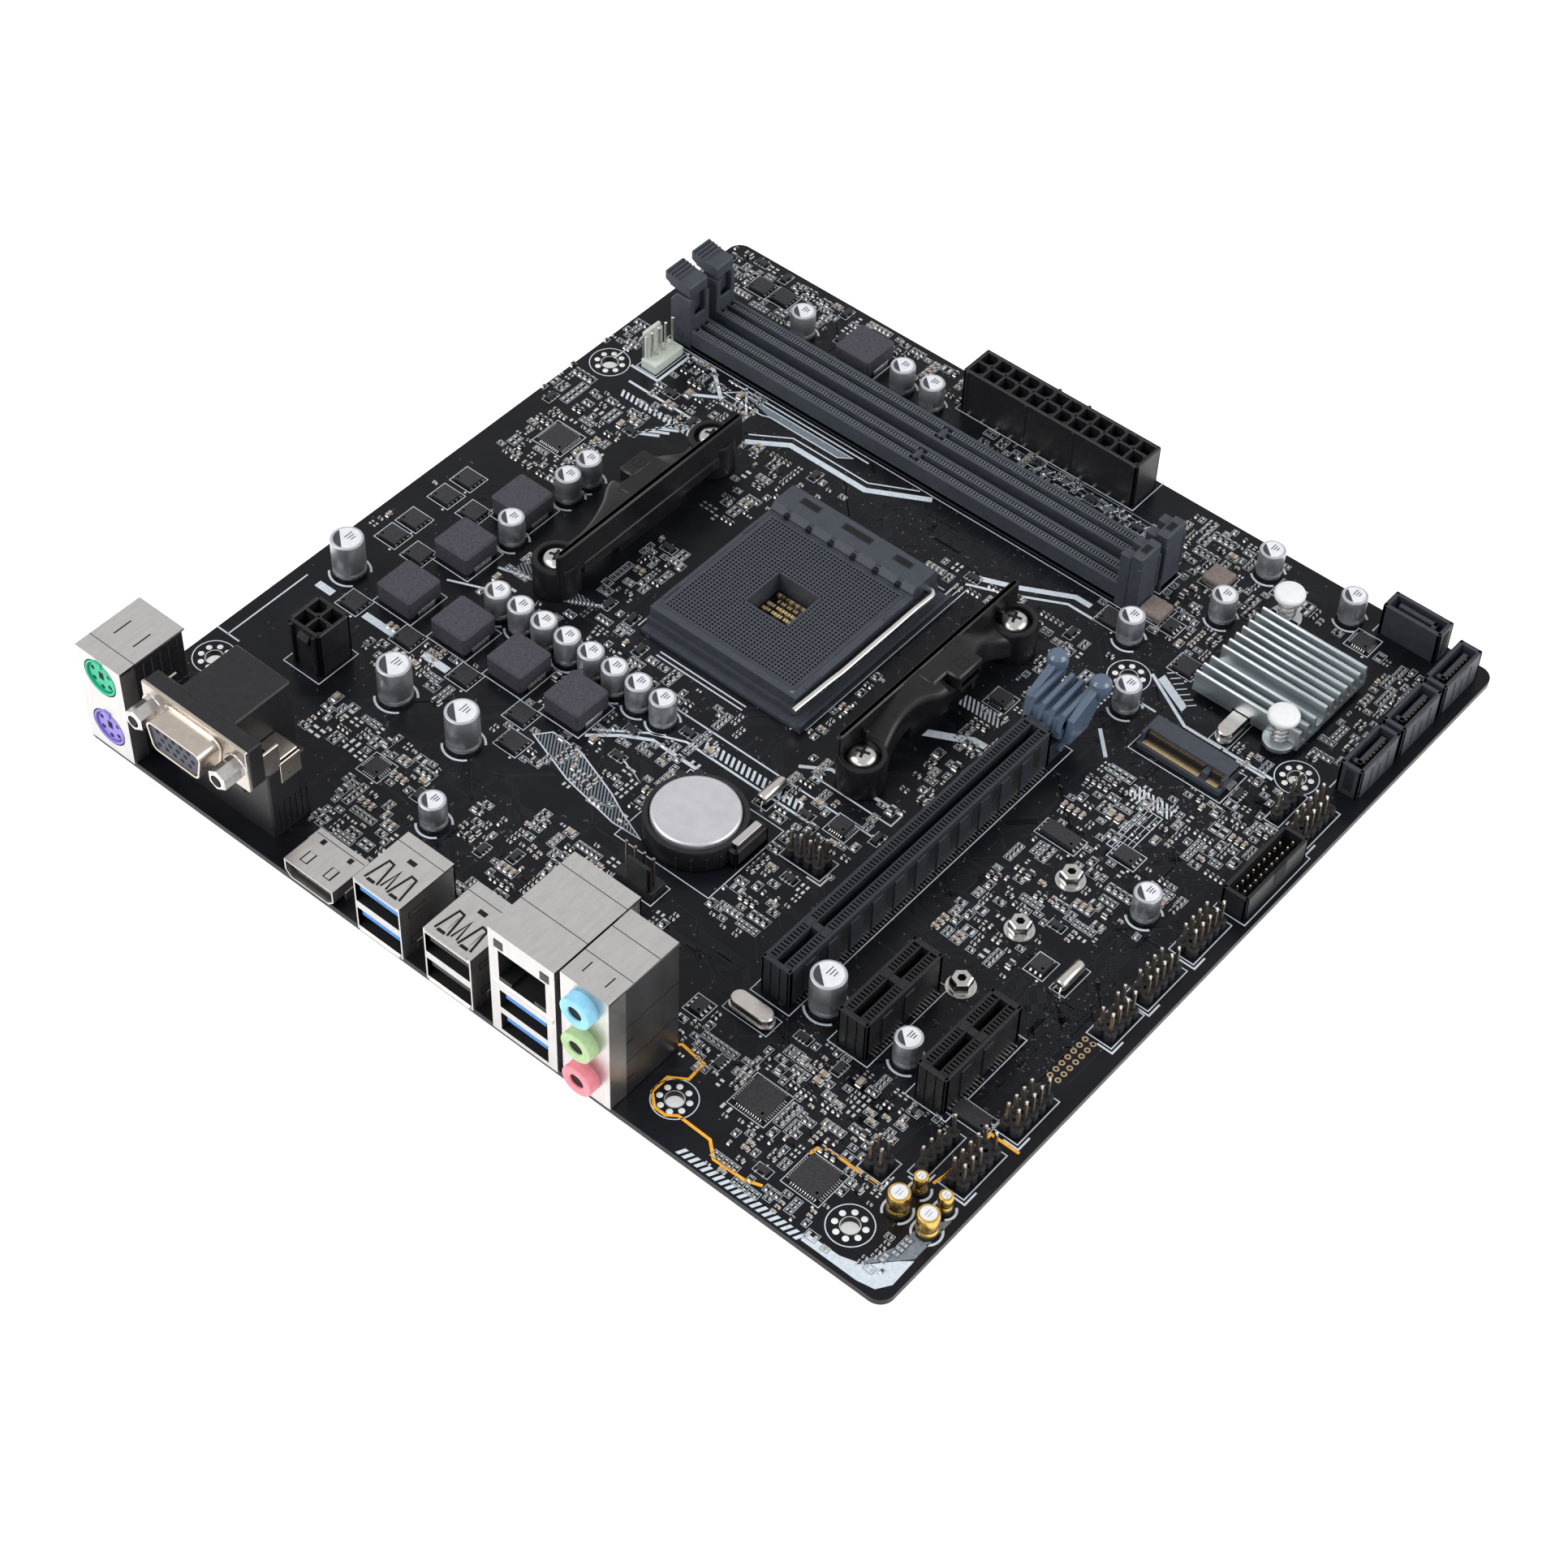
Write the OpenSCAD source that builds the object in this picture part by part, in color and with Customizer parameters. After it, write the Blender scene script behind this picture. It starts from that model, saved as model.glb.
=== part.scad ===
// Micro-ATX computer motherboard, populated, with its moving levers and latches.
// Design coordinates: x runs from the rear-panel edge towards the front edge, y runs up
// from the first row of screw holes (its centres are y = 0), z is height above the
// board's top face. on_board() moves them to the origin, which is the centre of the
// first screw hole on the board's underside.

/* [Board] */
// Board size from the rear-panel edge to the front edge
board_x = 221; // [221:0.5:244]
// Distance from the first hole row down to the lower edge
board_y = 219.65; // [219.65:0.5:237]
// Board thickness
board_t = 1.6; // [1.2:0.1:2]
// Corner radius of the board
corner_r = 3.5; // [1:0.5:4]
// Diameter of the case screw holes
screw_hole_d = 3.96; // [3.6:0.02:4.2]

/* [Processor socket] */
// Centre of the processor socket, from the rear edge
cpu_x = 127.2; // [126.5:0.1:128]
// Centre of the processor socket, from the first hole row
cpu_y = -87.1; // [-88:0.1:-86.5]
// Width of the square opening in the socket's middle
socket_window = 12.2; // [10:0.2:14]
// Diameter of the socket lever's wire
lever_d = 1.8; // [1.4:0.1:2]
// Spacing of the cooler bracket screws along the brackets
bracket_pitch_x = 54; // [53.5:0.1:54.5]
// Spacing between the two cooler brackets' screw rows
bracket_pitch_y = 90; // [89.5:0.1:90.5]
// Height of the cooler brackets' inner walls
bracket_h = 15; // [14:0.5:16]

/* [Memory slots] */
// Overall length of a memory slot
memory_l = 142; // [141:0.5:143]
// Width of a memory slot's body
memory_w = 6.6; // [6:0.1:7]
// Height of a memory slot's body
memory_h = 5.9; // [5.2:0.1:6.2]
// Distance between the two memory slots
memory_pitch = 9.65; // [9.3:0.05:10]

/* [Expansion slots] */
// Height of an expansion slot
pcie_h = 11.25; // [11:0.05:11.4]
// Width of an expansion slot
pcie_w = 7.5; // [7.2:0.1:7.8]
// Length of the long expansion slot
x16_l = 89; // [88.5:0.5:89.5]
// Length of a short expansion slot
x1_l = 25; // [24.5:0.5:25.5]
// Distance between expansion slots
pcie_pitch = 20.32; // [20:0.01:20.4]

/* [Rear connectors] */
// Height of the network and USB connector
lan_h = 32.8; // [32:0.1:34]
// Height of the audio connector
audio_h = 34.9; // [34:0.1:36]
// Bore of each audio jack
jack_bore_d = 3.6; // [3.5:0.05:3.8]
// Distance between the display connector's jackscrews
jackscrew_pitch = 25; // [24.9:0.05:25.1]

/* [Loose and small parts] */
// Diameter of the button cell
battery_d = 20; // [19.8:0.1:20]
// Thickness of the button cell
battery_t = 3.2; // [3:0.1:3.3]
// Diameter of the larger capacitor cans
big_can_d = 8; // [7.5:0.1:8.2]
// Diameter of the smaller capacitor cans
small_can_d = 6.3; // [6:0.1:6.4]
// Width of the power-stage chokes
choke_w = 10.6; // [10:0.1:11]

/* [Hidden] */
$fn = 32;

// Board outline and holes
top_edge = 6.35;
bore_cut = 20;                 // length of a cutting cylinder
hole_a = [33.02, 0];           // datum screw hole
screw_holes = [hole_a, [165.1, 0], [10.16, -157.48], [165.1, -157.48],
    [10.16, -203.2], [165.1, -203.2]];
via_d = 0.9;                   // small plated holes round each screw hole
via_ring_r = 3.2;
bracket_post_d = 4.8;          // backplate posts that come up through the board
bracket_hole_d = 5.2;
bracket_row = [for (side = [1, -1]) cpu_y + side*bracket_pitch_y/2];
bracket_screw_x = [for (side = [-1, 1]) cpu_x + 0.3 + side*bracket_pitch_x/2];
push_pins = [[169.8, -194.8], [201.6, -174.7]];
push_pin_hole_d = 3.1;
standoffs_x = [70.8, 90.8, 108.8];
standoffs_y = -183.2;
standoff_shank_d = 3.6;
unused_header = [65, -212.8];  // bare plated holes, two rows of seven
unused_pitch = 2;

// Processor socket
socket_side = 43;              // cover plate is square
socket_x = [cpu_x - 21.6, cpu_x + 20.2];
socket_y = [cpu_y - socket_side/2 - 0.4, cpu_y + socket_side/2 - 0.4];
base_top = 3;                  // height of the socket base's deck
cover_top = 5.8;
cam_box_x = [socket_x[1] + 0.2, socket_x[1] + 9.4];
cam_box_h = 7.6;
cam_axis = [socket_x[1] + 5.4, 4.4];    // x and height of the lever's pivot axis
cam_lobe_r = 1.1;
cam_lobe_offset = 0.4;
lever_y = socket_y[0] - 2.1;
lever_end_x = socket_x[0] - 3;
lever_h = 5.2;
cover_travel = 0.8;

// Cooler brackets
bracket_wall_in = 4.7;         // inner wall, from the screw row towards the socket
bracket_l = 63.8;
bracket_foot_r = 5.7;
bracket_foot_h = 9.4;
bracket_seat_h = 7.2;          // where the screw head sits
screw_shaft_d = 3.4;
backplate_t = 2.2;
backplate_gap = 0.2;

// Memory slots
memory_x0 = 182;
memory_y0 = -147;
memory_y1 = memory_y0 + memory_l;
tower_w = 7.6;
tower_h = 17.4;
latch_tower_h = 15.2;
latch_pivot = [memory_y1 - 3.1, 3.2];   // y and height of a latch's hinge
latch_w = 3.4;
latch_pin_d = 1.6;
card_slot_w = 1.5;
memory_key_y = -80;

// Expansion slots
pcie_x0 = 42.8;
x16_y = -156.1;
pcie_y = [for (k = [0:2]) x16_y - k*pcie_pitch];
x16_end = pcie_x0 + x16_l;
clip_axis = [x16_end + 3.6, 3];         // x and height of the retention clip's hinge
clip_pin_d = 2;
clip_side_y = 4.4;

// Repeated small parts, as [x, y]
big_caps = [[72.2, -3.6], [51.3, -38.9], [51.1, -59.8], [48.4, -165.6]];
big_can_h = 10.9;
cap_row_x = 85;
cap_row = [for (k = [0:7]) [cap_row_x, -38.4 - 7.1*k]];
small_caps = concat(cap_row, [[104.1, -24.7], [123.2, -24.8], [130.4, -24.8],
    [30.3, -70.9], [48.6, -186.6], [111.3, -200.8], [174.4, -150.6], [156.7, -162.5],
    [193.8, -162.6], [213, -162.6], [213.4, -185], [204.2, -28.8], [205.1, -59.5],
    [205, -68.7]]);
small_can_h = 8.1;
audio_caps = [[19, -208, 2.5], [18.9, -215.4, 2.5], [25.5, -208.4, 1.7],
    [25.2, -214.9, 1.7]];      // x, y and radius
choke_h = 6;
choke_posts = [[75, -20], [75, -37], [75, -54.2], [75, -71.4], [93.6, -20],
    [112.8, -20], [207.2, -46]];

function span(middle, width) = [middle - width/2, middle + width/2];

module on_board() translate([-hole_a[0], -hole_a[1], board_t]) children();

module block(x, y, z)
    translate([x[0], y[0], z[0]]) cube([x[1] - x[0], y[1] - y[0], z[1] - z[0]]);

module rod_x(x, y, z, d)
    translate([x[0], y, z]) rotate([0, 90, 0]) cylinder(d = d, h = x[1] - x[0]);

module rod_y(x, y, z, d)
    translate([x, y[1], z]) rotate([90, 0, 0]) cylinder(d = d, h = y[1] - y[0]);

module rod_z(x, y, z, d)
    translate([x, y, z[0]]) cylinder(d = d, h = z[1] - z[0]);

// An outline of [y, height] points, extruded along x
module profile_yz(x, points)
    translate([x[0], 0, 0]) rotate([90, 0, 90])
        linear_extrude(x[1] - x[0]) polygon(points);

// An outline of [x, height] points, extruded along y
module profile_xz(y, points)
    translate([0, y[1], 0]) rotate([90, 0, 0])
        linear_extrude(y[1] - y[0]) polygon(points);

// ---------- circuit board ----------
module board_blank() {
    inset_x = [corner_r, board_x - corner_r];
    inset_y = [corner_r - board_y, top_edge - corner_r];
    depth = [-board_t, 0];
    block([0, board_x], inset_y, depth);
    block(inset_x, [-board_y, top_edge], depth);
    for (x = inset_x, y = inset_y) rod_z(x, y, depth, 2*corner_r);
}

module drill(x, y, d) rod_z(x, y, [-bore_cut/2, bore_cut/2], d);

module circuit_board() on_board() color("#17181d") difference() {
    board_blank();
    for (h = screw_holes) {
        drill(h[0], h[1], screw_hole_d);
        for (k = [0:7]) {
            angle = 22.5 + 45*k;
            drill(h[0] + via_ring_r*cos(angle), h[1] + via_ring_r*sin(angle), via_d);
        }
    }
    for (x = bracket_screw_x, y = bracket_row) drill(x, y, bracket_hole_d);
    for (p = push_pins) drill(p[0], p[1], push_pin_hole_d);
    for (x = standoffs_x) drill(x, standoffs_y, standoff_shank_d + 0.1);
    for (i = [0:6], j = [0, 1])
        drill(unused_header[0] + i*unused_pitch, unused_header[1] + j*unused_pitch, 0.9);
}

// ---------- processor socket ----------
module socket_window_cut()
    block(span(cpu_x, socket_window), span(cpu_y, socket_window), [-1, bore_cut]);

module cpu_socket_base() on_board() color("#23252b") {
    channel_y = [socket_y[0] - 4.2, socket_y[0] - 0.3];
    difference() {
        union() {
            block([socket_x[0] - 3.2, cam_box_x[1]], [channel_y[0], socket_y[1]], [0, 1]);
            block([socket_x[0] - 1, cam_box_x[1]], [socket_y[0], socket_y[1]],
                [0, base_top]);
            block([socket_x[0] - 3.2, cam_box_x[1]], [channel_y[0], channel_y[0] + 0.8],
                [0, 2.2]);
        }
        socket_window_cut();
        // trough for the cam lobes
        block(span(cam_axis[0], 4), [socket_y[0] - 1, socket_y[1] - 2], [1.6, bore_cut]);
    }
    // bearings that carry the lever's shaft
    for (y = [socket_y[0] + 3, cpu_y, socket_y[1] - 3.6]) difference() {
        block(span(cam_axis[0], 3), span(y, 1.8), [1.2, cam_axis[1] + 1.6]);
        rod_y(cam_axis[0], span(y, 3), cam_axis[1], lever_d + 0.16);
    }
}

module cpu_socket_cover() on_board() color("#33363f") difference() {
    union() {
        block(socket_x, socket_y, [base_top + 0.1, cover_top]);
        profile_xz([socket_y[0] + 0.4, socket_y[1]], [
            [socket_x[1] - 0.2, base_top + 0.1], [cam_box_x[1], base_top + 0.1],
            [cam_box_x[1], cam_box_h - 0.8], [cam_box_x[1] - 0.8, cam_box_h],
            [cam_box_x[0] + 1.2, cam_box_h], [socket_x[1] - 0.2, cam_box_h - 1.4]]);
    }
    socket_window_cut();
    // hollow under the cam box
    block([cam_axis[0] - 3.2, cam_axis[0] + 3], [socket_y[0] + 1.6, socket_y[1] - 1.2],
        [0, cam_box_h - 1.1]);
    // the shaft leaves through this notch
    block([cam_axis[0] - 1.3, cam_axis[0] + 2.2], [socket_y[0] - 1, socket_y[0] + 3],
        [0, cam_axis[1] + 1.5]);
    // moulded windows along the cam box
    for (k = [0:5])
        block([socket_x[1] + 0.5, socket_x[1] + 2.2], span(socket_y[0] + 5 + 6.6*k, 1),
            [cam_box_h - 0.7, bore_cut]);
}

module cpu_socket_lever() on_board() color("silver") {
    reach = lever_d/2 - 0.05;
    rod_y(cam_axis[0], [lever_y - reach, socket_y[1] - 2.4], cam_axis[1], lever_d);
    // eccentric lobes that push the cover along
    for (y = [cpu_y - 10, cpu_y + 10]) rod_y(cam_axis[0] + cam_lobe_offset,
        span(y, 5), cam_axis[1], 2*cam_lobe_r);
    // arm, rising slightly towards its free end
    arm_l = cam_axis[0] - lever_end_x + reach;
    translate([cam_axis[0] + reach, lever_y, cam_axis[1]])
        rotate([0, -90 + atan2(lever_h - cam_axis[1], arm_l), 0])
            cylinder(d = lever_d - 0.04, h = arm_l);
}

// ---------- cooler brackets ----------
// side is 1 for the upper bracket and -1 for the lower one
module cooler_bracket(side) {
    row_y = cpu_y + side*bracket_pitch_y/2;
    wall_y = row_y - side*bracket_wall_in;
    middle_x = cpu_x + 1.2;
    difference() {
        union() {
            for (x = bracket_screw_x) rod_z(x, row_y, [0, bracket_foot_h], 2*bracket_foot_r);
            // inner wall and the ledge under it
            block(span(middle_x, bracket_l), ordered(wall_y, wall_y + side*1.4),
                [6, bracket_h]);
            block(span(middle_x, bracket_l - 6), ordered(wall_y + side*1.2, row_y),
                [3.4, 6.6]);
            // arched bridge between the feet
            difference() {
                block(span(middle_x, bracket_pitch_x - 10),
                    ordered(wall_y + side*1.2, row_y + side*2), [6, bracket_h]);
                for (end = [-1, 1])
                    rod_y(middle_x + end*19, ordered(row_y - side*12, row_y + side*12),
                        bracket_h + 7.4, 24);
            }
            // hook for a clip-on cooler
            block(span(middle_x + 3.3, 8.6), ordered(row_y, row_y + side*5), [11.2, bracket_h]);
            block(span(middle_x, 22), ordered(wall_y + side, row_y), [0, 4]);
        }
        for (x = bracket_screw_x) {
            rod_z(x, row_y, [-1, bore_cut], screw_shaft_d + 0.4);
            rod_z(x, row_y, [-1, 4.4], bracket_post_d + 0.3);
            rod_z(x, row_y, [bracket_seat_h, bore_cut], 8.4);
        }
    }
}

function ordered(a, b) = [min(a, b), max(a, b)];

module cooler_bracket_upper() on_board() color("#121215") cooler_bracket(1);
module cooler_bracket_lower() on_board() color("#121215") cooler_bracket(-1);

module bracket_screws() on_board() color("silver")
    for (x = bracket_screw_x, y = bracket_row) difference() {
        union() {
            rod_z(x, y, [-1, bracket_seat_h + 0.2], screw_shaft_d);
            rod_z(x, y, [bracket_seat_h, bracket_seat_h + 0.8], 7.6);
            translate([x, y, bracket_seat_h + 0.8]) cylinder(d1 = 7.2, d2 = 4.4, h = 2);
        }
        for (turn = [0, 90]) translate([x, y, bracket_seat_h + 2]) rotate(turn)
            cube([3.4, 0.9, 3.4], center = true);
    }

module cooler_backplate() on_board() color("#8a8c90") {
    z = [-board_t - backplate_gap - backplate_t, -board_t - backplate_gap];
    plate_x = [bracket_screw_x[0] - 6, bracket_screw_x[1] + 6];
    difference() {
        block(plate_x, [bracket_row[1] - 6, bracket_row[0] + 6], z);
        block(span(cpu_x, 26), span(cpu_y, 26), [z[0] - 1, z[1] + 1]);
    }
    for (x = bracket_screw_x, y = bracket_row) difference() {
        rod_z(x, y, [z[1] - 0.1, 4.2], bracket_post_d);
        rod_z(x, y, [z[1] + 0.4, bore_cut], screw_shaft_d + 0.1);
    }
}

// ---------- memory slots ----------
// n is 0 for the first slot and 1 for the second
function memory_mid(n) = memory_x0 + memory_w/2 + n*memory_pitch;

module memory_slot(n) {
    mid = memory_mid(n);
    latch_zone = memory_y1 - 6.6;
    difference() {
        union() {
            block(span(mid, memory_w), [memory_y0, memory_y1], [0, memory_h]);
            profile_yz(span(mid, tower_w), [[memory_y0, 0], [memory_y0 + 6, 0],
                [memory_y0 + 6, tower_h - 1.2], [memory_y0 + 3.6, tower_h - 1.2],
                [memory_y0 + 2.8, tower_h], [memory_y0, tower_h]]);
            profile_yz(span(mid, tower_w - 0.8), [[latch_zone, 0], [memory_y1, 0],
                [memory_y1, 12.6], [memory_y1 - 1.8, latch_tower_h],
                [latch_zone, latch_tower_h]]);
        }
        // groove for the module's edge, with the key left standing
        block(span(mid, card_slot_w), [memory_y0 + 4.4, memory_key_y - 0.9],
            [1.4, bore_cut]);
        block(span(mid, card_slot_w), [memory_key_y + 0.9, latch_zone + 1.2],
            [1.4, bore_cut]);
        // pocket for the latch, open at its outer end
        block(span(mid, latch_w + 0.4), [latch_zone + 0.8, memory_y1 + 1], [0.8, bore_cut]);
        rod_x(span(mid, tower_w), latch_pivot[0], latch_pivot[1], latch_pin_d + 0.2);
        // lightening pocket on the fixed tower
        block(span(mid, 2.6), [memory_y0 + 0.9, memory_y0 + 2.6], [tower_h - 6, bore_cut]);
    }
}

module memory_slot_1() on_board() color("#3a3e46") memory_slot(0);
module memory_slot_2() on_board() color("#3a3e46") memory_slot(1);

module memory_latch(n) {
    mid = memory_mid(n);
    y = latch_pivot[0];
    profile_yz(span(mid, latch_w), [[y - 1.6, 1.4], [y + 1.2, 1.4], [y + 1.9, 3],
        [y + 1.9, 17.4], [y - 2.1, 17.4], [y - 2.1, 10.6], [y - 1.4, 9]]);
    translate([mid - latch_w/2, y, latch_pivot[1]]) rotate([0, 90, 0])
        cylinder(r = 2, h = latch_w);
    rod_x(span(mid, memory_w - 0.6), y, latch_pivot[1], latch_pin_d);
    // thumb tab
    profile_yz(span(mid, 6.4), [[y - 3.1, 15.9], [y + 2.6, 16.4], [y + 5.1, 17.8],
        [y + 5.1, 20], [y + 4.5, 20.4], [y + 3.7, 20.4], [y + 3.1, 19.8], [y + 2.5, 20.2],
        [y + 1.9, 20.2], [y + 1.3, 19.6], [y + 0.7, 20], [y + 0.1, 20], [y - 0.5, 19.2],
        [y - 2.7, 19.1], [y - 3.1, 18.6]]);
}

module memory_latch_1() on_board() color("#444953") memory_latch(0);
module memory_latch_2() on_board() color("#444953") memory_latch(1);

// ---------- contacts in the card slots ----------
module slot_contacts() on_board() color("#b9a36a") {
    strip = 0.3;
    for (n = [0, 1], side = [-1, 1]) {
        x = memory_mid(n) + side*(card_slot_w/2 - strip/2);
        for (run = [[memory_y0 + 8, memory_key_y - 1.6], [memory_key_y + 1.6, memory_y1 - 7.6]])
            block(span(x, strip), run, [1.4, 4.6]);
    }
    for (k = [0:2], side = [-1, 1]) {
        length = k == 0 ? x16_l : x1_l;
        y = pcie_y[k] + side*(card_slot_w/2 + 0.6 - strip/2);
        for (run = [[2, 12], [15, length - 3]])
            block([pcie_x0 + run[0], pcie_x0 + run[1]], span(y, strip), [3.6, 9.6]);
    }
    for (run = m2_runs) {
        y = [run[0] + 0.4, run[1] - 0.4];
        block([m2_x[0] + 0.6, m2_x[1] - 2], y, [m2_slot_z[0], m2_slot_z[0] + strip]);
        block([m2_lip_x + 0.2, m2_x[1] - 2], y, [m2_slot_z[1] - strip, m2_slot_z[1]]);
    }
}

// ---------- expansion slots ----------
module pcie_slot(length, y) difference() {
    block([pcie_x0, pcie_x0 + length], span(y, pcie_w), [0, pcie_h]);
    // card groove either side of the key, widened where the contacts stand
    for (run = [[1.2, 12.6], [14.4, length - 1.2]])
        block([pcie_x0 + run[0], pcie_x0 + run[1]], span(y, card_slot_w + 0.3),
            [3.4, bore_cut]);
    for (run = [[1.9, 12.1], [14.9, length - 2.9]])
        block([pcie_x0 + run[0], pcie_x0 + run[1]], span(y, card_slot_w + 1.2),
            [3.4, pcie_h - 1.4]);
}

module pcie_x16_slot() on_board() color("#2b2e35") {
    difference() {
        pcie_slot(x16_l, pcie_y[0]);
        block([x16_end - 2, x16_end + 1], span(x16_y, 2.4), [7, bore_cut]);
    }
    // ears that carry the clip's hinge pin
    for (side = [-1, 1]) difference() {
        block([x16_end, x16_end + 5.4], span(x16_y + side*2.9, 1.4), [0, 5.2]);
        rod_y(clip_axis[0], span(x16_y + side*2.9, 2), clip_axis[1], clip_pin_d + 0.2);
    }
}

module pcie_x1_slots() on_board() color("#22242a")
    for (k = [1, 2]) pcie_slot(x1_l, pcie_y[k]);

module pcie_x16_latch() on_board() color("#6f86a3", 0.7) {
    gap = 0.3;
    // hinge boss between the ears, and the bar that rises from it
    rod_y(clip_axis[0], span(x16_y, 4 - gap), clip_axis[1], 3.6);
    rod_y(clip_axis[0], span(x16_y, 7.4), clip_axis[1], clip_pin_d);
    profile_xz(span(x16_y, 4 - gap), [[clip_axis[0] - 1.4, clip_axis[1]],
        [clip_axis[0] + 1.6, clip_axis[1]], [clip_axis[0] + 4.4, 8.6],
        [clip_axis[0] + 3, 11], [x16_end + 0.4, 11.2], [x16_end + 0.4, 8.8],
        [clip_axis[0] - 1.4, 8]]);
    // wings each side of the slot's end
    for (side = [-1, 1]) {
        profile_xz(span(x16_y + side*(clip_side_y + 0.5), 1.2), [[x16_end + 0.8, 6.2],
            [x16_end + 9, 6.4], [x16_end + 12.6, 11.6], [x16_end + 10, 14.6],
            [x16_end + 4, 11.4], [x16_end + 0.8, 11]]);
        profile_xz(span(x16_y + side*(clip_side_y - 1.3), 2.6), [[x16_end + 5.6, 8.4],
            [x16_end + 8.6, 8.4], [x16_end + 9.4, 11.4], [x16_end + 6.4, 11.4]]);
        // round thumb pads
        translate([x16_end + 13.4, x16_y + side*6, 12.2]) rotate([0, -32, 0])
            cylinder(r = 2.7, h = 2.4);
        block([x16_end + 9, x16_end + 13], span(x16_y + side*5.4, 2.4), [11.2, 13.2]);
    }
}

// ---------- storage ----------
m2_x = [149, 156.8];
m2_y = [-193.4, -171.2];
m2_h = 4.4;
m2_slot_z = [1.6, 3.2];        // the card's slot
m2_lip_x = 152.2;              // the upper lip starts here
m2_runs = [[-192.6, -189.2], [-187.6, -172]];   // either side of the key

module m2_socket() on_board() color("#2c3038") difference() {
    block(m2_x, m2_y, [0, m2_h]);
    for (run = m2_runs) block([m2_x[0] - 1, m2_x[1] - 1.6], run, m2_slot_z);
    block([m2_x[0] - 1, m2_lip_x], [m2_runs[0][0], m2_runs[1][1]], [m2_slot_z[0], bore_cut]);
}

module m2_standoffs() on_board() color("silver")
    for (x = standoffs_x) difference() {
        union() {
            rod_z(x, standoffs_y, [-board_t, 0.4], standoff_shank_d);
            rod_z(x, standoffs_y, [0, 0.6], 5.4);
            translate([x, standoffs_y, 0.5]) cylinder(d = 5.2, h = 2.6, $fn = 6);
        }
        drill(x, standoffs_y, 2);
    }

sata_l = 15.4;
sata_w = 5.8;
sata_h = 9;
sata_pitch = 16.7;
sata_row = [168.2, -216.8];
sata_side = [214.4, -207.2];

// A SATA port standing at the origin, its slot along x
module sata_port() {
    difference() {
        block([0, sata_l], [0, sata_w], [0, sata_h]);
        block([1, sata_l - 1], [1, sata_w - 1], [sata_h - 6, bore_cut]);
    }
    // L-shaped contact blade
    block([2.6, sata_l - 2.6], [2.2, 3.4], [sata_h - 6.2, sata_h - 0.8]);
    block([2.6, 3.8], [2.4, 4.4], [sata_h - 6.2, sata_h - 0.8]);
}

module sata_ports() on_board() color("#2a2d34") {
    for (k = [0:2]) translate([sata_row[0] + k*sata_pitch, sata_row[1], 0]) sata_port();
    translate([sata_side[0] + sata_w, sata_side[1], 0]) rotate(90) sata_port();
}

// ---------- power connectors ----------
cell_pitch = 4.2;
cell_w = 3.5;
power_h = 12.8;
power_floor = 2.2;
main_power = [214.4, -100];
cpu_power = [49.4, -17.8];

// Housing with columns by rows of square cells, centred on a point
module power_housing(centre, columns, rows) difference() {
    block(span(centre[0], columns*cell_pitch + 1.2), span(centre[1], rows*cell_pitch + 1.2),
        [0, power_h]);
    for (i = [0:columns - 1], j = [0:rows - 1])
        block(span(centre[0] + (i - (columns - 1)/2)*cell_pitch, cell_w),
            span(centre[1] + (j - (rows - 1)/2)*cell_pitch, cell_w), [power_floor, bore_cut]);
}

module main_power_housing() on_board() color("#1b1c20") {
    power_housing(main_power, 2, 12);
    // latch ramp on the outer side
    profile_xz(span(main_power[1], 4), [[main_power[0] + 4.8, power_h - 4.4],
        [main_power[0] + 6.2, power_h - 4.4], [main_power[0] + 4.8, power_h - 1]]);
}

module cpu_power_housing() on_board() color("#191717") {
    power_housing(cpu_power, 2, 2);
    profile_xz(span(cpu_power[1] - 0.4, 3.4), [[cpu_power[0] - 4.8, power_h - 4],
        [cpu_power[0] - 6, power_h - 4], [cpu_power[0] - 6, power_h - 2.6],
        [cpu_power[0] - 4.8, power_h - 1.4]]);
}

module power_pins() on_board() color("#c9c4b4") {
    for (i = [0, 1], j = [0:11])
        block(span(main_power[0] + (i - 0.5)*cell_pitch, 1),
            span(main_power[1] + (j - 5.5)*cell_pitch, 1), [power_floor, 8.6]);
    for (i = [0, 1], j = [0, 1])
        block(span(cpu_power[0] + (i - 0.5)*cell_pitch, 1),
            span(cpu_power[1] + (j - 0.5)*cell_pitch, 1), [power_floor, 8.6]);
}

// ---------- fan headers and pin headers ----------
header_pitch = 2.54;
header_block_h = 2.5;
cpu_fan = [174.3, -9];
chassis_fan = [47.4, -115];

module fan_pins(centre, along) for (k = [0:3]) {
    offset = (k - 1.5)*header_pitch;
    block(span(centre[0] + along[0]*offset, 0.64), span(centre[1] + along[1]*offset, 0.64),
        [header_block_h, 11.4]);
}

module cpu_fan_header() on_board() color("#d5dad6") {
    block(span(cpu_fan[0], 10.4), span(cpu_fan[1], 4.8), [0, header_block_h]);
    block(span(cpu_fan[0] - 1.4, 6), span(cpu_fan[1] + 2.2, 1), [header_block_h - 0.2, 10.6]);
    fan_pins(cpu_fan, [1, 0]);
}

module chassis_fan_header() on_board() color("#1d1e22") {
    block(span(chassis_fan[0], 4.8), span(chassis_fan[1], 10.4), [0, header_block_h]);
    block(span(chassis_fan[0] - 2.2, 1), span(chassis_fan[1] + 1.4, 6),
        [header_block_h - 0.2, 10.6]);
    fan_pins(chassis_fan, [0, 1]);
}

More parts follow.
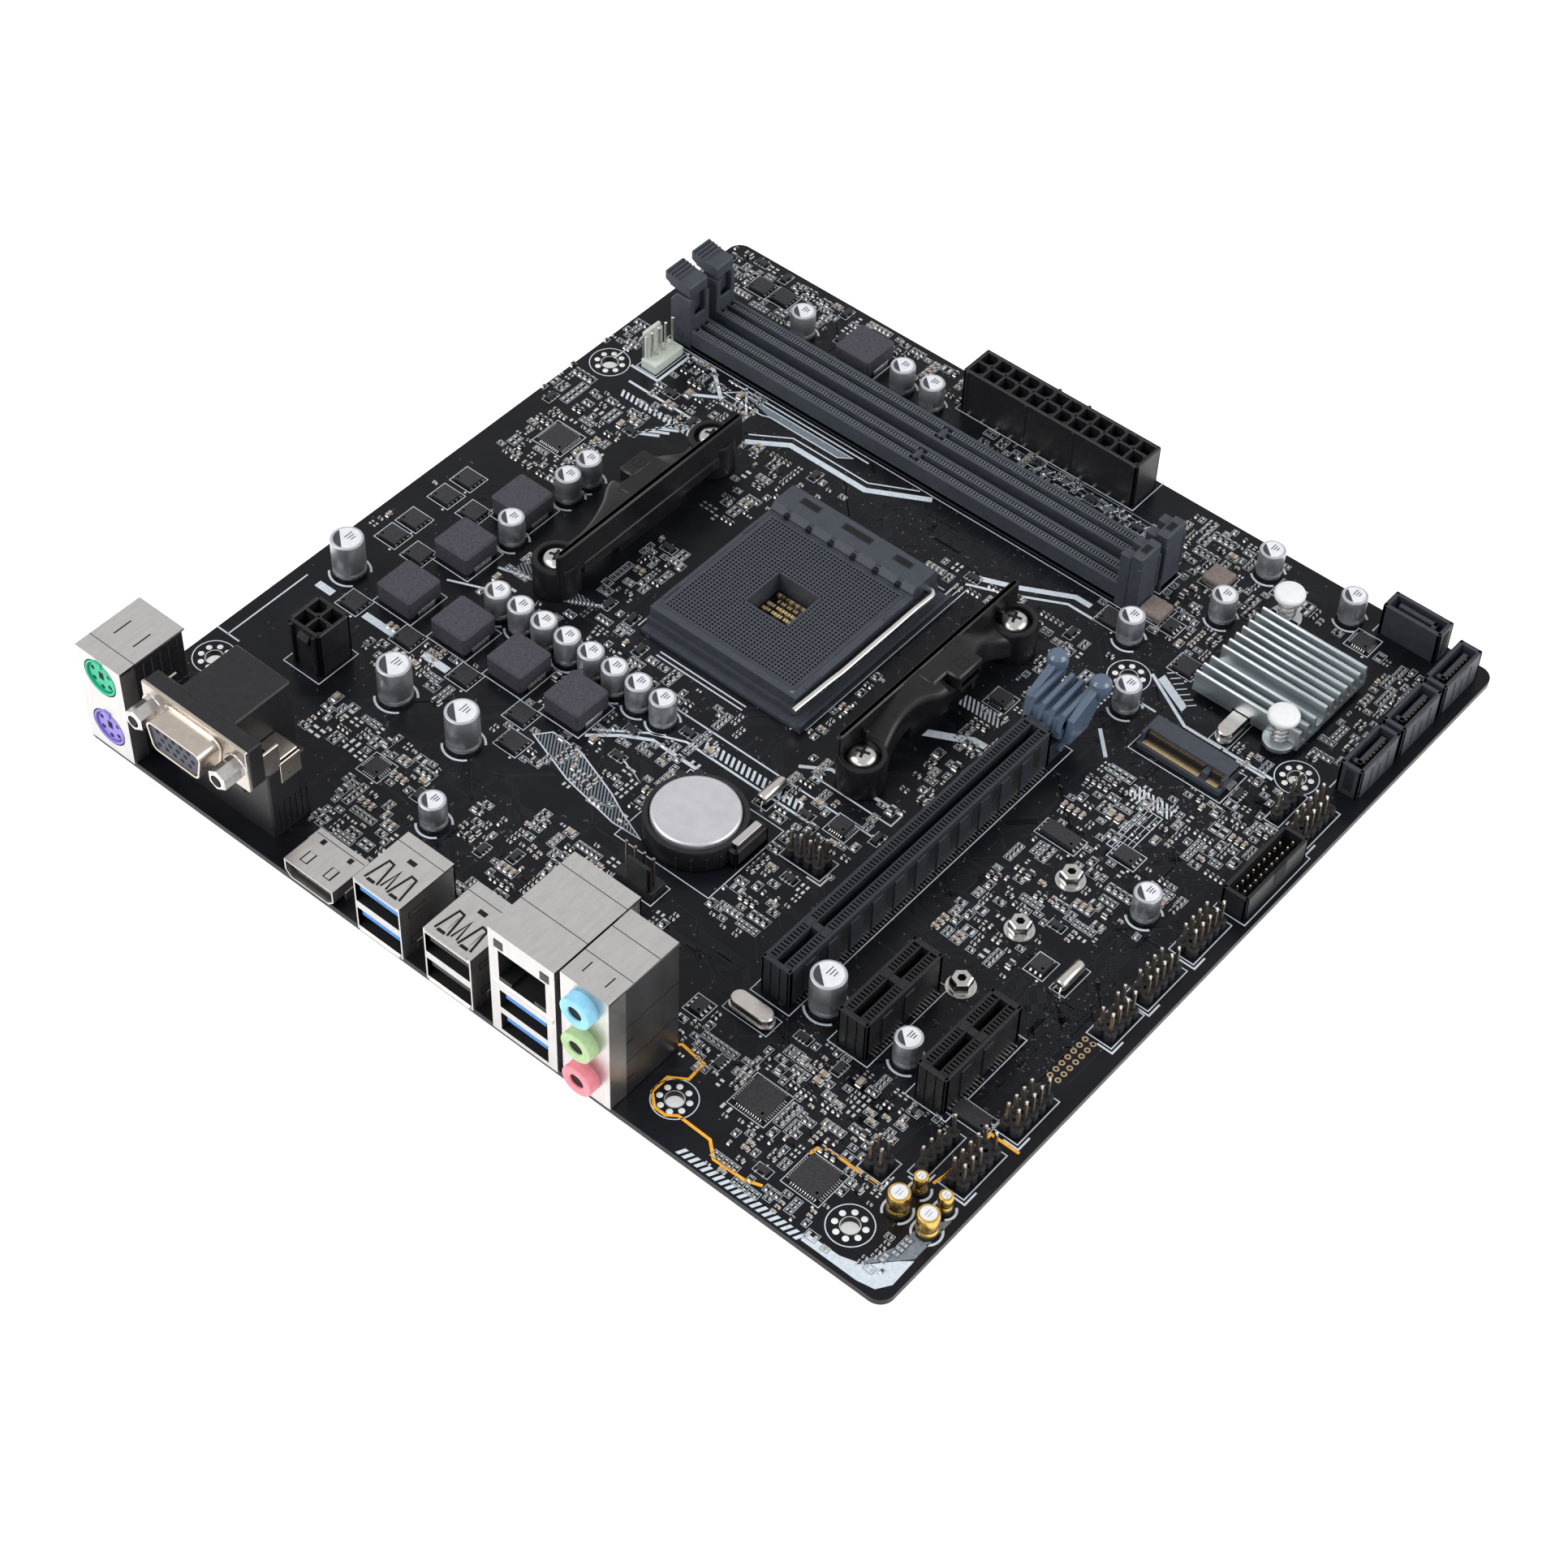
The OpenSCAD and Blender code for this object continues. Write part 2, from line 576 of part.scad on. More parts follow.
// Each header: first pin x and y, columns along x, rows along y, and the column and row
// of a pin left out to key it
headers = [[31.4, -214.4, 5, 2, [3, 0]], [48.8, -214.4, 5, 2, [4, 1]],
    [80.4, -214.4, 4, 2, [1, 1]], [93.2, -214.4, 5, 2, [4, 1]],
    [109.4, -214.4, 5, 2, [4, 1]], [150.6, -214.4, 5, 2, [4, 0]],
    [152.4, -206.4, 4, 1, [1, 0]], [74.8, -141.4, 2, 4, [1, 3]],
    [29.4, -205.6, 5, 1, [3, 0]], [23.6, -199.8, 2, 2, [-1, -1]]];

module each_header_pin(h)
    for (i = [0:h[2] - 1], j = [0:h[3] - 1])
        if (i != h[4][0] || j != h[4][1])
            translate([h[0] + i*header_pitch, h[1] + j*header_pitch, 0]) children();

module header_blocks() on_board() color("#141417") for (h = headers)
    block([h[0] - header_pitch/2 + 0.05, h[0] + (h[2] - 0.5)*header_pitch - 0.05],
        [h[1] - header_pitch/2 + 0.05, h[1] + (h[3] - 0.5)*header_pitch - 0.05],
        [0, header_block_h]);

usb3_header = [[124, 147], [-217.6, -211.2]];
usb3_header_h = 6.8;
usb3_pin_pitch = 2;

module header_pins() on_board() color("#cdbfae") {
    for (h = headers) each_header_pin(h)
        block(span(0, 0.64), span(0, 0.64), [header_block_h, 8.6]);
    for (i = [0:9], j = [0, 1]) if (i < 9 || j == 0)
        block(span(usb3_header[0][0] + 3 + i*usb3_pin_pitch, 0.5),
            span(usb3_header[1][0] + 2.6 + j*usb3_pin_pitch, 0.5), [1.6, 5.6]);
}

module usb3_header_shroud() on_board() color("#15161a") difference() {
    block(usb3_header[0], usb3_header[1], [0, usb3_header_h]);
    block([usb3_header[0][0] + 1, usb3_header[0][1] - 1],
        [usb3_header[1][0] + 1, usb3_header[1][1] - 1], [1.6, bore_cut]);
    block(span(usb3_header[0][0] + 12.4, 4), [usb3_header[1][0] - 1, usb3_header[1][0] + 2],
        [3, bore_cut]);
}

// ---------- chipset and its heatsink ----------
heatsink_x = [170, 197.2];
heatsink_y = [-199.4, -171.2];
heatsink_floor = 2.4;
fin_top = 7.8;
fin_w = 1.1;
// Fins, measured from the heatsink's near side; the third gap is wider
fins = [for (k = [0:2]) 0.6 + 2.9*k, for (k = [0:6]) 10.8 + 2.63*k];

module chipset() on_board() color("#2d3a2e") {
    middle = [(heatsink_x[0] + heatsink_x[1])/2, (heatsink_y[0] + heatsink_y[1])/2];
    block(span(middle[0], 19), span(middle[1], 19), [0, 1]);
    block(span(middle[0], 9), span(middle[1], 9), [1, heatsink_floor - 0.6]);
}

module chipset_heatsink() on_board() color("#a9b0b4") difference() {
    union() {
        block(heatsink_x, heatsink_y, [heatsink_floor - 0.6, heatsink_floor + 1.2]);
        for (f = fins)
            block(span(heatsink_x[0] + f, fin_w), heatsink_y, [heatsink_floor + 1, fin_top]);
        // ears under the push pins
        for (p = push_pins) {
            rod_z(p[0], p[1], [heatsink_floor - 0.6, heatsink_floor + 0.8], 7.6);
            toward = p[0] < heatsink_x[1] - 10 ? [p[0], heatsink_x[0] + 2]
                : [heatsink_x[1] - 2, p[0]];
            block(toward, span(p[1], 7.6), [heatsink_floor - 0.6, heatsink_floor + 0.8]);
        }
    }
    for (p = push_pins) {
        drill(p[0], p[1], 3.2);
        rod_z(p[0], p[1], [heatsink_floor + 0.8, bore_cut], 9.4);
    }
    // relief over the crystal beside it
    block([heatsink_x[0] - 1, flat_crystals[1][0] + 5.8], span(flat_crystals[1][1], 4.8),
        [0, heatsink_floor + 1]);
}

module heatsink_push_pins() on_board() color("#e4e5e6") for (p = push_pins) {
    rod_z(p[0], p[1], [-board_t - 1.2, 9.4], 2.6);
    rod_z(p[0], p[1], [9.4, 11.3], 7.2);
    translate([p[0], p[1], -board_t - 1.8]) cylinder(d1 = 2, d2 = 3.6, h = 1.7);

}

spring_wire = 0.5;
spring_r = 2;
spring_turns = 4;
spring_z = [heatsink_floor + 0.8 + spring_wire/2, 9.4 - spring_wire/2 - 0.02];

// Helical spring: rings of points swept up a helix
module spring() {
    steps = 16*spring_turns;
    sides = 6;
    rings = [for (i = [0:steps], j = [0:sides - 1])
        let (turn = 360*spring_turns*i/steps, a = 360*j/sides,
            r = spring_r + spring_wire/2*cos(a))
        [r*cos(turn), r*sin(turn),
            spring_z[0] + (spring_z[1] - spring_z[0])*i/steps + spring_wire/2*sin(a)]];
    skin = [for (i = [0:steps - 1], j = [0:sides - 1])
        [i*sides + j, (i + 1)*sides + j, (i + 1)*sides + (j + 1)%sides,
            i*sides + (j + 1)%sides]];
    caps = [[for (j = [0:sides - 1]) j], [for (j = [sides - 1:-1:0]) steps*sides + j]];
    polyhedron(rings, concat(skin, caps));
}

module push_pin_springs() on_board() color("silver")
    for (p = push_pins) translate([p[0], p[1], 0]) spring();

// ---------- battery ----------
battery_at = [66.2, -114.25];
battery_z = 3.8;

module battery() on_board() color("#d8d9dc") translate([battery_at[0], battery_at[1], 0]) {
    cylinder_z = [battery_z, battery_z + battery_t];
    rod_z(0, 0, [cylinder_z[0] + 0.4, cylinder_z[1]], battery_d);
    rod_z(0, 0, [cylinder_z[0], cylinder_z[0] + 0.5], battery_d - 3);
}

module battery_holder() on_board() color("#101113")
    translate([battery_at[0], battery_at[1], 0]) difference() {
        union() {
            rod_z(0, 0, [0, battery_z + 2.2], battery_d + 3.4);
            block([-2.7, 8], [-13.6, -6], [0, battery_z + 1.4]);
        }
        rod_z(0, 0, [battery_z - 0.1, bore_cut], battery_d + 0.5);
        rod_z(0, 0, [1.2, bore_cut], battery_d - 4);
        block([-1.6, 7.2], [-13, -10.4], [1, bore_cut]);
    }

module battery_clip() on_board() color("silver")
    translate([battery_at[0], battery_at[1], 0]) {
        block([-1.2, 6.8], [-12.8, -12.2], [1, 6.2]);
        block([-1.2, 6.8], [-12.4, -10.8], [1, 1.6]);
    }

// ---------- chokes, capacitors ----------
module chokes() on_board() color("#3a3843") for (p = choke_posts)
    difference() {
        block(span(p[0], choke_w), span(p[1], choke_w), [0.4, choke_h]);
        for (side = [-1, 1]) block(span(p[0], 5), span(p[1] + side*choke_w/2, 1), [0, 1.4]);
    }

module can(d, h) {
    rod_z(0, 0, [1.4, h], d);
    rod_z(0, 0, [0.9, 1.5], d - 0.9);
}

module capacitor_cans() on_board() color("#b7bbc0") {
    for (p = big_caps) translate([p[0], p[1], 0]) can(big_can_d, big_can_h);
    for (p = small_caps) translate([p[0], p[1], 0]) can(small_can_d, small_can_h);
}

module capacitor_bases() on_board() color("#8b8f96") {
    for (p = big_caps) rod_z(p[0], p[1], [0, 0.9], big_can_d + 0.3);
    for (p = small_caps) rod_z(p[0], p[1], [0, 0.9], small_can_d + 0.3);
}

module audio_capacitors() on_board() color("#c9a352") for (p = audio_caps)
    rod_z(p[0], p[1], [0, p[2] > 2 ? 6.6 : 5.4], 2*p[2]);

// ---------- flat components ----------
transistors = [[87, -2.9], [94, -2.9], [104.6, -2.9], [112.2, -2.9], [86.6, -11.6],
    [105, -11.6], [65.8, -11.4], [65.8, -28.4], [65.8, -46], [65.8, -63.4], [58.6, -67.6],
    [211.2, -9.6], [211.6, -16.4], [177, -144], [176, -165.6], [211, -169.6]];

module power_transistors() on_board() color("#1c1c20") for (p = transistors)
    block(span(p[0], 5), span(p[1], 5.6), [0, 1]);

// Chips: x, y, width, depth and height
chip_list = [[136.8, -9.2, 8, 8, 0.9], [21.4, -170.6, 8.6, 8.6, 1.4],
    [14, -191, 8.6, 8.6, 1.4], [117, -174.4, 4, 9.6, 1.5], [87.6, -137.4, 5, 5, 1.6],
    [140, -140.4, 5, 5, 1.6], [86, -192.6, 5, 4, 1.5], [33.6, -50.4, 5.4, 5.4, 0.9],
    [122, -188.4, 4, 6, 1], [209.2, -191.4, 5.4, 5.4, 0.9], [46.4, -205.2, 4.2, 9, 1.1],
    [185.4, -150.2, 6, 6, 2], [203.4, -155.2, 6, 6, 2], [31, -146, 4, 4, 0.9],
    [206.6, -100, 2.4, 2.4, 0.9], [184, -155.6, 4, 4, 0.9]];

module chips() on_board() color("#1f1f23") for (c = chip_list)
    block(span(c[0], c[2]), span(c[1], c[3]), [0, c[4]]);

// Flat crystal cans: x, y, and whether the long side runs along x
flat_crystals = [[36.7, -155.3, false], [167.6, -184.4, true]];

module crystals() on_board() color("#d3cfc9") {
    for (c = flat_crystals) {
        half = 3.4;
        step = c[2] ? [half, 0] : [0, half];
        for (side = [-1, 1]) rod_z(c[0] + side*step[0], c[1] + side*step[1], [0.4, 3.1], 4);
        block(span(c[0], c[2] ? 2*half : 4), span(c[1], c[2] ? 4 : 2*half), [0.4, 3.1]);
    }
    // small barrels lying along x
    for (p = [[84.9, -120], [87.2, -199.2]]) rod_x(span(p[0], 8), p[1], 1.7, 3);
}

// Rows of small chip components: first x and y, columns, rows, column and row pitch
component_fields = [[30, -34, 6, 5, 1.9, 2.6], [18.2, -52, 5, 5, 2, 2.6],
    [38, -84, 4, 6, 2, 2.6], [122.6, -91.8, 6, 5, 1.8, 2.2], [106, -58, 8, 4, 2, 2.4],
    [144, -16, 5, 6, 2.2, 2.6], [108, -118, 12, 2, 3, 2.4], [52, -139, 6, 4, 2.4, 2.6],
    [96, -178, 6, 5, 2.2, 2.6], [71.6, -196, 5, 4, 2.2, 2.2], [136, -198, 6, 4, 2.2, 2.4],
    [200, -188, 4, 5, 2, 2.4], [200.4, -150, 4, 4, 2.2, 2.2], [6, -178, 3, 6, 2.2, 2.4],
    [28, -178, 4, 7, 2.2, 2.4], [203, -88, 3, 5, 2, 2.6]];

module chip_components() on_board() color("#a89a86") for (f = component_fields)
    for (i = [0:f[2] - 1], j = [0:f[3] - 1])
        block(span(f[0] + i*f[4], 0.8), span(f[1] + j*f[5], 1.4), [0, 0.6]);

// ---------- keyboard and mouse connector ----------
ps2_x = [-0.6, 18];
ps2_y = [-10.7, 3.2];
ps2_h = 28.7;
ps2_mid = (ps2_y[0] + ps2_y[1])/2;
ps2_mouse_z = 22.9;
ps2_keyboard_z = 7.3;
sheet = 0.4;                   // thickness of the connectors' metal
ps2_socket_d = 9.3;

module ps2_shell() on_board() color("#cfcbc8") difference() {
    union() {
        block([ps2_x[0], ps2_x[0] + sheet], ps2_y, [0.3, ps2_h]);
        block(ps2_x, ps2_y, [ps2_h - sheet, ps2_h]);
        block([ps2_x[0], ps2_x[1]], [ps2_y[1] - sheet, ps2_y[1]], [0.3, ps2_h]);
        block([ps2_x[0], ps2_x[0] + 4], [ps2_y[0], ps2_y[0] + sheet], [0.3, ps2_h]);
    }
    for (z = [ps2_mouse_z, ps2_keyboard_z])
        rod_x([ps2_x[0] - 1, ps2_x[0] + 2], ps2_mid, z, ps2_socket_d + 0.6);
}

module ps2_body() on_board() color("#1a1a1d") difference() {
    block([ps2_x[0] + sheet, ps2_x[1] - 0.4], [ps2_y[0] + sheet, ps2_y[1] - sheet],
        [0, ps2_h - sheet]);
    for (z = [ps2_mouse_z, ps2_keyboard_z])
        rod_x([ps2_x[0], ps2_x[0] + 8], ps2_mid, z, ps2_socket_d + 0.1);
}

// Six-pin round socket with a key slot, its face at the panel
module ps2_socket(z) difference() {
    rod_x([ps2_x[0] - 0.1, ps2_x[0] + 8], ps2_mid, z, ps2_socket_d);
    for (a = [30, 90, 150, 215, 270, 325])
        rod_x([ps2_x[0] - 1, ps2_x[0] + 5], ps2_mid + 2.9*cos(a), z + 2.9*sin(a), 1.1);
    block([ps2_x[0] - 1, ps2_x[0] + 5], span(ps2_mid, 1.4), [z - 0.6, z + 1.4]);
}

module ps2_mouse_socket() on_board() color("#2fae7d") ps2_socket(ps2_mouse_z);
module ps2_keyboard_socket() on_board() color("#7a6bc0") ps2_socket(ps2_keyboard_z);

// ---------- display connectors ----------
vga_mid = -32.9;
vga_z = 25.8;
vga_flange_y = [-48.7, -17.5];
vga_flange_z = [19.8, 31.8];
vga_nose = 6;                  // how far the socket stands out of the panel

// The D outline, shrunk by inset on every side
module vga_outline(inset)
    polygon([[vga_mid - 8.1 + inset, vga_z + 2.6], [vga_mid - 6.6 + inset, vga_z + 4.1 - inset],
        [vga_mid + 6.6 - inset, vga_z + 4.1 - inset], [vga_mid + 8.1 - inset, vga_z + 2.6],
        [vga_mid + 7.2 - inset, vga_z - 2.8], [vga_mid + 5.6 - inset, vga_z - 4.1 + inset],
        [vga_mid - 5.6 + inset, vga_z - 4.1 + inset], [vga_mid - 7.2 + inset, vga_z - 2.8]]);

module vga_prism(x, inset) translate([x[0], 0, 0]) rotate([90, 0, 90])
    linear_extrude(x[1] - x[0]) vga_outline(inset);

module vga_housing() on_board() color("#131417") {
    difference() {
        union() {
            block([0.6, 4.6], vga_flange_y, vga_flange_z);
            block([4, 20.4], span(vga_mid, 16.4), [10, 31.9]);
            block([5, 16], [vga_flange_y[0] + 0.3, vga_flange_y[1] - 0.3],
                [0, vga_flange_z[0] + 0.2]);
        }
        for (side = [-1, 1]) rod_x([0, 4], vga_mid + side*jackscrew_pitch/2, vga_z, 3.2);
        block([0, 3], span(vga_mid, 17), span(vga_z, 9));
    }
    // panel clip on the lower side
    block([9, 14.6], [vga_flange_y[0] + 1, vga_mid - 8.3], [vga_flange_z[0], 21.4]);
}

module vga_shell() on_board() color("#d9d0c6") difference() {
    union() {
        block([-0.2, 0.6], vga_flange_y, vga_flange_z);
        vga_prism([-vga_nose, 0], 0);
    }
    vga_prism([-vga_nose - 1, 2], 0.5);
    for (side = [-1, 1]) rod_x([-1, 2], vga_mid + side*jackscrew_pitch/2, vga_z, 3.2);
}

module vga_contact_block() on_board() color("#2b2e38") difference() {
    vga_prism([-vga_nose + 0.4, 3], 0.6);
    for (row = [-1, 0, 1], i = [0:4])
        rod_x([-vga_nose - 1, -2], vga_mid + 5.4 - 2.29*i - (row == 0 ? 1.14 : 0) - 0.3,
            vga_z + row*1.98, 1.1);
}

module vga_jackscrews() on_board() color("#cfc6bc") for (side = [-1, 1])
    translate([-vga_nose, vga_mid + side*jackscrew_pitch/2, vga_z]) rotate([0, 90, 0])
        difference() {
            union() {
                cylinder(d = 5.4, h = vga_nose - 0.2, $fn = 6);
                cylinder(d = 2.9, h = vga_nose + 3.6);
            }
            translate([0, 0, -1]) cylinder(d = 2.5, h = 6);
        }

hdmi_mid = -64.4;
hdmi_x = [-0.5, 10.6];

module hdmi_outline(inset)
    polygon([[hdmi_mid - 7.2 + inset, 5.5 - inset], [hdmi_mid + 7.2 - inset, 5.5 - inset],
        [hdmi_mid + 7.2 - inset, 2], [hdmi_mid + 5.6 - inset, 0.4 + inset],
        [hdmi_mid - 5.6 + inset, 0.4 + inset], [hdmi_mid - 7.2 + inset, 2]]);

module hdmi_prism(x, inset) translate([x[0], 0, 0]) rotate([90, 0, 90])
    linear_extrude(x[1] - x[0]) hdmi_outline(inset);

module hdmi_shell() on_board() color("#d6cfc6") difference() {
    union() {
        hdmi_prism(hdmi_x, 0);
        for (side = [-1, 1]) block([3, 7], span(hdmi_mid + side*6.9, 1), [0, 2.4]);
    }
    hdmi_prism([hdmi_x[0] - 1, hdmi_x[1] - sheet], sheet);
}

module hdmi_tongue() on_board() color("#17171a") {
    block([7.6, hdmi_x[1] - sheet], span(hdmi_mid, 11), [1, 5]);
    block([1.4, 7.8], span(hdmi_mid, 11), [2.2, 3.4]);
}

// ---------- USB stacks ----------
usb_x = [-0.5, 15.8];
usb_h = 16.6;
usb_w = 13.2;
usb3_mid = -85.3;
usb2_mid = -105.3;
usb_ports_z = [1.2, 9.4];      // floor of each opening
usb_open_h = 6;
tongue_l = 9;

module usb_shell(mid) difference() {
    block(usb_x, span(mid, usb_w), [0, usb_h]);
    for (z = usb_ports_z)
        block([usb_x[0] - 1, usb_x[1] - sheet], span(mid, usb_w - 2*sheet),
            [z, z + usb_open_h]);
    block([usb_x[0] + 2.6, usb_x[1] - sheet], span(mid, usb_w - 2*sheet), [sheet, 15.6]);
    // spring fingers in the top
    for (side = [-1, 1]) block([1.2, 6.4], span(mid + side*3, 0.5), [15, bore_cut]);
}

module usb_shells() on_board() color("#cbc8c6") {
    usb_shell(usb3_mid);
    usb_shell(usb2_mid);
}

// Rear block and a tongue for each port; the tongue's width and thickness are given
module usb_tongues(mid, x1, floor_z, ports, open_h) {
    block([tongue_l, x1], span(mid, 12), [floor_z, ports[1] + open_h]);
    for (z = ports) block([0.2, tongue_l + 0.2], span(mid, 11.2),
        [z + open_h - 2.6, z + open_h - 0.8]);
}

lan_x = [-0.5, 25];
lan_y = [-135.4, -117.5];
lan_mid = (lan_y[0] + lan_y[1])/2;
lan_usb_z = [1.2, 8.7];
lan_usb_h = 5.6;
rj45_z = [17, 27];
rj45_w = 12.2;

module usb3_tongues() on_board() color("#2f7fc4") {
    usb_tongues(usb3_mid, usb_x[1] - sheet, sheet, usb_ports_z, usb_open_h);
    usb_tongues(lan_mid, 18, lan_usb_z[0], lan_usb_z, lan_usb_h);
}

module usb2_tongues() on_board() color("#19191c")
    usb_tongues(usb2_mid, usb_x[1] - sheet, sheet, usb_ports_z, usb_open_h);

// ---------- network connector over two USB ports ----------
module lan_usb_shell() on_board() color("#d2cfcd") difference() {
    block(lan_x, lan_y, [0, lan_h]);
    for (z = lan_usb_z)
        block([lan_x[0] - 1, 18.2], span(lan_mid, 13), [z, z + lan_usb_h]);
    block([8, 18.2], span(lan_mid, 13), [1.2, 14.3]);
    block([lan_x[0] - 1, lan_x[1] - sheet], [lan_y[0] + sheet, lan_y[1] - sheet],
        [rj45_z[0], rj45_z[1]]);
    block([lan_x[0] + sheet, lan_x[1] - sheet], [lan_y[0] + sheet, lan_y[1] - sheet],
        [15.2, lan_h - sheet]);
}

module lan_jack_insert() on_board() color("#1b1b1f") difference() {
    block([lan_x[0] + sheet, lan_x[1] - sheet], [lan_y[0] + sheet, lan_y[1] - sheet],
        [15.2, lan_h - sheet]);
    block([-1, 14], span(lan_mid, rj45_w), [18.6, 26.6]);
    block([-1, 14], span(lan_mid, 6), [16.8, 19]);
}

// ---------- audio connector ----------
audio_x = [-0.5, 20.2];
audio_y = [-149.7, -137];
audio_mid = -143.2;
audio_jack_z = [7, 18.2, 29.3];
audio_bore_end = [14, 15, 16];
jack_d = 7.8;
jack_face = -3.5;

module audio_housing() on_board() color("#17181b") difference() {
    block([audio_x[0] + sheet, audio_x[1]], audio_y, [0, audio_h - sheet]);
    for (k = [0:2])
        rod_x([audio_x[0], audio_bore_end[k]], audio_mid, audio_jack_z[k], jack_bore_d);
    for (z = audio_jack_z) rod_x([audio_x[0], 3], audio_mid, z, jack_d + 0.1);
}

module audio_shield() on_board() color("#cfcccb") {
    difference() {
        block([audio_x[0], audio_x[0] + sheet], audio_y, [0.3, audio_h]);
        for (z = audio_jack_z) rod_x([-2, 2], audio_mid, z, jack_d + 0.1);
    }
    block([audio_x[0] + sheet, audio_x[1]], audio_y, [audio_h - sheet, audio_h]);
}

module audio_jacks() on_board() color("#8fb27a") for (z = audio_jack_z) difference() {
    rod_x([jack_face, 2.9], audio_mid, z, jack_d);
    rod_x([jack_face - 1, 4], audio_mid, z, jack_bore_d);
}

circuit_board();
cpu_socket_base();
cpu_socket_cover();
cpu_socket_lever();
cooler_bracket_upper();
cooler_bracket_lower();
bracket_screws();
cooler_backplate();
memory_slot_1();
memory_slot_2();
memory_latch_1();
memory_latch_2();
slot_contacts();
pcie_x16_slot();
pcie_x16_latch();
pcie_x1_slots();
m2_socket();
m2_standoffs();
sata_ports();
main_power_housing();
cpu_power_housing();
power_pins();
cpu_fan_header();
chassis_fan_header();
header_blocks();
header_pins();
usb3_header_shroud();
chipset();
chipset_heatsink();
heatsink_push_pins();
push_pin_springs();
battery();
battery_holder();
battery_clip();
chokes();
capacitor_cans();
capacitor_bases();
audio_capacitors();
power_transistors();
chips();
crystals();
chip_components();
ps2_shell();
ps2_body();
ps2_mouse_socket();
ps2_keyboard_socket();
vga_housing();
vga_shell();
vga_contact_block();
vga_jackscrews();
hdmi_shell();
hdmi_tongue();
usb_shells();
usb3_tongues();
usb2_tongues();
lan_usb_shell();
lan_jack_insert();
audio_housing();
audio_shield();
audio_jacks();
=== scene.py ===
import math
import random

import bpy
import numpy as np
from mathutils import Euler, Matrix, Vector


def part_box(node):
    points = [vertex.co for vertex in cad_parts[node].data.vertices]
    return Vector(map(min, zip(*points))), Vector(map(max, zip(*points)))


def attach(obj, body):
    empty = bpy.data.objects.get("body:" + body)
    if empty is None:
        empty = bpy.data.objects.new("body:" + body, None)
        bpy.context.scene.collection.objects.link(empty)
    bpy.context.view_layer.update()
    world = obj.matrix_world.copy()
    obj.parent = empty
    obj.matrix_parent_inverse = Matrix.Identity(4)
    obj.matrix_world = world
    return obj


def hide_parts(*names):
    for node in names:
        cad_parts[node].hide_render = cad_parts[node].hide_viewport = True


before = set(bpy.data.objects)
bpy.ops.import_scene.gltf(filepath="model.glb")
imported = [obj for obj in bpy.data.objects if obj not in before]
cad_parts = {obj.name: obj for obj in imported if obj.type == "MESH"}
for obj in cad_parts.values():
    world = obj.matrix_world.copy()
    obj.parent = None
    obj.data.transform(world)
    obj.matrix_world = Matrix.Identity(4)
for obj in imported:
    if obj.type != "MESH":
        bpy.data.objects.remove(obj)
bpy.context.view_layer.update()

# Board coordinates, as the CAD source uses them: millimetres, x from the rear-panel edge,
# y from the first row of screw holes, z above the board's top face.
HOLE_X, BOARD_T = 33.02, 1.6

# Places that several pieces share
SCREW_HOLES = [(HOLE_X, 0), (165.1, 0), (10.16, -157.48), (165.1, -157.48), (10.16, -203.2),
               (165.1, -203.2)]
SOCKET_X, SOCKET_Y = 127.2, -87.1
BRACKET_FEET_X, BRACKET_OFFSET = (100.5, 154.5), 45
SLOT_X, LONG_SLOT_Y, SLOT_PITCH = 42.8, -156.1, 20.32
MAIN_POWER, PROCESSOR_POWER, POWER_PITCH = (214.4, -100), (49.4, -17.8), 4.2
PROCESSOR_FAN, CASE_FAN, PIN_PITCH = (174.3, -9), (47.4, -115), 2.54
PUSH_PINS = ((169.8, -194.8), (201.6, -174.7))
FAST_PORTS_Y, PLAIN_PORTS_Y, NETWORK_Y = -85.3, -105.3, -126.45
INK_Z = 0.05


def to_row(p):
    """Board coordinates to the row frame, in metres."""
    return ((p[0] - HOLE_X) / 1000, p[1] / 1000, (p[2] + BOARD_T) / 1000)


def node_box(node):
    """A CAD node's box in board coordinates."""
    lo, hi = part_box(node)
    return ((lo.x * 1000 + HOLE_X, lo.y * 1000, lo.z * 1000 - BOARD_T),
            (hi.x * 1000 + HOLE_X, hi.y * 1000, hi.z * 1000 - BOARD_T))


def islands(node):
    """Boxes, in board coordinates, of the separate solids in a CAD node."""
    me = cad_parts[node].data
    co = np.array([v.co for v in me.vertices], float)
    keys = {}
    ids = np.array([keys.setdefault(tuple(k), len(keys)) for k in np.round(co * 1e5).astype(int)])
    parent = list(range(len(keys)))

    def find(a):
        while parent[a] != a:
            parent[a] = parent[parent[a]]
            a = parent[a]
        return a

    for poly in me.polygons:
        vs = [find(ids[v]) for v in poly.vertices]
        for v in vs[1:]:
            parent[find(v)] = find(vs[0])
    groups = {}
    for k, c in zip(ids, co):
        groups.setdefault(find(k), []).append(c)
    out = []
    for pts in groups.values():
        a = np.array(pts) * 1000 + (HOLE_X, 0, -BOARD_T)
        out.append((a.min(0), a.max(0)))
    return sorted(out, key=lambda b: (round(b[0][0], 1), round(b[0][1], 1)))


# ---------------------------------------------------------------- materials
BUMP_DEPTH = 0.00005
CLEAR_PLASTIC_IOR = 1.49
PLASTIC_SPECULAR = 0.3


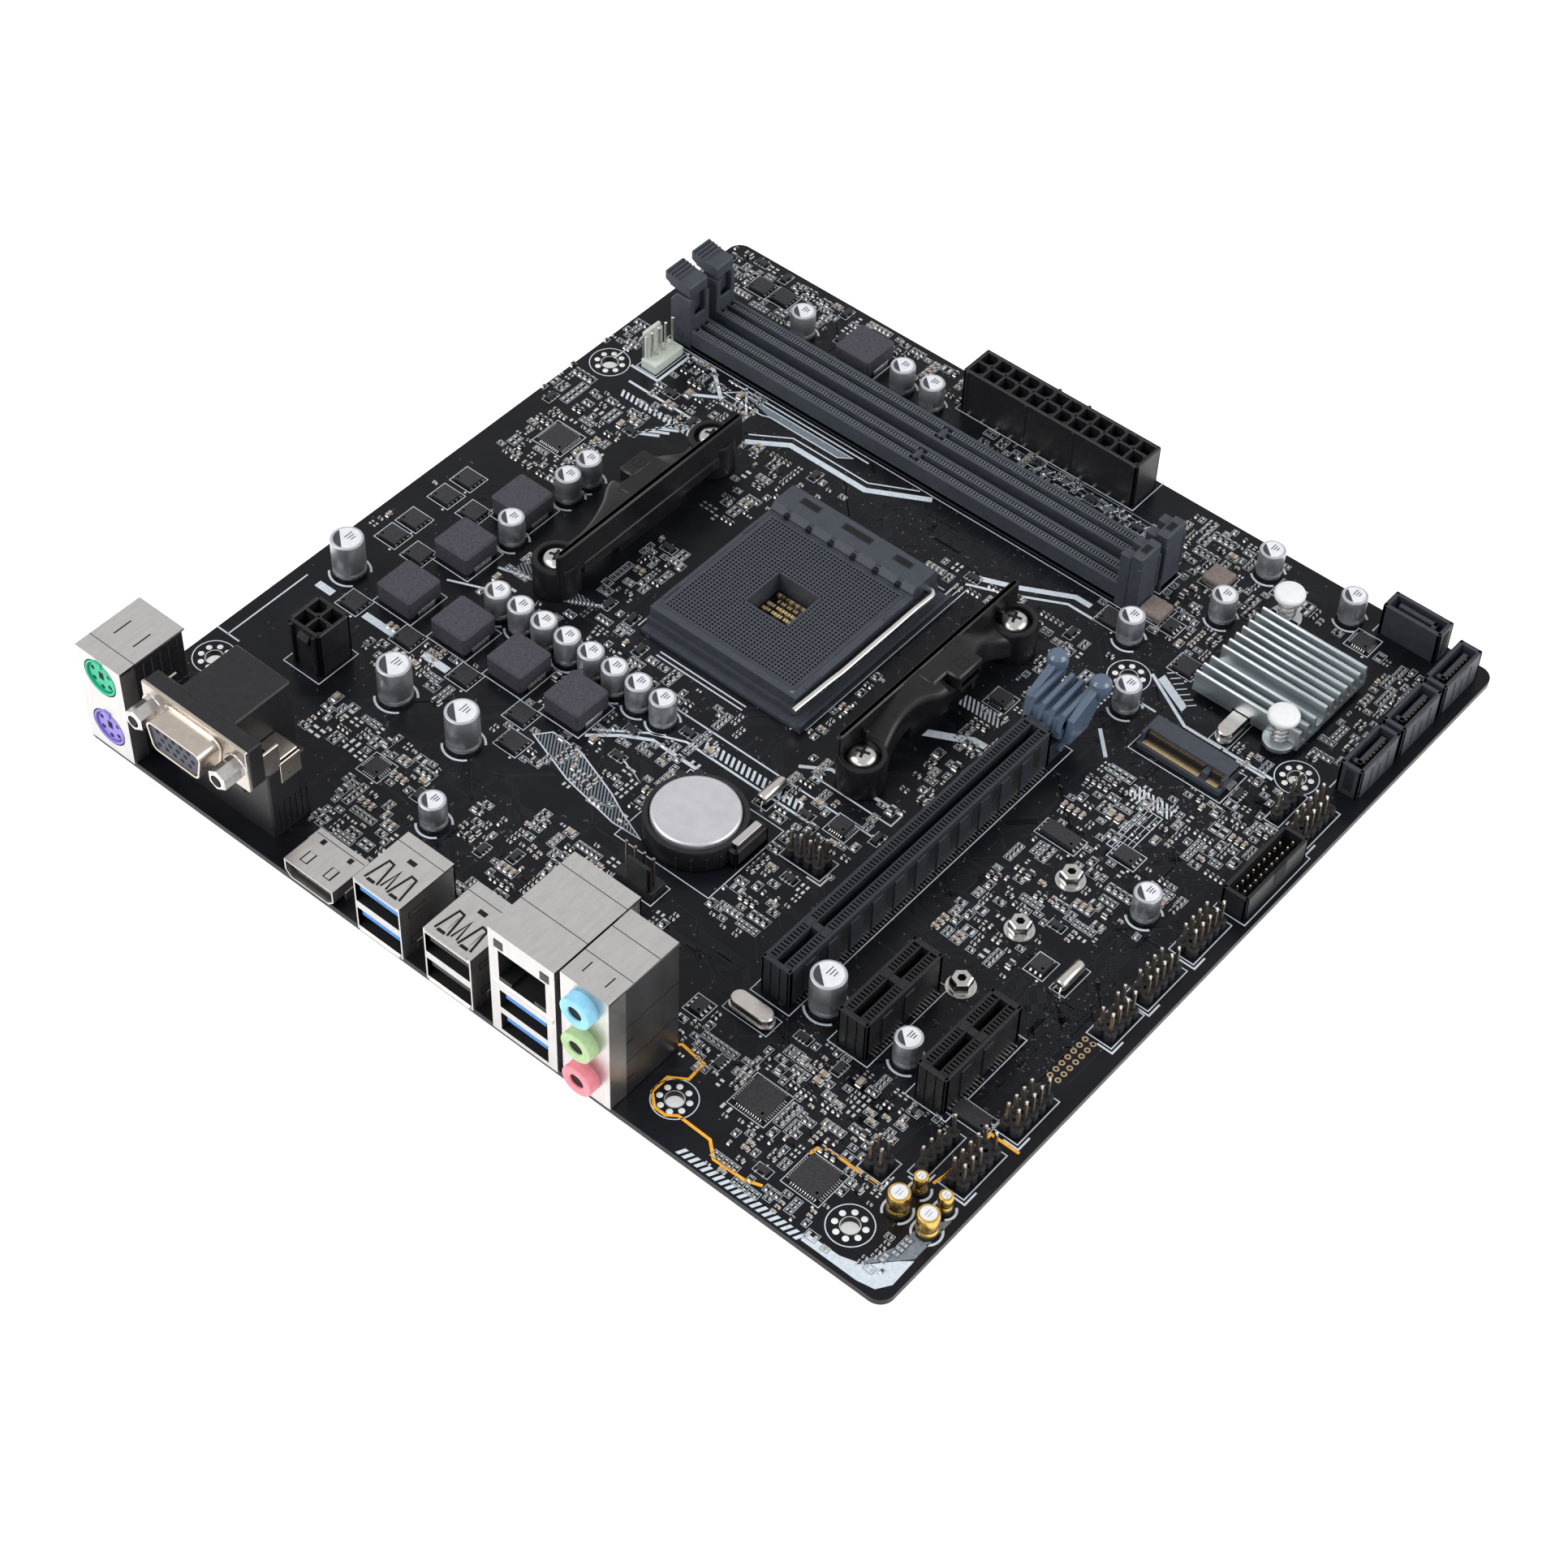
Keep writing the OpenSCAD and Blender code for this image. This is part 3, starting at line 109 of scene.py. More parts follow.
def material(name, colour, rough=0.5, metal=0.0, vary=0.12, scale=900, rough_vary=0.08,
             bump=0.0, bump_scale=6000, stretch=(1, 1, 1), transmission=0.0, specular=None):
    """Mottled colour, uneven roughness and a fine surface bump, from object-space noise."""
    m = bpy.data.materials.new(name)
    m.use_nodes = True
    nt = m.node_tree
    bsdf = nt.nodes["Principled BSDF"]
    coord = nt.nodes.new("ShaderNodeTexCoord")
    mapping = nt.nodes.new("ShaderNodeMapping")
    mapping.inputs["Scale"].default_value = stretch
    nt.links.new(coord.outputs["Object"], mapping.inputs["Vector"])

    def noise(s, detail=3.0):
        n = nt.nodes.new("ShaderNodeTexNoise")
        n.inputs["Scale"].default_value = s
        n.inputs["Detail"].default_value = detail
        nt.links.new(mapping.outputs["Vector"], n.inputs["Vector"])
        return n

    base = noise(scale)
    ramp = nt.nodes.new("ShaderNodeValToRGB")
    dark = [max(0.0, c * (1 - vary)) for c in colour]
    light = [min(1.0, c * (1 + vary)) for c in colour]
    ramp.color_ramp.elements[0].position = 0.32
    ramp.color_ramp.elements[1].position = 0.68
    ramp.color_ramp.elements[0].color = (*dark, 1)
    ramp.color_ramp.elements[1].color = (*light, 1)
    nt.links.new(base.outputs["Fac"], ramp.inputs["Fac"])
    nt.links.new(ramp.outputs["Color"], bsdf.inputs["Base Color"])
    uneven = noise(scale * 2.3, 2.0)
    spread = nt.nodes.new("ShaderNodeMapRange")
    spread.inputs["To Min"].default_value = max(0.03, rough - rough_vary)
    spread.inputs["To Max"].default_value = min(1.0, rough + rough_vary)
    nt.links.new(uneven.outputs["Fac"], spread.inputs["Value"])
    nt.links.new(spread.outputs["Result"], bsdf.inputs["Roughness"])
    bsdf.inputs["Metallic"].default_value = metal
    if bump:
        grain = noise(bump_scale, 2.0)
        b = nt.nodes.new("ShaderNodeBump")
        b.inputs["Strength"].default_value = bump
        b.inputs["Distance"].default_value = BUMP_DEPTH
        nt.links.new(grain.outputs["Fac"], b.inputs["Height"])
        nt.links.new(b.outputs["Normal"], bsdf.inputs["Normal"])
    if transmission:
        bsdf.inputs["Transmission Weight"].default_value = transmission
        bsdf.inputs["IOR"].default_value = CLEAR_PLASTIC_IOR
    if specular is not None or not metal:
        bsdf.inputs["Specular IOR Level"].default_value = PLASTIC_SPECULAR if specular is None else specular
    return m


MASK = material("solder_mask", (0.0045, 0.0048, 0.0072), 0.30, specular=0.16, vary=0.25,
                scale=140, bump=0.12, bump_scale=2600, rough_vary=0.06)
TRACE = material("covered_trace", (0.0095, 0.0100, 0.0135), 0.28, specular=0.2, vary=0.2,
                 scale=300, bump=0.1)
SILK = material("silkscreen", (0.44, 0.49, 0.54), 0.62, vary=0.10, scale=1500, bump=0.25)
SILK_GREY = material("silkscreen_grey", (0.13, 0.155, 0.18), 0.6, vary=0.18, scale=1500, bump=0.2)
ORANGE = material("audio_guard_line", (0.72, 0.33, 0.02), 0.5, vary=0.12, scale=1500, bump=0.2)
TIN = material("tinned_copper", (0.58, 0.57, 0.55), 0.26, 1.0, vary=0.12, scale=2200,
               rough_vary=0.12, bump=0.3)
SOLDER = material("solder", (0.62, 0.63, 0.64), 0.3, 1.0, vary=0.15, scale=1700, bump=0.35)
GOLD = material("gold_plate", (0.86, 0.66, 0.30), 0.3, 1.0, vary=0.12, scale=1800, bump=0.2)
BRONZE = material("contact_bronze", (0.50, 0.38, 0.22), 0.36, 1.0, vary=0.2, scale=2500, bump=0.2)
PIN = material("header_pin", (0.30, 0.25, 0.21), 0.34, 1.0, vary=0.25, scale=1400, bump=0.2)
# pale pin metal: painted glint on the header pin ends, and on the whole pins of the processor fan header
PIN_GLINT = material("header_pin_painted_glint", (0.85, 0.80, 0.72), 0.28, 1.0, vary=0.1, scale=2200)
NICKEL = material("nickel_sheet", (0.55, 0.535, 0.525), 0.33, 1.0, vary=0.05, scale=260,
                  rough_vary=0.07, bump=0.12, bump_scale=3600, stretch=(1, 3.5, 1))
NICKEL_WARM = material("warm_nickel", (0.53, 0.475, 0.42), 0.30, 1.0, vary=0.07, scale=500,
                       rough_vary=0.08, bump=0.12)
STEEL = material("bright_steel", (0.52, 0.51, 0.50), 0.22, 1.0, vary=0.08, scale=900,
                 rough_vary=0.08, bump=0.15, bump_scale=5000)
DULL = material("dull_sheet", (0.17, 0.17, 0.175), 0.36, 1.0, vary=0.2, scale=120, stretch=(1, 1, 0.3))
WIRE = material("lever_wire", (0.66, 0.65, 0.63), 0.24, 1.0, vary=0.03, scale=300, rough_vary=0.03)
PLATE = material("backplate_steel", (0.30, 0.31, 0.33), 0.42, 1.0, vary=0.1, scale=300, bump=0.3)
ALU = material("anodised_fins", (0.42, 0.46, 0.48), 0.40, 1.0, vary=0.08, scale=420,
               rough_vary=0.07, bump=0.35, bump_scale=5200, stretch=(4, 0.35, 4))
CAN = material("capacitor_can", (0.47, 0.48, 0.51), 0.38, 0.9, vary=0.06, scale=500,
               rough_vary=0.05, bump=0.1)
CAN_TOP = material("capacitor_top", (0.56, 0.57, 0.60), 0.55, 0.0, vary=0.05, scale=900, bump=0.3)
CAN_MARK = material("capacitor_mark", (0.035, 0.035, 0.045), 0.5, vary=0.15, scale=1800, bump=0.3)
CAN_GOLD = material("gold_sleeve", (0.62, 0.40, 0.10), 0.28, 1.0, vary=0.14, scale=700, bump=0.15)
CHOKE = material("moulded_ferrite", (0.040, 0.038, 0.050), 0.62, vary=0.22, scale=1300,
                 bump=0.9, bump_scale=9000, rough_vary=0.1)
EPOXY = material("moulded_epoxy", (0.020, 0.020, 0.024), 0.52, vary=0.25, scale=1600, bump=0.6,
                 bump_scale=9000)
SLATE = material("slate_plastic", (0.034, 0.040, 0.052), 0.50, vary=0.10, scale=500, bump=0.45,
                 bump_scale=7000)
# darker slate: the real colour of the long slot's body and of the chips' first-pin dimples, and painted shade
# in the memory slots' pockets, the tower gap and hole rim, and round the cam box slots
SLATE_DARK_AND_SHADE = material("dark_slate_plastic_and_painted_shade", (0.017, 0.019, 0.025), 0.5, vary=0.15, scale=500,
                      bump=0.4, bump_scale=7000)
SLATE_MID = material("port_slate", (0.024, 0.028, 0.036), 0.48, vary=0.12, scale=500, bump=0.4,
                     bump_scale=7000)
SLATE_TOP = material("comb_tips", (0.085, 0.098, 0.115), 0.5, vary=0.2, scale=900)
HOLE = material("shadowed_cavity", (0.0035, 0.0035, 0.0045), 0.8, vary=0.3, scale=2000)
BLACK = material("black_plastic", (0.0095, 0.0095, 0.011), 0.42, vary=0.2, scale=600, bump=0.4,
                 bump_scale=6500)
BRACKET = material("bracket_nylon", (0.0062, 0.0062, 0.0072), 0.33, specular=0.28, vary=0.2,
                   scale=350, bump=0.5, bump_scale=5200, rough_vary=0.07)
PALE = material("pale_nylon", (0.44, 0.48, 0.44), 0.48, vary=0.06, scale=700, bump=0.3)
WHITE = material("white_nylon", (0.58, 0.59, 0.60), 0.42, vary=0.04, scale=700, bump=0.25)
CLIP = material("clear_blue_plastic", (0.115, 0.165, 0.24), 0.2, vary=0.06, scale=220,
                transmission=0.45, rough_vary=0.04, specular=0.5)
CELL = material("cell_steel", (0.56, 0.56, 0.60), 0.42, 0.85, vary=0.05, scale=380,
                rough_vary=0.08, bump=0.25, bump_scale=3200)
TAN = material("ceramic_tan", (0.27, 0.215, 0.16), 0.5, vary=0.2, scale=2200, bump=0.3)
RESIST = material("resistor_black", (0.018, 0.018, 0.022), 0.4, vary=0.2, scale=2200, bump=0.3)
DRAB = material("inductor_grey", (0.17, 0.14, 0.125), 0.6, vary=0.18, scale=1500, bump=0.6)
CRYSTAL = material("crystal_can", (0.56, 0.53, 0.50), 0.22, 1.0, vary=0.05, scale=600, bump=0.1)
GREEN = material("socket_green", (0.010, 0.36, 0.20), 0.42, vary=0.1, scale=700, bump=0.3)
PURPLE = material("socket_purple", (0.20, 0.155, 0.50), 0.42, vary=0.1, scale=700, bump=0.3)
BLUE = material("usb_blue", (0.020, 0.165, 0.47), 0.42, vary=0.1, scale=900, bump=0.3)
VGA_BLOCK = material("contact_block", (0.022, 0.026, 0.045), 0.45, vary=0.15, scale=900, bump=0.3)
JACK_BLUE = material("jack_blue", (0.22, 0.50, 0.68), 0.38, vary=0.08, scale=700, bump=0.3)
JACK_GREEN = material("jack_green", (0.33, 0.47, 0.24), 0.38, vary=0.08, scale=700, bump=0.3)
JACK_PINK = material("jack_pink", (0.66, 0.20, 0.24), 0.38, vary=0.08, scale=700, bump=0.3)
PACKAGE = material("package_substrate", (0.02, 0.05, 0.025), 0.45, vary=0.2, scale=900, bump=0.3)


# ---------------------------------------------------------------- mesh building
def around(mid, width):
    """The two ends of a stretch with this middle."""
    return (mid - width / 2, mid + width / 2)


def middle(lo, hi):
    """Plan centre of a box given by two corners."""
    return (lo[0] + hi[0]) / 2, (lo[1] + hi[1]) / 2


def bands(rows, n):
    """Quads that join rows of n points each, every row closed on itself."""
    fs = []
    for i in range(rows):
        for k in range(n):
            j = (k + 1) % n
            fs.append((i * n + k, i * n + j, (i + 1) * n + j, (i + 1) * n + k))
    return fs


def caps(rows, n):
    """The two faces that close the first and the last of rows + 1 rows."""
    return [tuple(range(n - 1, -1, -1)), tuple(range(rows * n, (rows + 1) * n))]


class Shape:
    """One visible piece, built in board coordinates. mats are indices into done's materials."""

    def __init__(self):
        self.v, self.f, self.m = [], [], []

    def add(self, verts, faces, mats):
        n = len(self.v)
        self.v.extend(verts)
        for i, face in enumerate(faces):
            self.f.append([n + k for k in face])
            self.m.append(mats if isinstance(mats, int) else mats[i])

    def quad(self, x, y, z, mat=0):
        self.add([(x[0], y[0], z), (x[1], y[0], z), (x[1], y[1], z), (x[0], y[1], z)],
                 [(0, 1, 2, 3)], mat)

    def box(self, x, y, z, mat=0, c=0.0):
        """A block; c chamfers its upright and upper edges."""
        if c <= 0:
            vs = [(a, b, d) for d in z for a, b in
                  ((x[0], y[0]), (x[1], y[0]), (x[1], y[1]), (x[0], y[1]))]
            fs = [(3, 2, 1, 0), (4, 5, 6, 7), (0, 1, 5, 4), (1, 2, 6, 5), (2, 3, 7, 6), (3, 0, 4, 7)]
            self.add(vs, fs, mat)
            return
        c = min(c, (x[1] - x[0]) / 2.2, (y[1] - y[0]) / 2.2, (z[1] - z[0]) / 1.2)

        def ring(i, zz):
            a, b, d, e = x[0] + i, x[1] - i, y[0] + i, y[1] - i
            return [(a + c, d, zz), (b - c, d, zz), (b, d + c, zz), (b, e - c, zz),
                    (b - c, e, zz), (a + c, e, zz), (a, e - c, zz), (a, d + c, zz)]

        vs = ring(0, z[0]) + ring(0, z[1] - c) + ring(c * 0.8, z[1])
        fs = [tuple(range(7, -1, -1)), tuple(range(16, 24))]
        for lev in (0, 8):
            for i in range(8):
                j = (i + 1) % 8
                fs.append((lev + i, lev + j, lev + 8 + j, lev + 8 + i))
        self.add(vs, fs, mat)

    def block(self, x, y, w, d, z, mat=0, c=0.0):
        """A box given by the middle of its plan and its two plan sizes."""
        self.box(around(x, w), around(y, d), z, mat, c)

    def outline(self, lo, hi, w, z, mx, my=None):
        """A printed rectangle round a box, mx and my away from it."""
        my = mx if my is None else my
        a, b, c, d = lo[0] - mx, hi[0] + mx, lo[1] - my, hi[1] + my
        self.line([(a, c), (b, c), (b, d), (a, d)], w, z, closed=True)

    def prism(self, axis, pts, a, b, mat=0, c=0.0):
        """A closed outline extruded along an axis. Points are the other two coordinates."""
        area = sum(p[0] * q[1] - q[0] * p[1] for p, q in zip(pts, pts[1:] + pts[:1]))
        if area < 0:
            pts = pts[::-1]
        n = len(pts)
        centre = (sum(p[0] for p in pts) / n, sum(p[1] for p in pts) / n)

        def place(p, h):
            return {"x": (h, p[0], p[1]), "y": (p[0], h, p[1]), "z": (p[0], p[1], h)}[axis]

        def shrunk(k):
            out = []
            for p in pts:
                dx, dy = p[0] - centre[0], p[1] - centre[1]
                r = math.hypot(dx, dy) or 1
                out.append((p[0] - dx / r * k, p[1] - dy / r * k))
            return out

        levels = [(pts, a), (pts, b)] if c <= 0 else [(shrunk(c), a), (pts, a + c), (pts, b - c),
                                                     (shrunk(c), b)]
        vs = [place(p, h) for pp, h in levels for p in pp]
        fs = bands(len(levels) - 1, n) + caps(len(levels) - 1, n)
        if axis == "y":
            fs = [f[::-1] for f in fs]
        self.add(vs, fs, mat)

    def lathe(self, centre, profile, n=24, axis="z", mat=0, start=0.0, ends=True):
        """Turned shape: profile is (radius, height) along the axis; ends closes its two rims."""
        rows = len(profile) - 1
        vs = []
        for r, h in profile:
            for k in range(n):
                t = start + 2 * math.pi * k / n
                u, w = r * math.cos(t), r * math.sin(t)
                vs.append({"z": (centre[0] + u, centre[1] + w, h),
                           "x": (h, centre[0] + u, centre[1] + w),
                           "y": (centre[0] + w, h, centre[1] + u)}[axis])
        fs = bands(rows, n)
        if ends:
            fs += caps(rows, n)
        self.add(vs, fs, mat)

    def tube(self, pts, r, n=12, mat=0):
        """A round rod along a list of points."""
        pts = [Vector(p) for p in pts]
        vs = []
        up = Vector((0, 0, 1))
        for i, p in enumerate(pts):
            d = (pts[min(i + 1, len(pts) - 1)] - pts[max(i - 1, 0)]).normalized()
            side = d.cross(up)
            side = side.normalized() if side.length > 1e-3 else Vector((1, 0, 0))
            over = side.cross(d)
            for k in range(n):
                t = 2 * math.pi * k / n
                vs.append(tuple(p + (side * math.cos(t) + over * math.sin(t)) * r))
        fs = bands(len(pts) - 1, n) + caps(len(pts) - 1, n)
        self.add(vs, [f[::-1] for f in fs], mat)

    def line(self, pts, w, z, mat=0, closed=False):
        """A flat stroke with mitred corners."""
        pts = [Vector((p[0], p[1])) for p in pts]
        n = len(pts)
        left, right = [], []
        for i, p in enumerate(pts):
            a = pts[(i - 1) % n] if (closed or i > 0) else None
            b = pts[(i + 1) % n] if (closed or i < n - 1) else None
            d1 = (p - a).normalized() if a is not None else (b - p).normalized()
            d2 = (b - p).normalized() if b is not None else d1
            nrm = Vector((-(d1.y + d2.y), d1.x + d2.x))
            nrm = nrm.normalized() if nrm.length > 1e-6 else Vector((-d1.y, d1.x))
            k = w / 2 / max(0.4, nrm.dot(Vector((-d1.y, d1.x))))
            left.append(p + nrm * k)
            right.append(p - nrm * k)
        last = n if closed else n - 1
        vs = [(q.x, q.y, z) for q in left] + [(q.x, q.y, z) for q in right]
        self.add(vs, [(n + i, n + (i + 1) % n, (i + 1) % n, i) for i in range(last)], mat)

    def poly(self, pts, z, mat=0):
        area = sum(p[0] * q[1] - q[0] * p[1] for p, q in zip(pts, pts[1:] + pts[:1]))
        if area < 0:
            pts = pts[::-1]
        self.add([(p[0], p[1], z) for p in pts], [tuple(range(len(pts)))], mat)

    def ring(self, x, y, r0, r1, z, mat=0, a0=0.0, a1=360.0, n=32):
        vs, fs = [], []
        for i in range(n + 1):
            t = math.radians(a0 + (a1 - a0) * i / n)
            for r in (r0, r1):
                vs.append((x + r * math.cos(t), y + r * math.sin(t), z))
        for i in range(n):
            fs.append((2 * i, 2 * i + 1, 2 * i + 3, 2 * i + 2))
        self.add(vs, fs, mat)

    def hatch(self, pts, angle, pitch, w, z, mat=0):
        """Fills an outline with parallel stripes."""
        c, s = math.cos(math.radians(angle)), math.sin(math.radians(angle))
        rot = [(p[0] * c + p[1] * s, -p[0] * s + p[1] * c) for p in pts]
        lo, hi = min(p[1] for p in rot), max(p[1] for p in rot)
        y = math.floor(lo / pitch) * pitch
        while y < hi:
            rows = []
            for yy in (y, y + w):
                xs = []
                for p, q in zip(rot, rot[1:] + rot[:1]):
                    if (p[1] > yy) != (q[1] > yy):
                        xs.append(p[0] + (yy - p[1]) * (q[0] - p[0]) / (q[1] - p[1]))
                rows.append(sorted(xs))
            if len(rows[0]) == len(rows[1]):
                for k in range(0, len(rows[0]) - 1, 2):
                    q = [(rows[0][k], y), (rows[0][k + 1], y), (rows[1][k + 1], y + w),
                         (rows[1][k], y + w)]
                    self.add([(a * c - b * s, a * s + b * c, z) for a, b in q], [(0, 1, 2, 3)], mat)
            y += pitch

    def done(self, name, mats, slot=None, replaces=(), body="board", smooth=32):
        me = bpy.data.meshes.new(name)
        me.from_pydata([to_row(p) for p in self.v], [], self.f)
        for m in mats:
            me.materials.append(m)
        me.polygons.foreach_set("material_index", self.m)
        me.polygons.foreach_set("use_smooth", [True] * len(self.f))
        me.validate()
        me.set_sharp_from_angle(angle=math.radians(smooth))
        me.update()
        ob = bpy.data.objects.new(name, me)
        bpy.context.scene.collection.objects.link(ob)
        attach(ob, body)
        if replaces:
            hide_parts(*replaces)
        return ob




def paint(node, *mats):
    """Gives a carried-over CAD node its procedural material."""
    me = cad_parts[node].data
    me.materials.clear()
    for m in mats:
        me.materials.append(m)


# ---------------------------------------------------------------- processor socket
GRID_N, GRID_PX, GRID_PY = 39, 0.966, 0.975


def socket_cover():
    """Perforated cover with its window and the cam box along one side."""
    s = Shape()
    lo, hi = node_box("cpu_socket_cover")
    top = 5.8
    wx, wy = around(SOCKET_X, 12.6), around(SOCKET_Y, 12.7)
    gx0 = wx[0] - 13 * GRID_PX
    gy0 = wy[0] - 13 * GRID_PY
    gx1, gy1 = gx0 + GRID_N * GRID_PX, gy0 + GRID_N * GRID_PY
    px, py = (wx[1] - wx[0]) / 13, (wy[1] - wy[0]) / 13
    # frame round the grid
    plate_x = (lo[0], 147.6)
    for x, y in (((plate_x[0], gx0), (lo[1], hi[1])), ((gx1, plate_x[1]), (lo[1], hi[1])),
                 ((gx0, gx1), (lo[1], gy0)), ((gx0, gx1), (gy1, hi[1]))):
        s.box(x, y, (3.1, top), 0, c=0.12)
    # raised rim and end stops
    s.line([(gx0 - 0.7, gy0 - 0.9), (gx1 + 0.7, gy0 - 0.9), (gx1 + 0.7, gy1 + 0.9),
            (gx0 - 0.7, gy1 + 0.9)], 0.22, top + 0.02, 1, closed=True)
    for x, w in ((112, 5), (140, 5)):
        for y in (lo[1] + 0.55, hi[1] - 0.55):
            s.block(x, y, w, 0.8, (top - 0.1, top + 0.32), 0, c=0.12)
    s.block(126.4, lo[1] + 0.3, 7, 0.7, (3.6, top + 0.05), 0, c=0.1)
    # cells: a square tile with an eight-sided hole each
    hole_r = 0.30
    for i in range(GRID_N):
        for j in range(GRID_N):
            if 13 <= i < 26 and 13 <= j < 26:
                continue
            sx = px if 13 <= i < 26 else GRID_PX
            sy = py if 13 <= j < 26 else GRID_PY
            cx = gx0 + (i + 0.5) * GRID_PX if i < 13 else (
                wx[0] + (i - 12.5) * px if i < 26 else wx[1] + (i - 25.5) * GRID_PX)
            cy = gy0 + (j + 0.5) * GRID_PY if j < 13 else (
                wy[0] + (j - 12.5) * py if j < 26 else wy[1] + (j - 25.5) * GRID_PY)
            outer = [(cx + a * sx / 2, cy + b * sy / 2) for a, b in
                     ((1, 0), (1, 1), (0, 1), (-1, 1), (-1, 0), (-1, -1), (0, -1), (1, -1))]
            inner = [(cx + hole_r * math.cos(k * math.pi / 4),
                      cy + hole_r * math.sin(k * math.pi / 4)) for k in range(8)]
            vs = [(a, b, top) for a, b in outer] + [(a, b, top - 0.04) for a, b in inner]
            vs += [(a, b, top - 0.9) for a, b in inner]
            fs = [(k, (k + 1) % 8, 8 + (k + 1) % 8, 8 + k) for k in range(8)]
            fs += [(8 + k, 8 + (k + 1) % 8, 16 + (k + 1) % 8, 16 + k) for k in range(8)]
            fs.append(tuple(range(16, 24)))
            s.add(vs, fs, [0] * 8 + [2] * 9)
    # wall of the middle opening
    for x, y in (((wx[0], wx[0] + 0.35), wy), ((wx[1] - 0.35, wx[1]), wy),
                 (wx, (wy[0], wy[0] + 0.35)), (wx, (wy[1] - 0.35, wy[1]))):
        s.box(x, y, (3.1, top + 0.02), 0)
    # first-pin mark
    s.poly([(gx0 - 1.9, gy0 - 1.2), (gx0 - 0.9, gy0 - 1.2), (gx0 - 1.9, gy0 - 0.2)], top + 0.03, 3)
    # cam box
    x0, x1 = 147.4, hi[0]
    y0, y1 = lo[1] + 0.4, hi[1]
    s.prism("y", [(x0, 3.1), (x1, 3.1), (x1, 6.7), (x1 - 0.9, 7.6), (x0 + 1.6, 7.6),
                  (x0 + 0.2, 6.2)], y0, y1, 0, c=0.25)
    for k in range(6):
        y = y0 + 4.6 + 6.6 * k
        s.block(x0 + 0.7, y, 1.9, 1.1, (5.75, 7.05), 2)
        s.block(x0 + 1.5, y, 0.4, 1.5, (6.9, 7.72), 0, c=0.1)
    for y, w in ((y0 + 7.5, 4.6), (y0 + 21, 8), (y0 + 35, 5)):
        s.block(x1 - 3.4, y, 1.7, w, (7.0, 7.64), 2)
        # darker slate rim round each slot: painted shade at the slot edge
        s.block(x1 - 3.4, y, 2.3, w + 0.8, (7.0, 7.615), 1)
    for k in range(3):
        s.block(x1 - 0.1, y0 + 6 + 15 * k, 0.5, 3.2, (3.4, 5.4), 0, c=0.15)
    s.done("Socket_Cover", [SLATE, SLATE_DARK_AND_SHADE, HOLE, SILK_GREY], "socket_plastic",
           ["cpu_socket_cover"], body="socket_cover")


def socket_lever():
    """Bent wire with two collars on its turning axis."""
    s = Shape()
    axis_x, axis_z, y = 152.8, 4.4, -111.1
    r = 0.86
    bend = [(axis_x, -68.6, axis_z), (axis_x, -90, axis_z), (axis_x, y + 2.2, axis_z)]
    for k in range(1, 7):
        t = k * math.pi / 12
        bend.append((axis_x - 1.6 + 1.6 * math.cos(t), y + 1.6 - 1.6 * math.sin(t), axis_z + 0.02 * k))
    bend += [(146.7, y + 0.05, 4.75), (137, y - 0.1, 4.95), (128, y - 0.15, 5.1), (119.1, y - 0.2, 5.2),
             (114.3, y + 0.1, 5.2), (108, y + 0.3, 5.2), (104.4, y + 0.45, 5.2), (103, y + 0.5, 5.1)]
    s.tube(bend, r, 14, 0)
    for yy in (-97.1, -77.1):
        s.lathe((axis_x, axis_z), [(1.0, yy - 2.5), (1.1, yy - 2.3), (1.1, yy + 2.3),
                                   (1.0, yy + 2.5)], 20, "y", 0)
    s.done("Socket_Lever", [WIRE], "steel", ["cpu_socket_lever"], body="socket_lever", smooth=50)


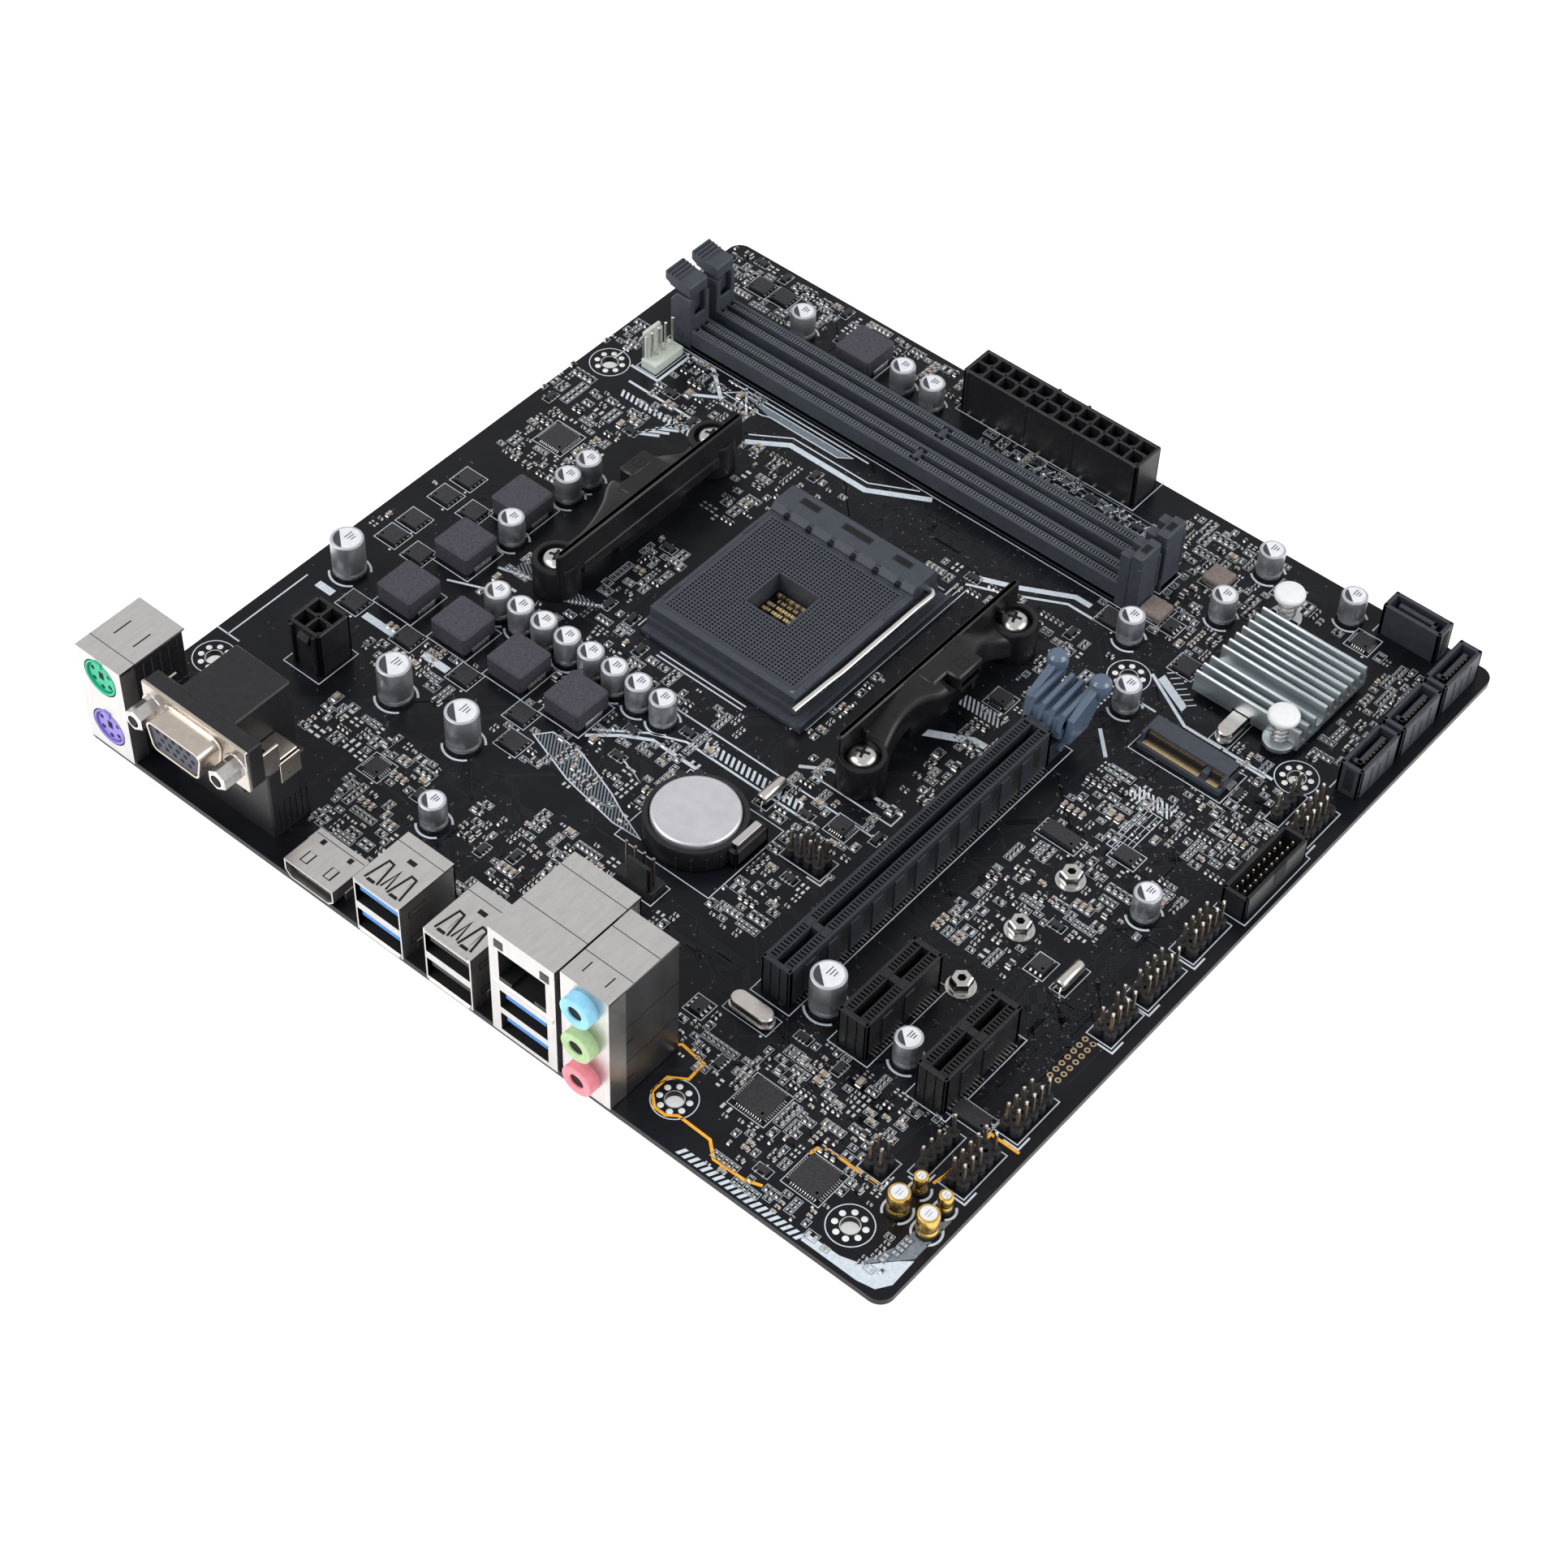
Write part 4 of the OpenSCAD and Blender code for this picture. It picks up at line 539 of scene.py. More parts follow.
# ---------------------------------------------------------------- memory slots
def memory_slots():
    """Both slots, each with a fixed tower at one end and a latch at the other."""
    for n, node in enumerate(("memory_slot_1", "memory_slot_2")):
        lo, hi = node_box(node)
        mid = (lo[0] + hi[0]) / 2
        y0, y1, h, w = -147.0, -5.0, 5.9, 6.6
        gap = 0.75
        s = Shape()
        latch_y = y1 - 6.6
        # body: two outer rails, two contact combs, a floor
        s.box(around(mid, w), (y0, y1), (0, 1.4), 0, c=0.1)
        for side in (-1, 1):
            outer = mid + side * w / 2
            rail = sorted((outer, outer - side * 0.95))
            s.box(rail, (y0 + 0.5, latch_y + 0.2), (0.3, h), 0, c=0.16)
            inner = sorted((mid + side * gap, mid + side * (gap + 0.42)))
            s.box(inner, (y0 + 5.6, latch_y + 0.2), (0.3, h - 0.25), 0, c=0.08)
            trough = sorted((mid + side * (gap + 0.42), outer - side * 0.95))
            # pocket beside each comb: a shallow fill in the darker slate, painted shade standing in for the
            # deep pocket
            s.box(trough, (y0 + 5.6, latch_y), (0.3, h - 1.25), 1)
            y = y0 + 7.4
            while y < latch_y - 0.8:
                if abs(y + 80) > 1.5:
                    s.box(trough, around(y, 0.42), (h - 1.3, h - 0.35), 3)
                y += 0.85
        s.block(mid, -80, 2 * gap, 1.7, (1.3, h - 0.2), 0, c=0.1)
        s.block(mid, -80, 3.4, 0.9, (h - 1.3, h - 0.05), 0, c=0.08)
        # fixed end tower
        s.box(around(mid, 7.6), (y0, y0 + 3.1), (0, 17.4), 0, c=0.3)
        for side in (-1, 1):
            s.box(sorted((mid + side * 3.8, mid + side * 1.1)), (y0 + 2.9, y0 + 6.0), (0, 16.2), 0,
                  c=0.25)
            s.box(around(mid + side * 3.55, 0.7), (y0 - 0.25, y0 + 1.3), (4.2, 14.2), 0, c=0.15)
        # darker slate in the gap between the tower cheeks and round the top hole: painted shade
        s.box(around(mid, 2.0), (y0 + 2.9, y0 + 4.5), (0, 9.5), 1)
        s.box(around(mid, 2.6), (y0 + 0.8, y0 + 2.3), (13, 17.46), 2)
        s.box(around(mid, 3.2), (y0 + 0.6, y0 + 2.6), (13, 17.43), 1)
        # latch tower: two cheeks joined at the inner wall
        for side in (-1, 1):
            x = sorted((mid + side * 1.9, mid + side * 3.4))
            s.prism("x", [(latch_y, 0), (y1, 0), (y1, 12.6), (y1 - 1.8, 15.2), (latch_y, 15.2)],
                    x[0], x[1], 0, c=0.2)
            s.lathe((-8.1, 3.2), [(1.15, x[0] - 0.04 if side < 0 else x[1] - 0.3),
                                  (1.15, x[0] + 0.3 if side < 0 else x[1] + 0.04)], 20, "x", 1)
            s.lathe((-8.1, 3.2), [(0.8, x[0] - 0.07 if side < 0 else x[1] - 0.3),
                                  (0.8, x[0] + 0.3 if side < 0 else x[1] + 0.07)], 20, "x", 0)
        s.box(around(mid, 4), (latch_y, latch_y + 0.7), (0, 9.6), 0, c=0.15)
        s.done(f"Memory_Slot_{n + 1}", [SLATE, SLATE_DARK_AND_SHADE, HOLE, SLATE_TOP], "slate_plastic",
               [node])
        # latch
        g = Shape()
        y = -8.1
        g.prism("x", [(y - 1.6, 1.4), (y + 1.2, 1.4), (y + 1.9, 3), (y + 1.9, 16.9),
                      (y - 2.1, 16.9), (y - 2.1, 10.6), (y - 1.4, 9)], mid - 1.7, mid + 1.7, 0, c=0.2)
        g.lathe((y, 3.2), [(0.8, mid - 3.0), (0.8, mid + 3.0)], 16, "x", 0)
        tab = [(y - 3.1, 15.9), (y + 2.6, 16.4), (y + 5.1, 17.8), (y + 5.1, 20.0)]
        for k in range(4):
            yy = y + 4.9 - 1.15 * k
            zz = 20.35 - 0.13 * k
            tab += [(yy, zz), (yy - 0.55, zz), (yy - 0.7, zz - 0.5), (yy - 1.0, zz - 0.5)]
        tab += [(y - 0.4, 19.3), (y - 2.7, 19.1), (y - 3.1, 18.6)]
        g.prism("x", tab, mid - 3.2, mid + 3.2, 0, c=0.18)
        for side in (-1, 1):
            g.box(around(mid + side * 2.9, 0.5), (y - 2.4, y + 3.6), (16.6, 18.4), 0, c=0.15)
        g.done(f"Memory_Latch_{n + 1}", [SLATE], "slate_plastic", [f"memory_latch_{n + 1}"],
               body=f"memory_latch_{'ab'[n]}", smooth=28)


# ---------------------------------------------------------------- expansion slots
def pcie_slot(s, x0, length, y, h=11.25, w=7.5):
    """One expansion slot along x, with its key bar and the leads beside it."""
    x1 = x0 + length
    gap = 1.0
    for side in (-1, 1):
        edge = y + side * w / 2
        s.box((x0, x1), sorted((edge, edge - side * 0.75)), (0, h), 0, c=0.16)
        s.box((x0, x1), sorted((y + side * gap, y + side * (gap + 0.4))), (0, h - 0.15), 0, c=0.08)
        trough = sorted((y + side * (gap + 0.4), edge - side * 0.75))
        # material 1 fills the troughs; in the long slot it is darker than the body, painted shade inside the
        # slot
        s.box((x0 + 0.6, x1 - 0.6), trough, (0.4, h - 1.3), 1)
        x = x0 + 1.6
        while x < x1 - 1.4:
            if not x0 + 12.3 < x < x0 + 14.6:
                s.box(around(x, 0.48), trough, (h - 1.35, h - 0.1), 0)
            x += 1.0
        s.box((x0 + 12.2, x0 + 14.8), trough, (h - 1.4, h), 0, c=0.1)
        # raised pads along the sides
        if side < 0:
            k = 0
            while x0 + 5 + 7.3 * k < x1 - 6:
                a = x0 + 5 + 7.3 * k
                s.prism("y", [(a, 0.6), (a + 4.4, 0.6), (a + 4.4, 5.6), (a + 3, 9.6), (a, 9.6)],
                        edge - 0.3, edge + 0.2, 0, c=0.12)
                # material 1 patch between the raised pads; in the long slot it is darker than the pads,
                # painted shade between them
                s.box((a + 4.6, a + 7.0), (edge - 0.03, edge + 0.3), (1.4, 9.4), 1)
                k += 1
        else:
            for k in range(int(length / 8)):
                a = x0 + 3 + 8 * k
                s.box((a, a + 5.4), (edge - 0.2, edge + 0.16), (1.0, 9.2), 0, c=0.12)
    for x in ((x0, x0 + 1.3), (x1 - 1.3, x1)):
        s.box(x, around(y, w), (0, h), 0, c=0.2)
    s.box((x0 + 12.6, x0 + 14.4), around(y, 2 * gap), (2, h - 0.2), 0, c=0.1)
    s.box((x0 + 0.6, x1 - 0.6), around(y, w - 1), (0, 3.3), 1)
    # leads beside the body
    x = x0 + 2.2
    while x < x1 - 1.4:
        for side in (-1, 1):
            if not x0 + 12.3 < x < x0 + 14.6:
                yy = y + side * (w / 2 + 0.55)
                s.block(x, yy, 0.34, 1.1, (0.06, 0.3), 3)
        x += 1.0


def expansion_slots():
    """The long slot and the two short ones below it."""
    s = Shape()
    y = LONG_SLOT_Y
    pcie_slot(s, SLOT_X, 89, y)
    for side in (-1, 1):
        s.prism("y", [(131.8, 0), (137.2, 0), (137.2, 4.2), (136.2, 5.2), (131.8, 5.2)],
                y + side * 2.9 - 0.7, y + side * 2.9 + 0.7, 0, c=0.15)
    # black troughs, floor and pad gaps against the darker-slate body: painted shade in the long slot
    s.done("Long_Expansion_Slot", [SLATE_DARK_AND_SHADE, BLACK, HOLE, TIN], "slate_plastic",
           ["pcie_x16_slot"])
    s = Shape()
    for k in (1, 2):
        pcie_slot(s, SLOT_X, 25, y - k * SLOT_PITCH)
    s.done("Short_Expansion_Slots", [BLACK, BLACK, HOLE, TIN], "slate_plastic", ["pcie_x1_slots"])


# ---------------------------------------------------------------- chokes, capacitors
def chokes():
    """Moulded chokes with their side terminals."""
    s = Shape()
    for lo, hi in islands("chokes"):
        cx, cy = middle(lo, hi)
        w = hi[0] - lo[0]
        s.block(cx, cy, w - 0.5, w - 0.5, (0.15, 1.2), 1, c=0.1)
        s.block(cx, cy, w, w, (0.9, hi[2]), 0, c=0.55)
        for side in (-1, 1):
            s.block(cx + side * w * 0.2, cy + (w / 2 - 0.1), 2.6, 0.5, (0.05, 3.4), 1, c=0.1)
            s.block(cx, cy + side * (w / 2 - 0.05), w * 0.52, 0.3, (0.05, 1.5), 2, c=0.05)
    s.done("Power_Chokes", [CHOKE, BLACK, TIN], "choke", ["chokes"])


def capacitor(s, cx, cy, r, h, gold=False):
    """A can on its square base; gold ones have two lines on top, the others a dark segment."""
    n = 36
    s.lathe((cx, cy), [(r + 0.12, 0.05), (r + 0.14, 0.9), (r - 0.45, 1.0)], 8, "z", 2,
            start=math.pi / 8)
    profile = [(r - 0.35, 0.9), (r - 0.05, 1.1), (r, 1.35), (r, 2.0), (r - 0.2, 2.25), (r - 0.2, 2.45),
               (r, 2.75), (r, h - 0.45), (r - 0.12, h - 0.15), (r - 0.42, h), (r - 0.62, h)]
    s.lathe((cx, cy), profile, n, "z", 0, ends=False)
    s.lathe((cx, cy), [(r - 0.62, h), (r - 0.68, h - 0.1), (0.0001, h - 0.08)], n, "z", 1, ends=False)
    if not gold:
        # dark polarity segment on the top
        pts = []
        for k in range(13):
            t = math.radians(78 + 124 * k / 12)
            pts.append((cx + (r - 0.8) * math.cos(t), cy + (r - 0.8) * math.sin(t)))
        s.poly(pts, h - 0.03, 3)
        for k in range(3):
            s.block(cx + 0.25 * r, cy - 0.25 - 0.2 * r * (k - 1), r * (0.62 - 0.12 * k), 0.2,
                    (h - 0.06, h - 0.03), 3)
    else:
        s.block(cx, cy + 0.35, r * 0.7, 0.1, (h - 0.06, h - 0.035), 4)
        s.block(cx, cy - 0.35, r * 0.6, 0.1, (h - 0.06, h - 0.035), 4)


def capacitors():
    """The plain cans and the gold ones of the sound section."""
    s = Shape()
    for lo, hi in islands("capacitor_cans"):
        capacitor(s, *middle(lo, hi), (hi[0] - lo[0]) / 2, hi[2])
    s.done("Capacitor_Cans", [CAN, CAN_TOP, BLACK, CAN_MARK, SILK_GREY], "aluminium",
           ["capacitor_cans", "capacitor_bases"], smooth=40)
    s = Shape()
    for lo, hi in islands("audio_capacitors"):
        capacitor(s, *middle(lo, hi), (hi[0] - lo[0]) / 2 - 0.1, hi[2], True)
    s.done("Audio_Capacitors", [CAN_GOLD, CAN_TOP, BLACK, CAN_MARK, SILK_GREY], "gold_can",
           ["audio_capacitors"], smooth=40)


# ---------------------------------------------------------------- cooler brackets
def cooler_brackets():
    """Both brackets and their four screws."""
    for node, side in (("cooler_bracket_upper", 1), ("cooler_bracket_lower", -1)):
        s = Shape()
        row = SOCKET_Y + side * BRACKET_OFFSET
        mid = 128.4

        def yy(a, b):
            return sorted((row + side * a, row + side * b))

        # inner wall with a flared top and a ledge
        s.box((mid - 31.9, mid + 31.9), yy(-4.7, -3.3), (6, 15), 0, c=0.35)
        s.box((mid - 31.4, mid + 31.4), yy(-4.9, -3.2), (13.6, 15), 0, c=0.4)
        s.box((mid - 29, mid + 29), yy(-4.3, -1.2), (3.4, 6.6), 0, c=0.4)
        s.box((mid - 24, mid + 24), yy(-4.9, -3.6), (4.2, 7.4), 0, c=0.3)
        s.box((mid - 11, mid + 11), yy(-3.7, 0), (0.05, 4), 0, c=0.3)
        # feet with screw recesses
        for x in BRACKET_FEET_X:
            profile = [(5.3, 0.05), (5.7, 0.5), (5.7, 8.7), (5.35, 9.25), (4.9, 9.4), (4.3, 9.25),
                       (4.2, 8.9), (4.2, 7.2), (0.001, 7.2)]
            s.lathe((x, row), profile, 40, "z", 0)
            s.lathe((x, row), [(2.9, 7.22), (2.3, 7.24), (2.3, 7.1)], 24, "z", 1)
        # arched bodies, swept from the foot up to the wall
        for end, x in zip((-1, 1), BRACKET_FEET_X):
            span = (mid + end * 4.2) - (x - end * 2.0)
            rows = 18
            rings = []
            for i in range(rows + 1):
                t = i / rows
                cx = x - end * 3.2 + (span + end * 1.2) * t
                rise = 0.5 - 0.5 * math.cos(math.pi * min(1, t * 1.25))
                top = 9.0 + 5.6 * rise
                out = 3.9 - 2.7 * math.sin(math.pi * min(1, t * 1.1)) + 4.0 * max(0, t - 0.72)
                low = 2.0 + 4.4 * rise
                ring = [(-3.4, low), (-3.4, top + 0.3), (-2.2, top + 0.1), (out - 1.6, top - 0.5),
                        (out - 0.5, top - 1.3), (out, top - 2.6), (out, low + 0.8), (out - 0.8, low)]
                rings.append([(cx, row + side * a, b) for a, b in ring])
            vs = [p for ring in rings for p in ring]
            fs = bands(rows, len(rings[0])) + caps(rows, len(rings[0]))
            if end * side > 0:
                fs = [f[::-1] for f in fs]
            s.add(vs, fs, 0)
        # middle web and the hook, with a plain round mark
        s.box((mid - 6, mid + 8), yy(-3.6, 1.6), (5.6, 14.8), 0, c=0.5)
        s.box((131.7 - 4.3, 131.7 + 4.3), yy(0.6, 5), (11.2, 15), 0, c=0.45)
        s.box((131.7 - 3.4, 131.7 + 3.4), yy(4.2, 5.0), (9.6, 13), 0, c=0.3)
        s.lathe((131.7, row + side * 2.6), [(1.75, 14.98), (1.75, 15.02), (1.35, 15.02), (1.35, 14.98)],
                28, "z", 1)
        s.block(131.7, row + side * 2.6, 1.7, 0.35, (14.9, 15.03), 1)
        # short ribs on the outer side of the wall
        for k in range(5):
            x = mid - 24 + 12 * k
            s.box(around(x, 0.9), yy(-3.5, -1.6), (6.4, 12.2), 0, c=0.2)
        s.done("Cooler_Bracket_Upper" if side > 0 else "Cooler_Bracket_Lower", [BRACKET, HOLE],
               "black_plastic", [node], smooth=38)
    s = Shape()
    for x in BRACKET_FEET_X:
        for y in (SOCKET_Y + BRACKET_OFFSET, SOCKET_Y - BRACKET_OFFSET):
            s.lathe((x, y), [(1.7, -1), (1.7, 7.2), (3.4, 7.22), (3.8, 7.4), (3.8, 7.9), (3.55, 8.1),
                             (3.45, 8.3), (3.2, 9.0), (2.6, 9.6), (1.7, 9.95), (0.9, 10.05),
                             (0.001, 10.05)], 36, "z", 0)
            for turn in (20, 110):
                c, d = math.cos(math.radians(turn)), math.sin(math.radians(turn))
                pts = [(-1.7, -0.36), (1.7, -0.36), (1.7, 0.36), (-1.7, 0.36)]
                s.poly([(x + a * c - b * d, y + a * d + b * c) for a, b in pts], 10.07, 1)
            s.poly([(x + 0.75 * math.cos(k * math.pi / 4), y + 0.75 * math.sin(k * math.pi / 4))
                    for k in range(8)], 10.075, 1)
    s.done("Bracket_Screws", [STEEL, HOLE], "steel", ["bracket_screws"], smooth=30)


# ---------------------------------------------------------------- storage and power
def sata_port(s, x, y, turn):
    """Slot along local x, at a corner point; turn is 0 or 90 degrees about z."""
    c, d = (1, 0) if turn == 0 else (0, 1)

    def at(u, v):
        return (x + u * c - v * d, y + u * d + v * c)

    def blk(u, v, z, mat=0, ch=0.0):
        a, b = at(u[0], v[0]), at(u[1], v[1])
        s.box(sorted((a[0], b[0])), sorted((a[1], b[1])), z, mat, c=ch)

    length, width, h = 15.4, 5.8, 9.0
    blk((0, length), (0, 1.0), (0, h), 0, 0.22)
    blk((0, length), (width - 1.0, width), (0, h), 0, 0.22)
    blk((0, 1.1), (0, width), (0, h), 0, 0.22)
    blk((length - 1.1, length), (0, width), (0, h), 0, 0.22)
    blk((0.6, length - 0.6), (0.6, width - 0.6), (0, 3.0), 1)
    blk((2.6, length - 2.6), (2.1, 3.3), (2.8, h - 0.7), 2, 0.12)
    blk((2.6, 3.7), (2.1, 4.2), (2.8, h - 0.7), 2, 0.1)
    for k in range(7):
        blk((3.9 + 1.27 * k, 4.4 + 1.27 * k), (1.95, 2.15), (3.0, h - 1.3), 3)
    for u in (4.4, 7.7, 11.0):
        blk((u - 0.25, u + 0.25), (-0.05, 0.2), (1.2, h - 1.6), 1)
    blk((6.0, 9.4), (-0.12, 0.3), (h - 2.6, h - 0.2), 0, 0.12)
    blk((-0.12, 0.3), (1.8, 4.0), (1.6, h - 1.2), 1)


def storage():
    """Storage ports, card socket and card standoffs."""
    s = Shape()
    for k in range(3):
        sata_port(s, 168.2 + 16.7 * k, -216.8, 0)
    sata_port(s, 214.4 + 5.8, -207.2, 90)
    s.done("Storage_Ports", [SLATE_MID, HOLE, SLATE_MID, GOLD], "slate_plastic", ["sata_ports"])
    # M.2 socket
    s = Shape()
    x, y = (149, 156.8), (-193.4, -171.2)
    s.box(x, y, (0, 1.6), 0, c=0.12)
    s.box((152.2, x[1]), y, (3.2, 4.4), 0, c=0.2)
    s.box((155.2, x[1]), y, (1.4, 4.3), 0, c=0.15)
    for a in ((y[0], y[0] + 0.8), (y[1] - 0.8, y[1]), (-189.2, -187.6)):
        s.box((150.2, 155.4), a, (1.4, 4.2 if a[0] != -189.2 else 3.3), 0, c=0.12)
    for a in ((-192.4, -189.4), (-187.4, -172.2)):
        s.box((149.4, 150.4), a, (1.55, 1.95), 2, c=0.05)
        s.box((151.2, 152.3), a, (1.55, 3.3), 1)
        yy = a[0] + 0.25
        while yy < a[1] - 0.1:
            s.box((149.5, 155), around(yy, 0.28), (1.6, 1.98), 2)
            s.box((151.6, 152.35), around(yy, 0.28), (2.2, 3.5), 2)
            s.box((156.7, 157.6), around(yy, 0.24), (0.05, 0.3), 3)
            yy += 0.5
    for a in ((y[0] - 0.9, y[0] + 0.1), (y[1] - 0.1, y[1] + 0.9)):
        s.box((152, 155), a, (0.05, 0.5), 3, c=0.1)
    s.done("Card_Socket", [SLATE, HOLE, BRONZE, TIN], "slate_plastic", ["m2_socket"])
    # standoffs
    s = Shape()
    for sx in (70.8, 90.8, 108.8):
        s.lathe((sx, -183.2),
                [(2.6, 0.7), (2.6, 2.6), (2.5, 2.85), (2.15, 3.1), (1.05, 3.1), (1.0, 3.05)],
                6, "z", 0, start=0.2, ends=False)
        s.lathe((sx, -183.2), [(3.35, 0.06), (3.35, 0.10), (1.8, 0.12)], 32, "z", 0, ends=False)
        s.lathe((sx, -183.2), [(2.7, 0.1), (2.7, 0.62), (2.2, 0.7)], 32, "z", 0)
        s.lathe((sx, -183.2), [(1.5, 3.12), (1.0, 3.11), (0.95, 2.9), (0.95, -1.2)], 24, "z", 0, ends=False)
        s.poly([(sx + 0.95 * math.cos(k * math.pi / 8), -183.2 + 0.95 * math.sin(k * math.pi / 8))
                for k in range(16)], 1.2, 1)
        s.lathe((sx, -183.2), [(1.6, -1.72), (1.8, -1.66), (1.8, -1.5)], 24, "z", 0)
    s.done("Card_Standoffs", [STEEL, HOLE], "steel", ["m2_standoffs"], smooth=28)


def power_connector(s, cx, cy, nx, ny):
    """A block of nx by ny open cells with a pin in each; returns its plan."""
    pitch, h = POWER_PITCH, 12.8
    x0, x1 = cx - nx * pitch / 2 - 0.6, cx + nx * pitch / 2 + 0.6
    y0, y1 = cy - ny * pitch / 2 - 0.6, cy + ny * pitch / 2 + 0.6
    # outer walls, inner walls and cell floors
    for x in ((x0, x0 + 0.9), (x1 - 0.9, x1)):
        s.box(x, (y0, y1), (0, h), 0, c=0.25)
    for y in ((y0, y0 + 0.9), (y1 - 0.9, y1)):
        s.box((x0, x1), y, (0, h), 0, c=0.25)
    for i in range(1, nx):
        s.box(around(cx + (i - nx / 2) * pitch, 0.7), (y0 + 0.5, y1 - 0.5), (0, h - 0.1), 0, c=0.12)
    for j in range(1, ny):
        s.box((x0 + 0.5, x1 - 0.5), around(cy + (j - ny / 2) * pitch, 0.7), (0, h - 0.1), 0, c=0.12)
    s.box((x0 + 0.5, x1 - 0.5), (y0 + 0.5, y1 - 0.5), (0.1, 2.2), 1)
    for i in range(nx):
        for j in range(ny):
            px, py = cx + (i - (nx - 1) / 2) * pitch, cy + (j - (ny - 1) / 2) * pitch
            s.block(px, py, 0.9, 0.9, (2.1, 8.4), 2, c=0.12)
            if (i + j) % 3 != 1:
                for a, b in ((-1, -1), (1, -1)):
                    ex, ey = px + a * 1.75, py + b * 1.75
                    s.prism("z", [(ex, ey), (ex - a * 0.9, ey), (ex, ey + 0.9)], 2.2, h - 0.15, 0)
            s.block(px, py, 1.1, 1.1, (0.05, 0.14), 3)
    return x0, x1, y0, y1


def power():
    """Both power connectors, each with its catch and ribs."""
    s = Shape()
    x0, x1, y0, y1 = power_connector(s, *MAIN_POWER, 2, 12)
    s.prism("y", [(x1 - 0.2, 8.2), (x1 + 1.2, 8.4), (x1 + 1.2, 9.2), (x1 - 0.2, 11.6)],
            -102, -98, 0, c=0.15)
    for y in (-104.4, -95.6):
        s.box((x1 - 0.2, x1 + 0.9), around(y, 0.8), (0.4, 12.3), 0, c=0.15)
    for y in (y0 + 1.2, -107, -93, y1 - 1.2):
        s.box((x0 - 0.22, x0 + 0.3), around(y, 0.9), (0.2, 12.4), 0, c=0.12)
    s.done("Main_Power_Connector", [BLACK, HOLE, TIN, SOLDER], "black_plastic",
           ["main_power_housing"])
    s = Shape()
    x0, x1, y0, y1 = power_connector(s, *PROCESSOR_POWER, 2, 2)
    s.prism("y", [(x0 + 0.2, 8.6), (x0 - 1.1, 8.8), (x0 - 1.1, 10), (x0 + 0.2, 11.6)],
            -19.9, -16.5, 0, c=0.15)
    for y in (y0 + 1.4, y1 - 1.4):
        s.box((x0 - 0.8, x0 + 0.3), around(y, 0.8), (0.4, 12.3), 0, c=0.15)
    s.done("Processor_Power_Connector", [BLACK, HOLE, TIN, SOLDER], "black_plastic",
           ["cpu_power_housing", "power_pins"])


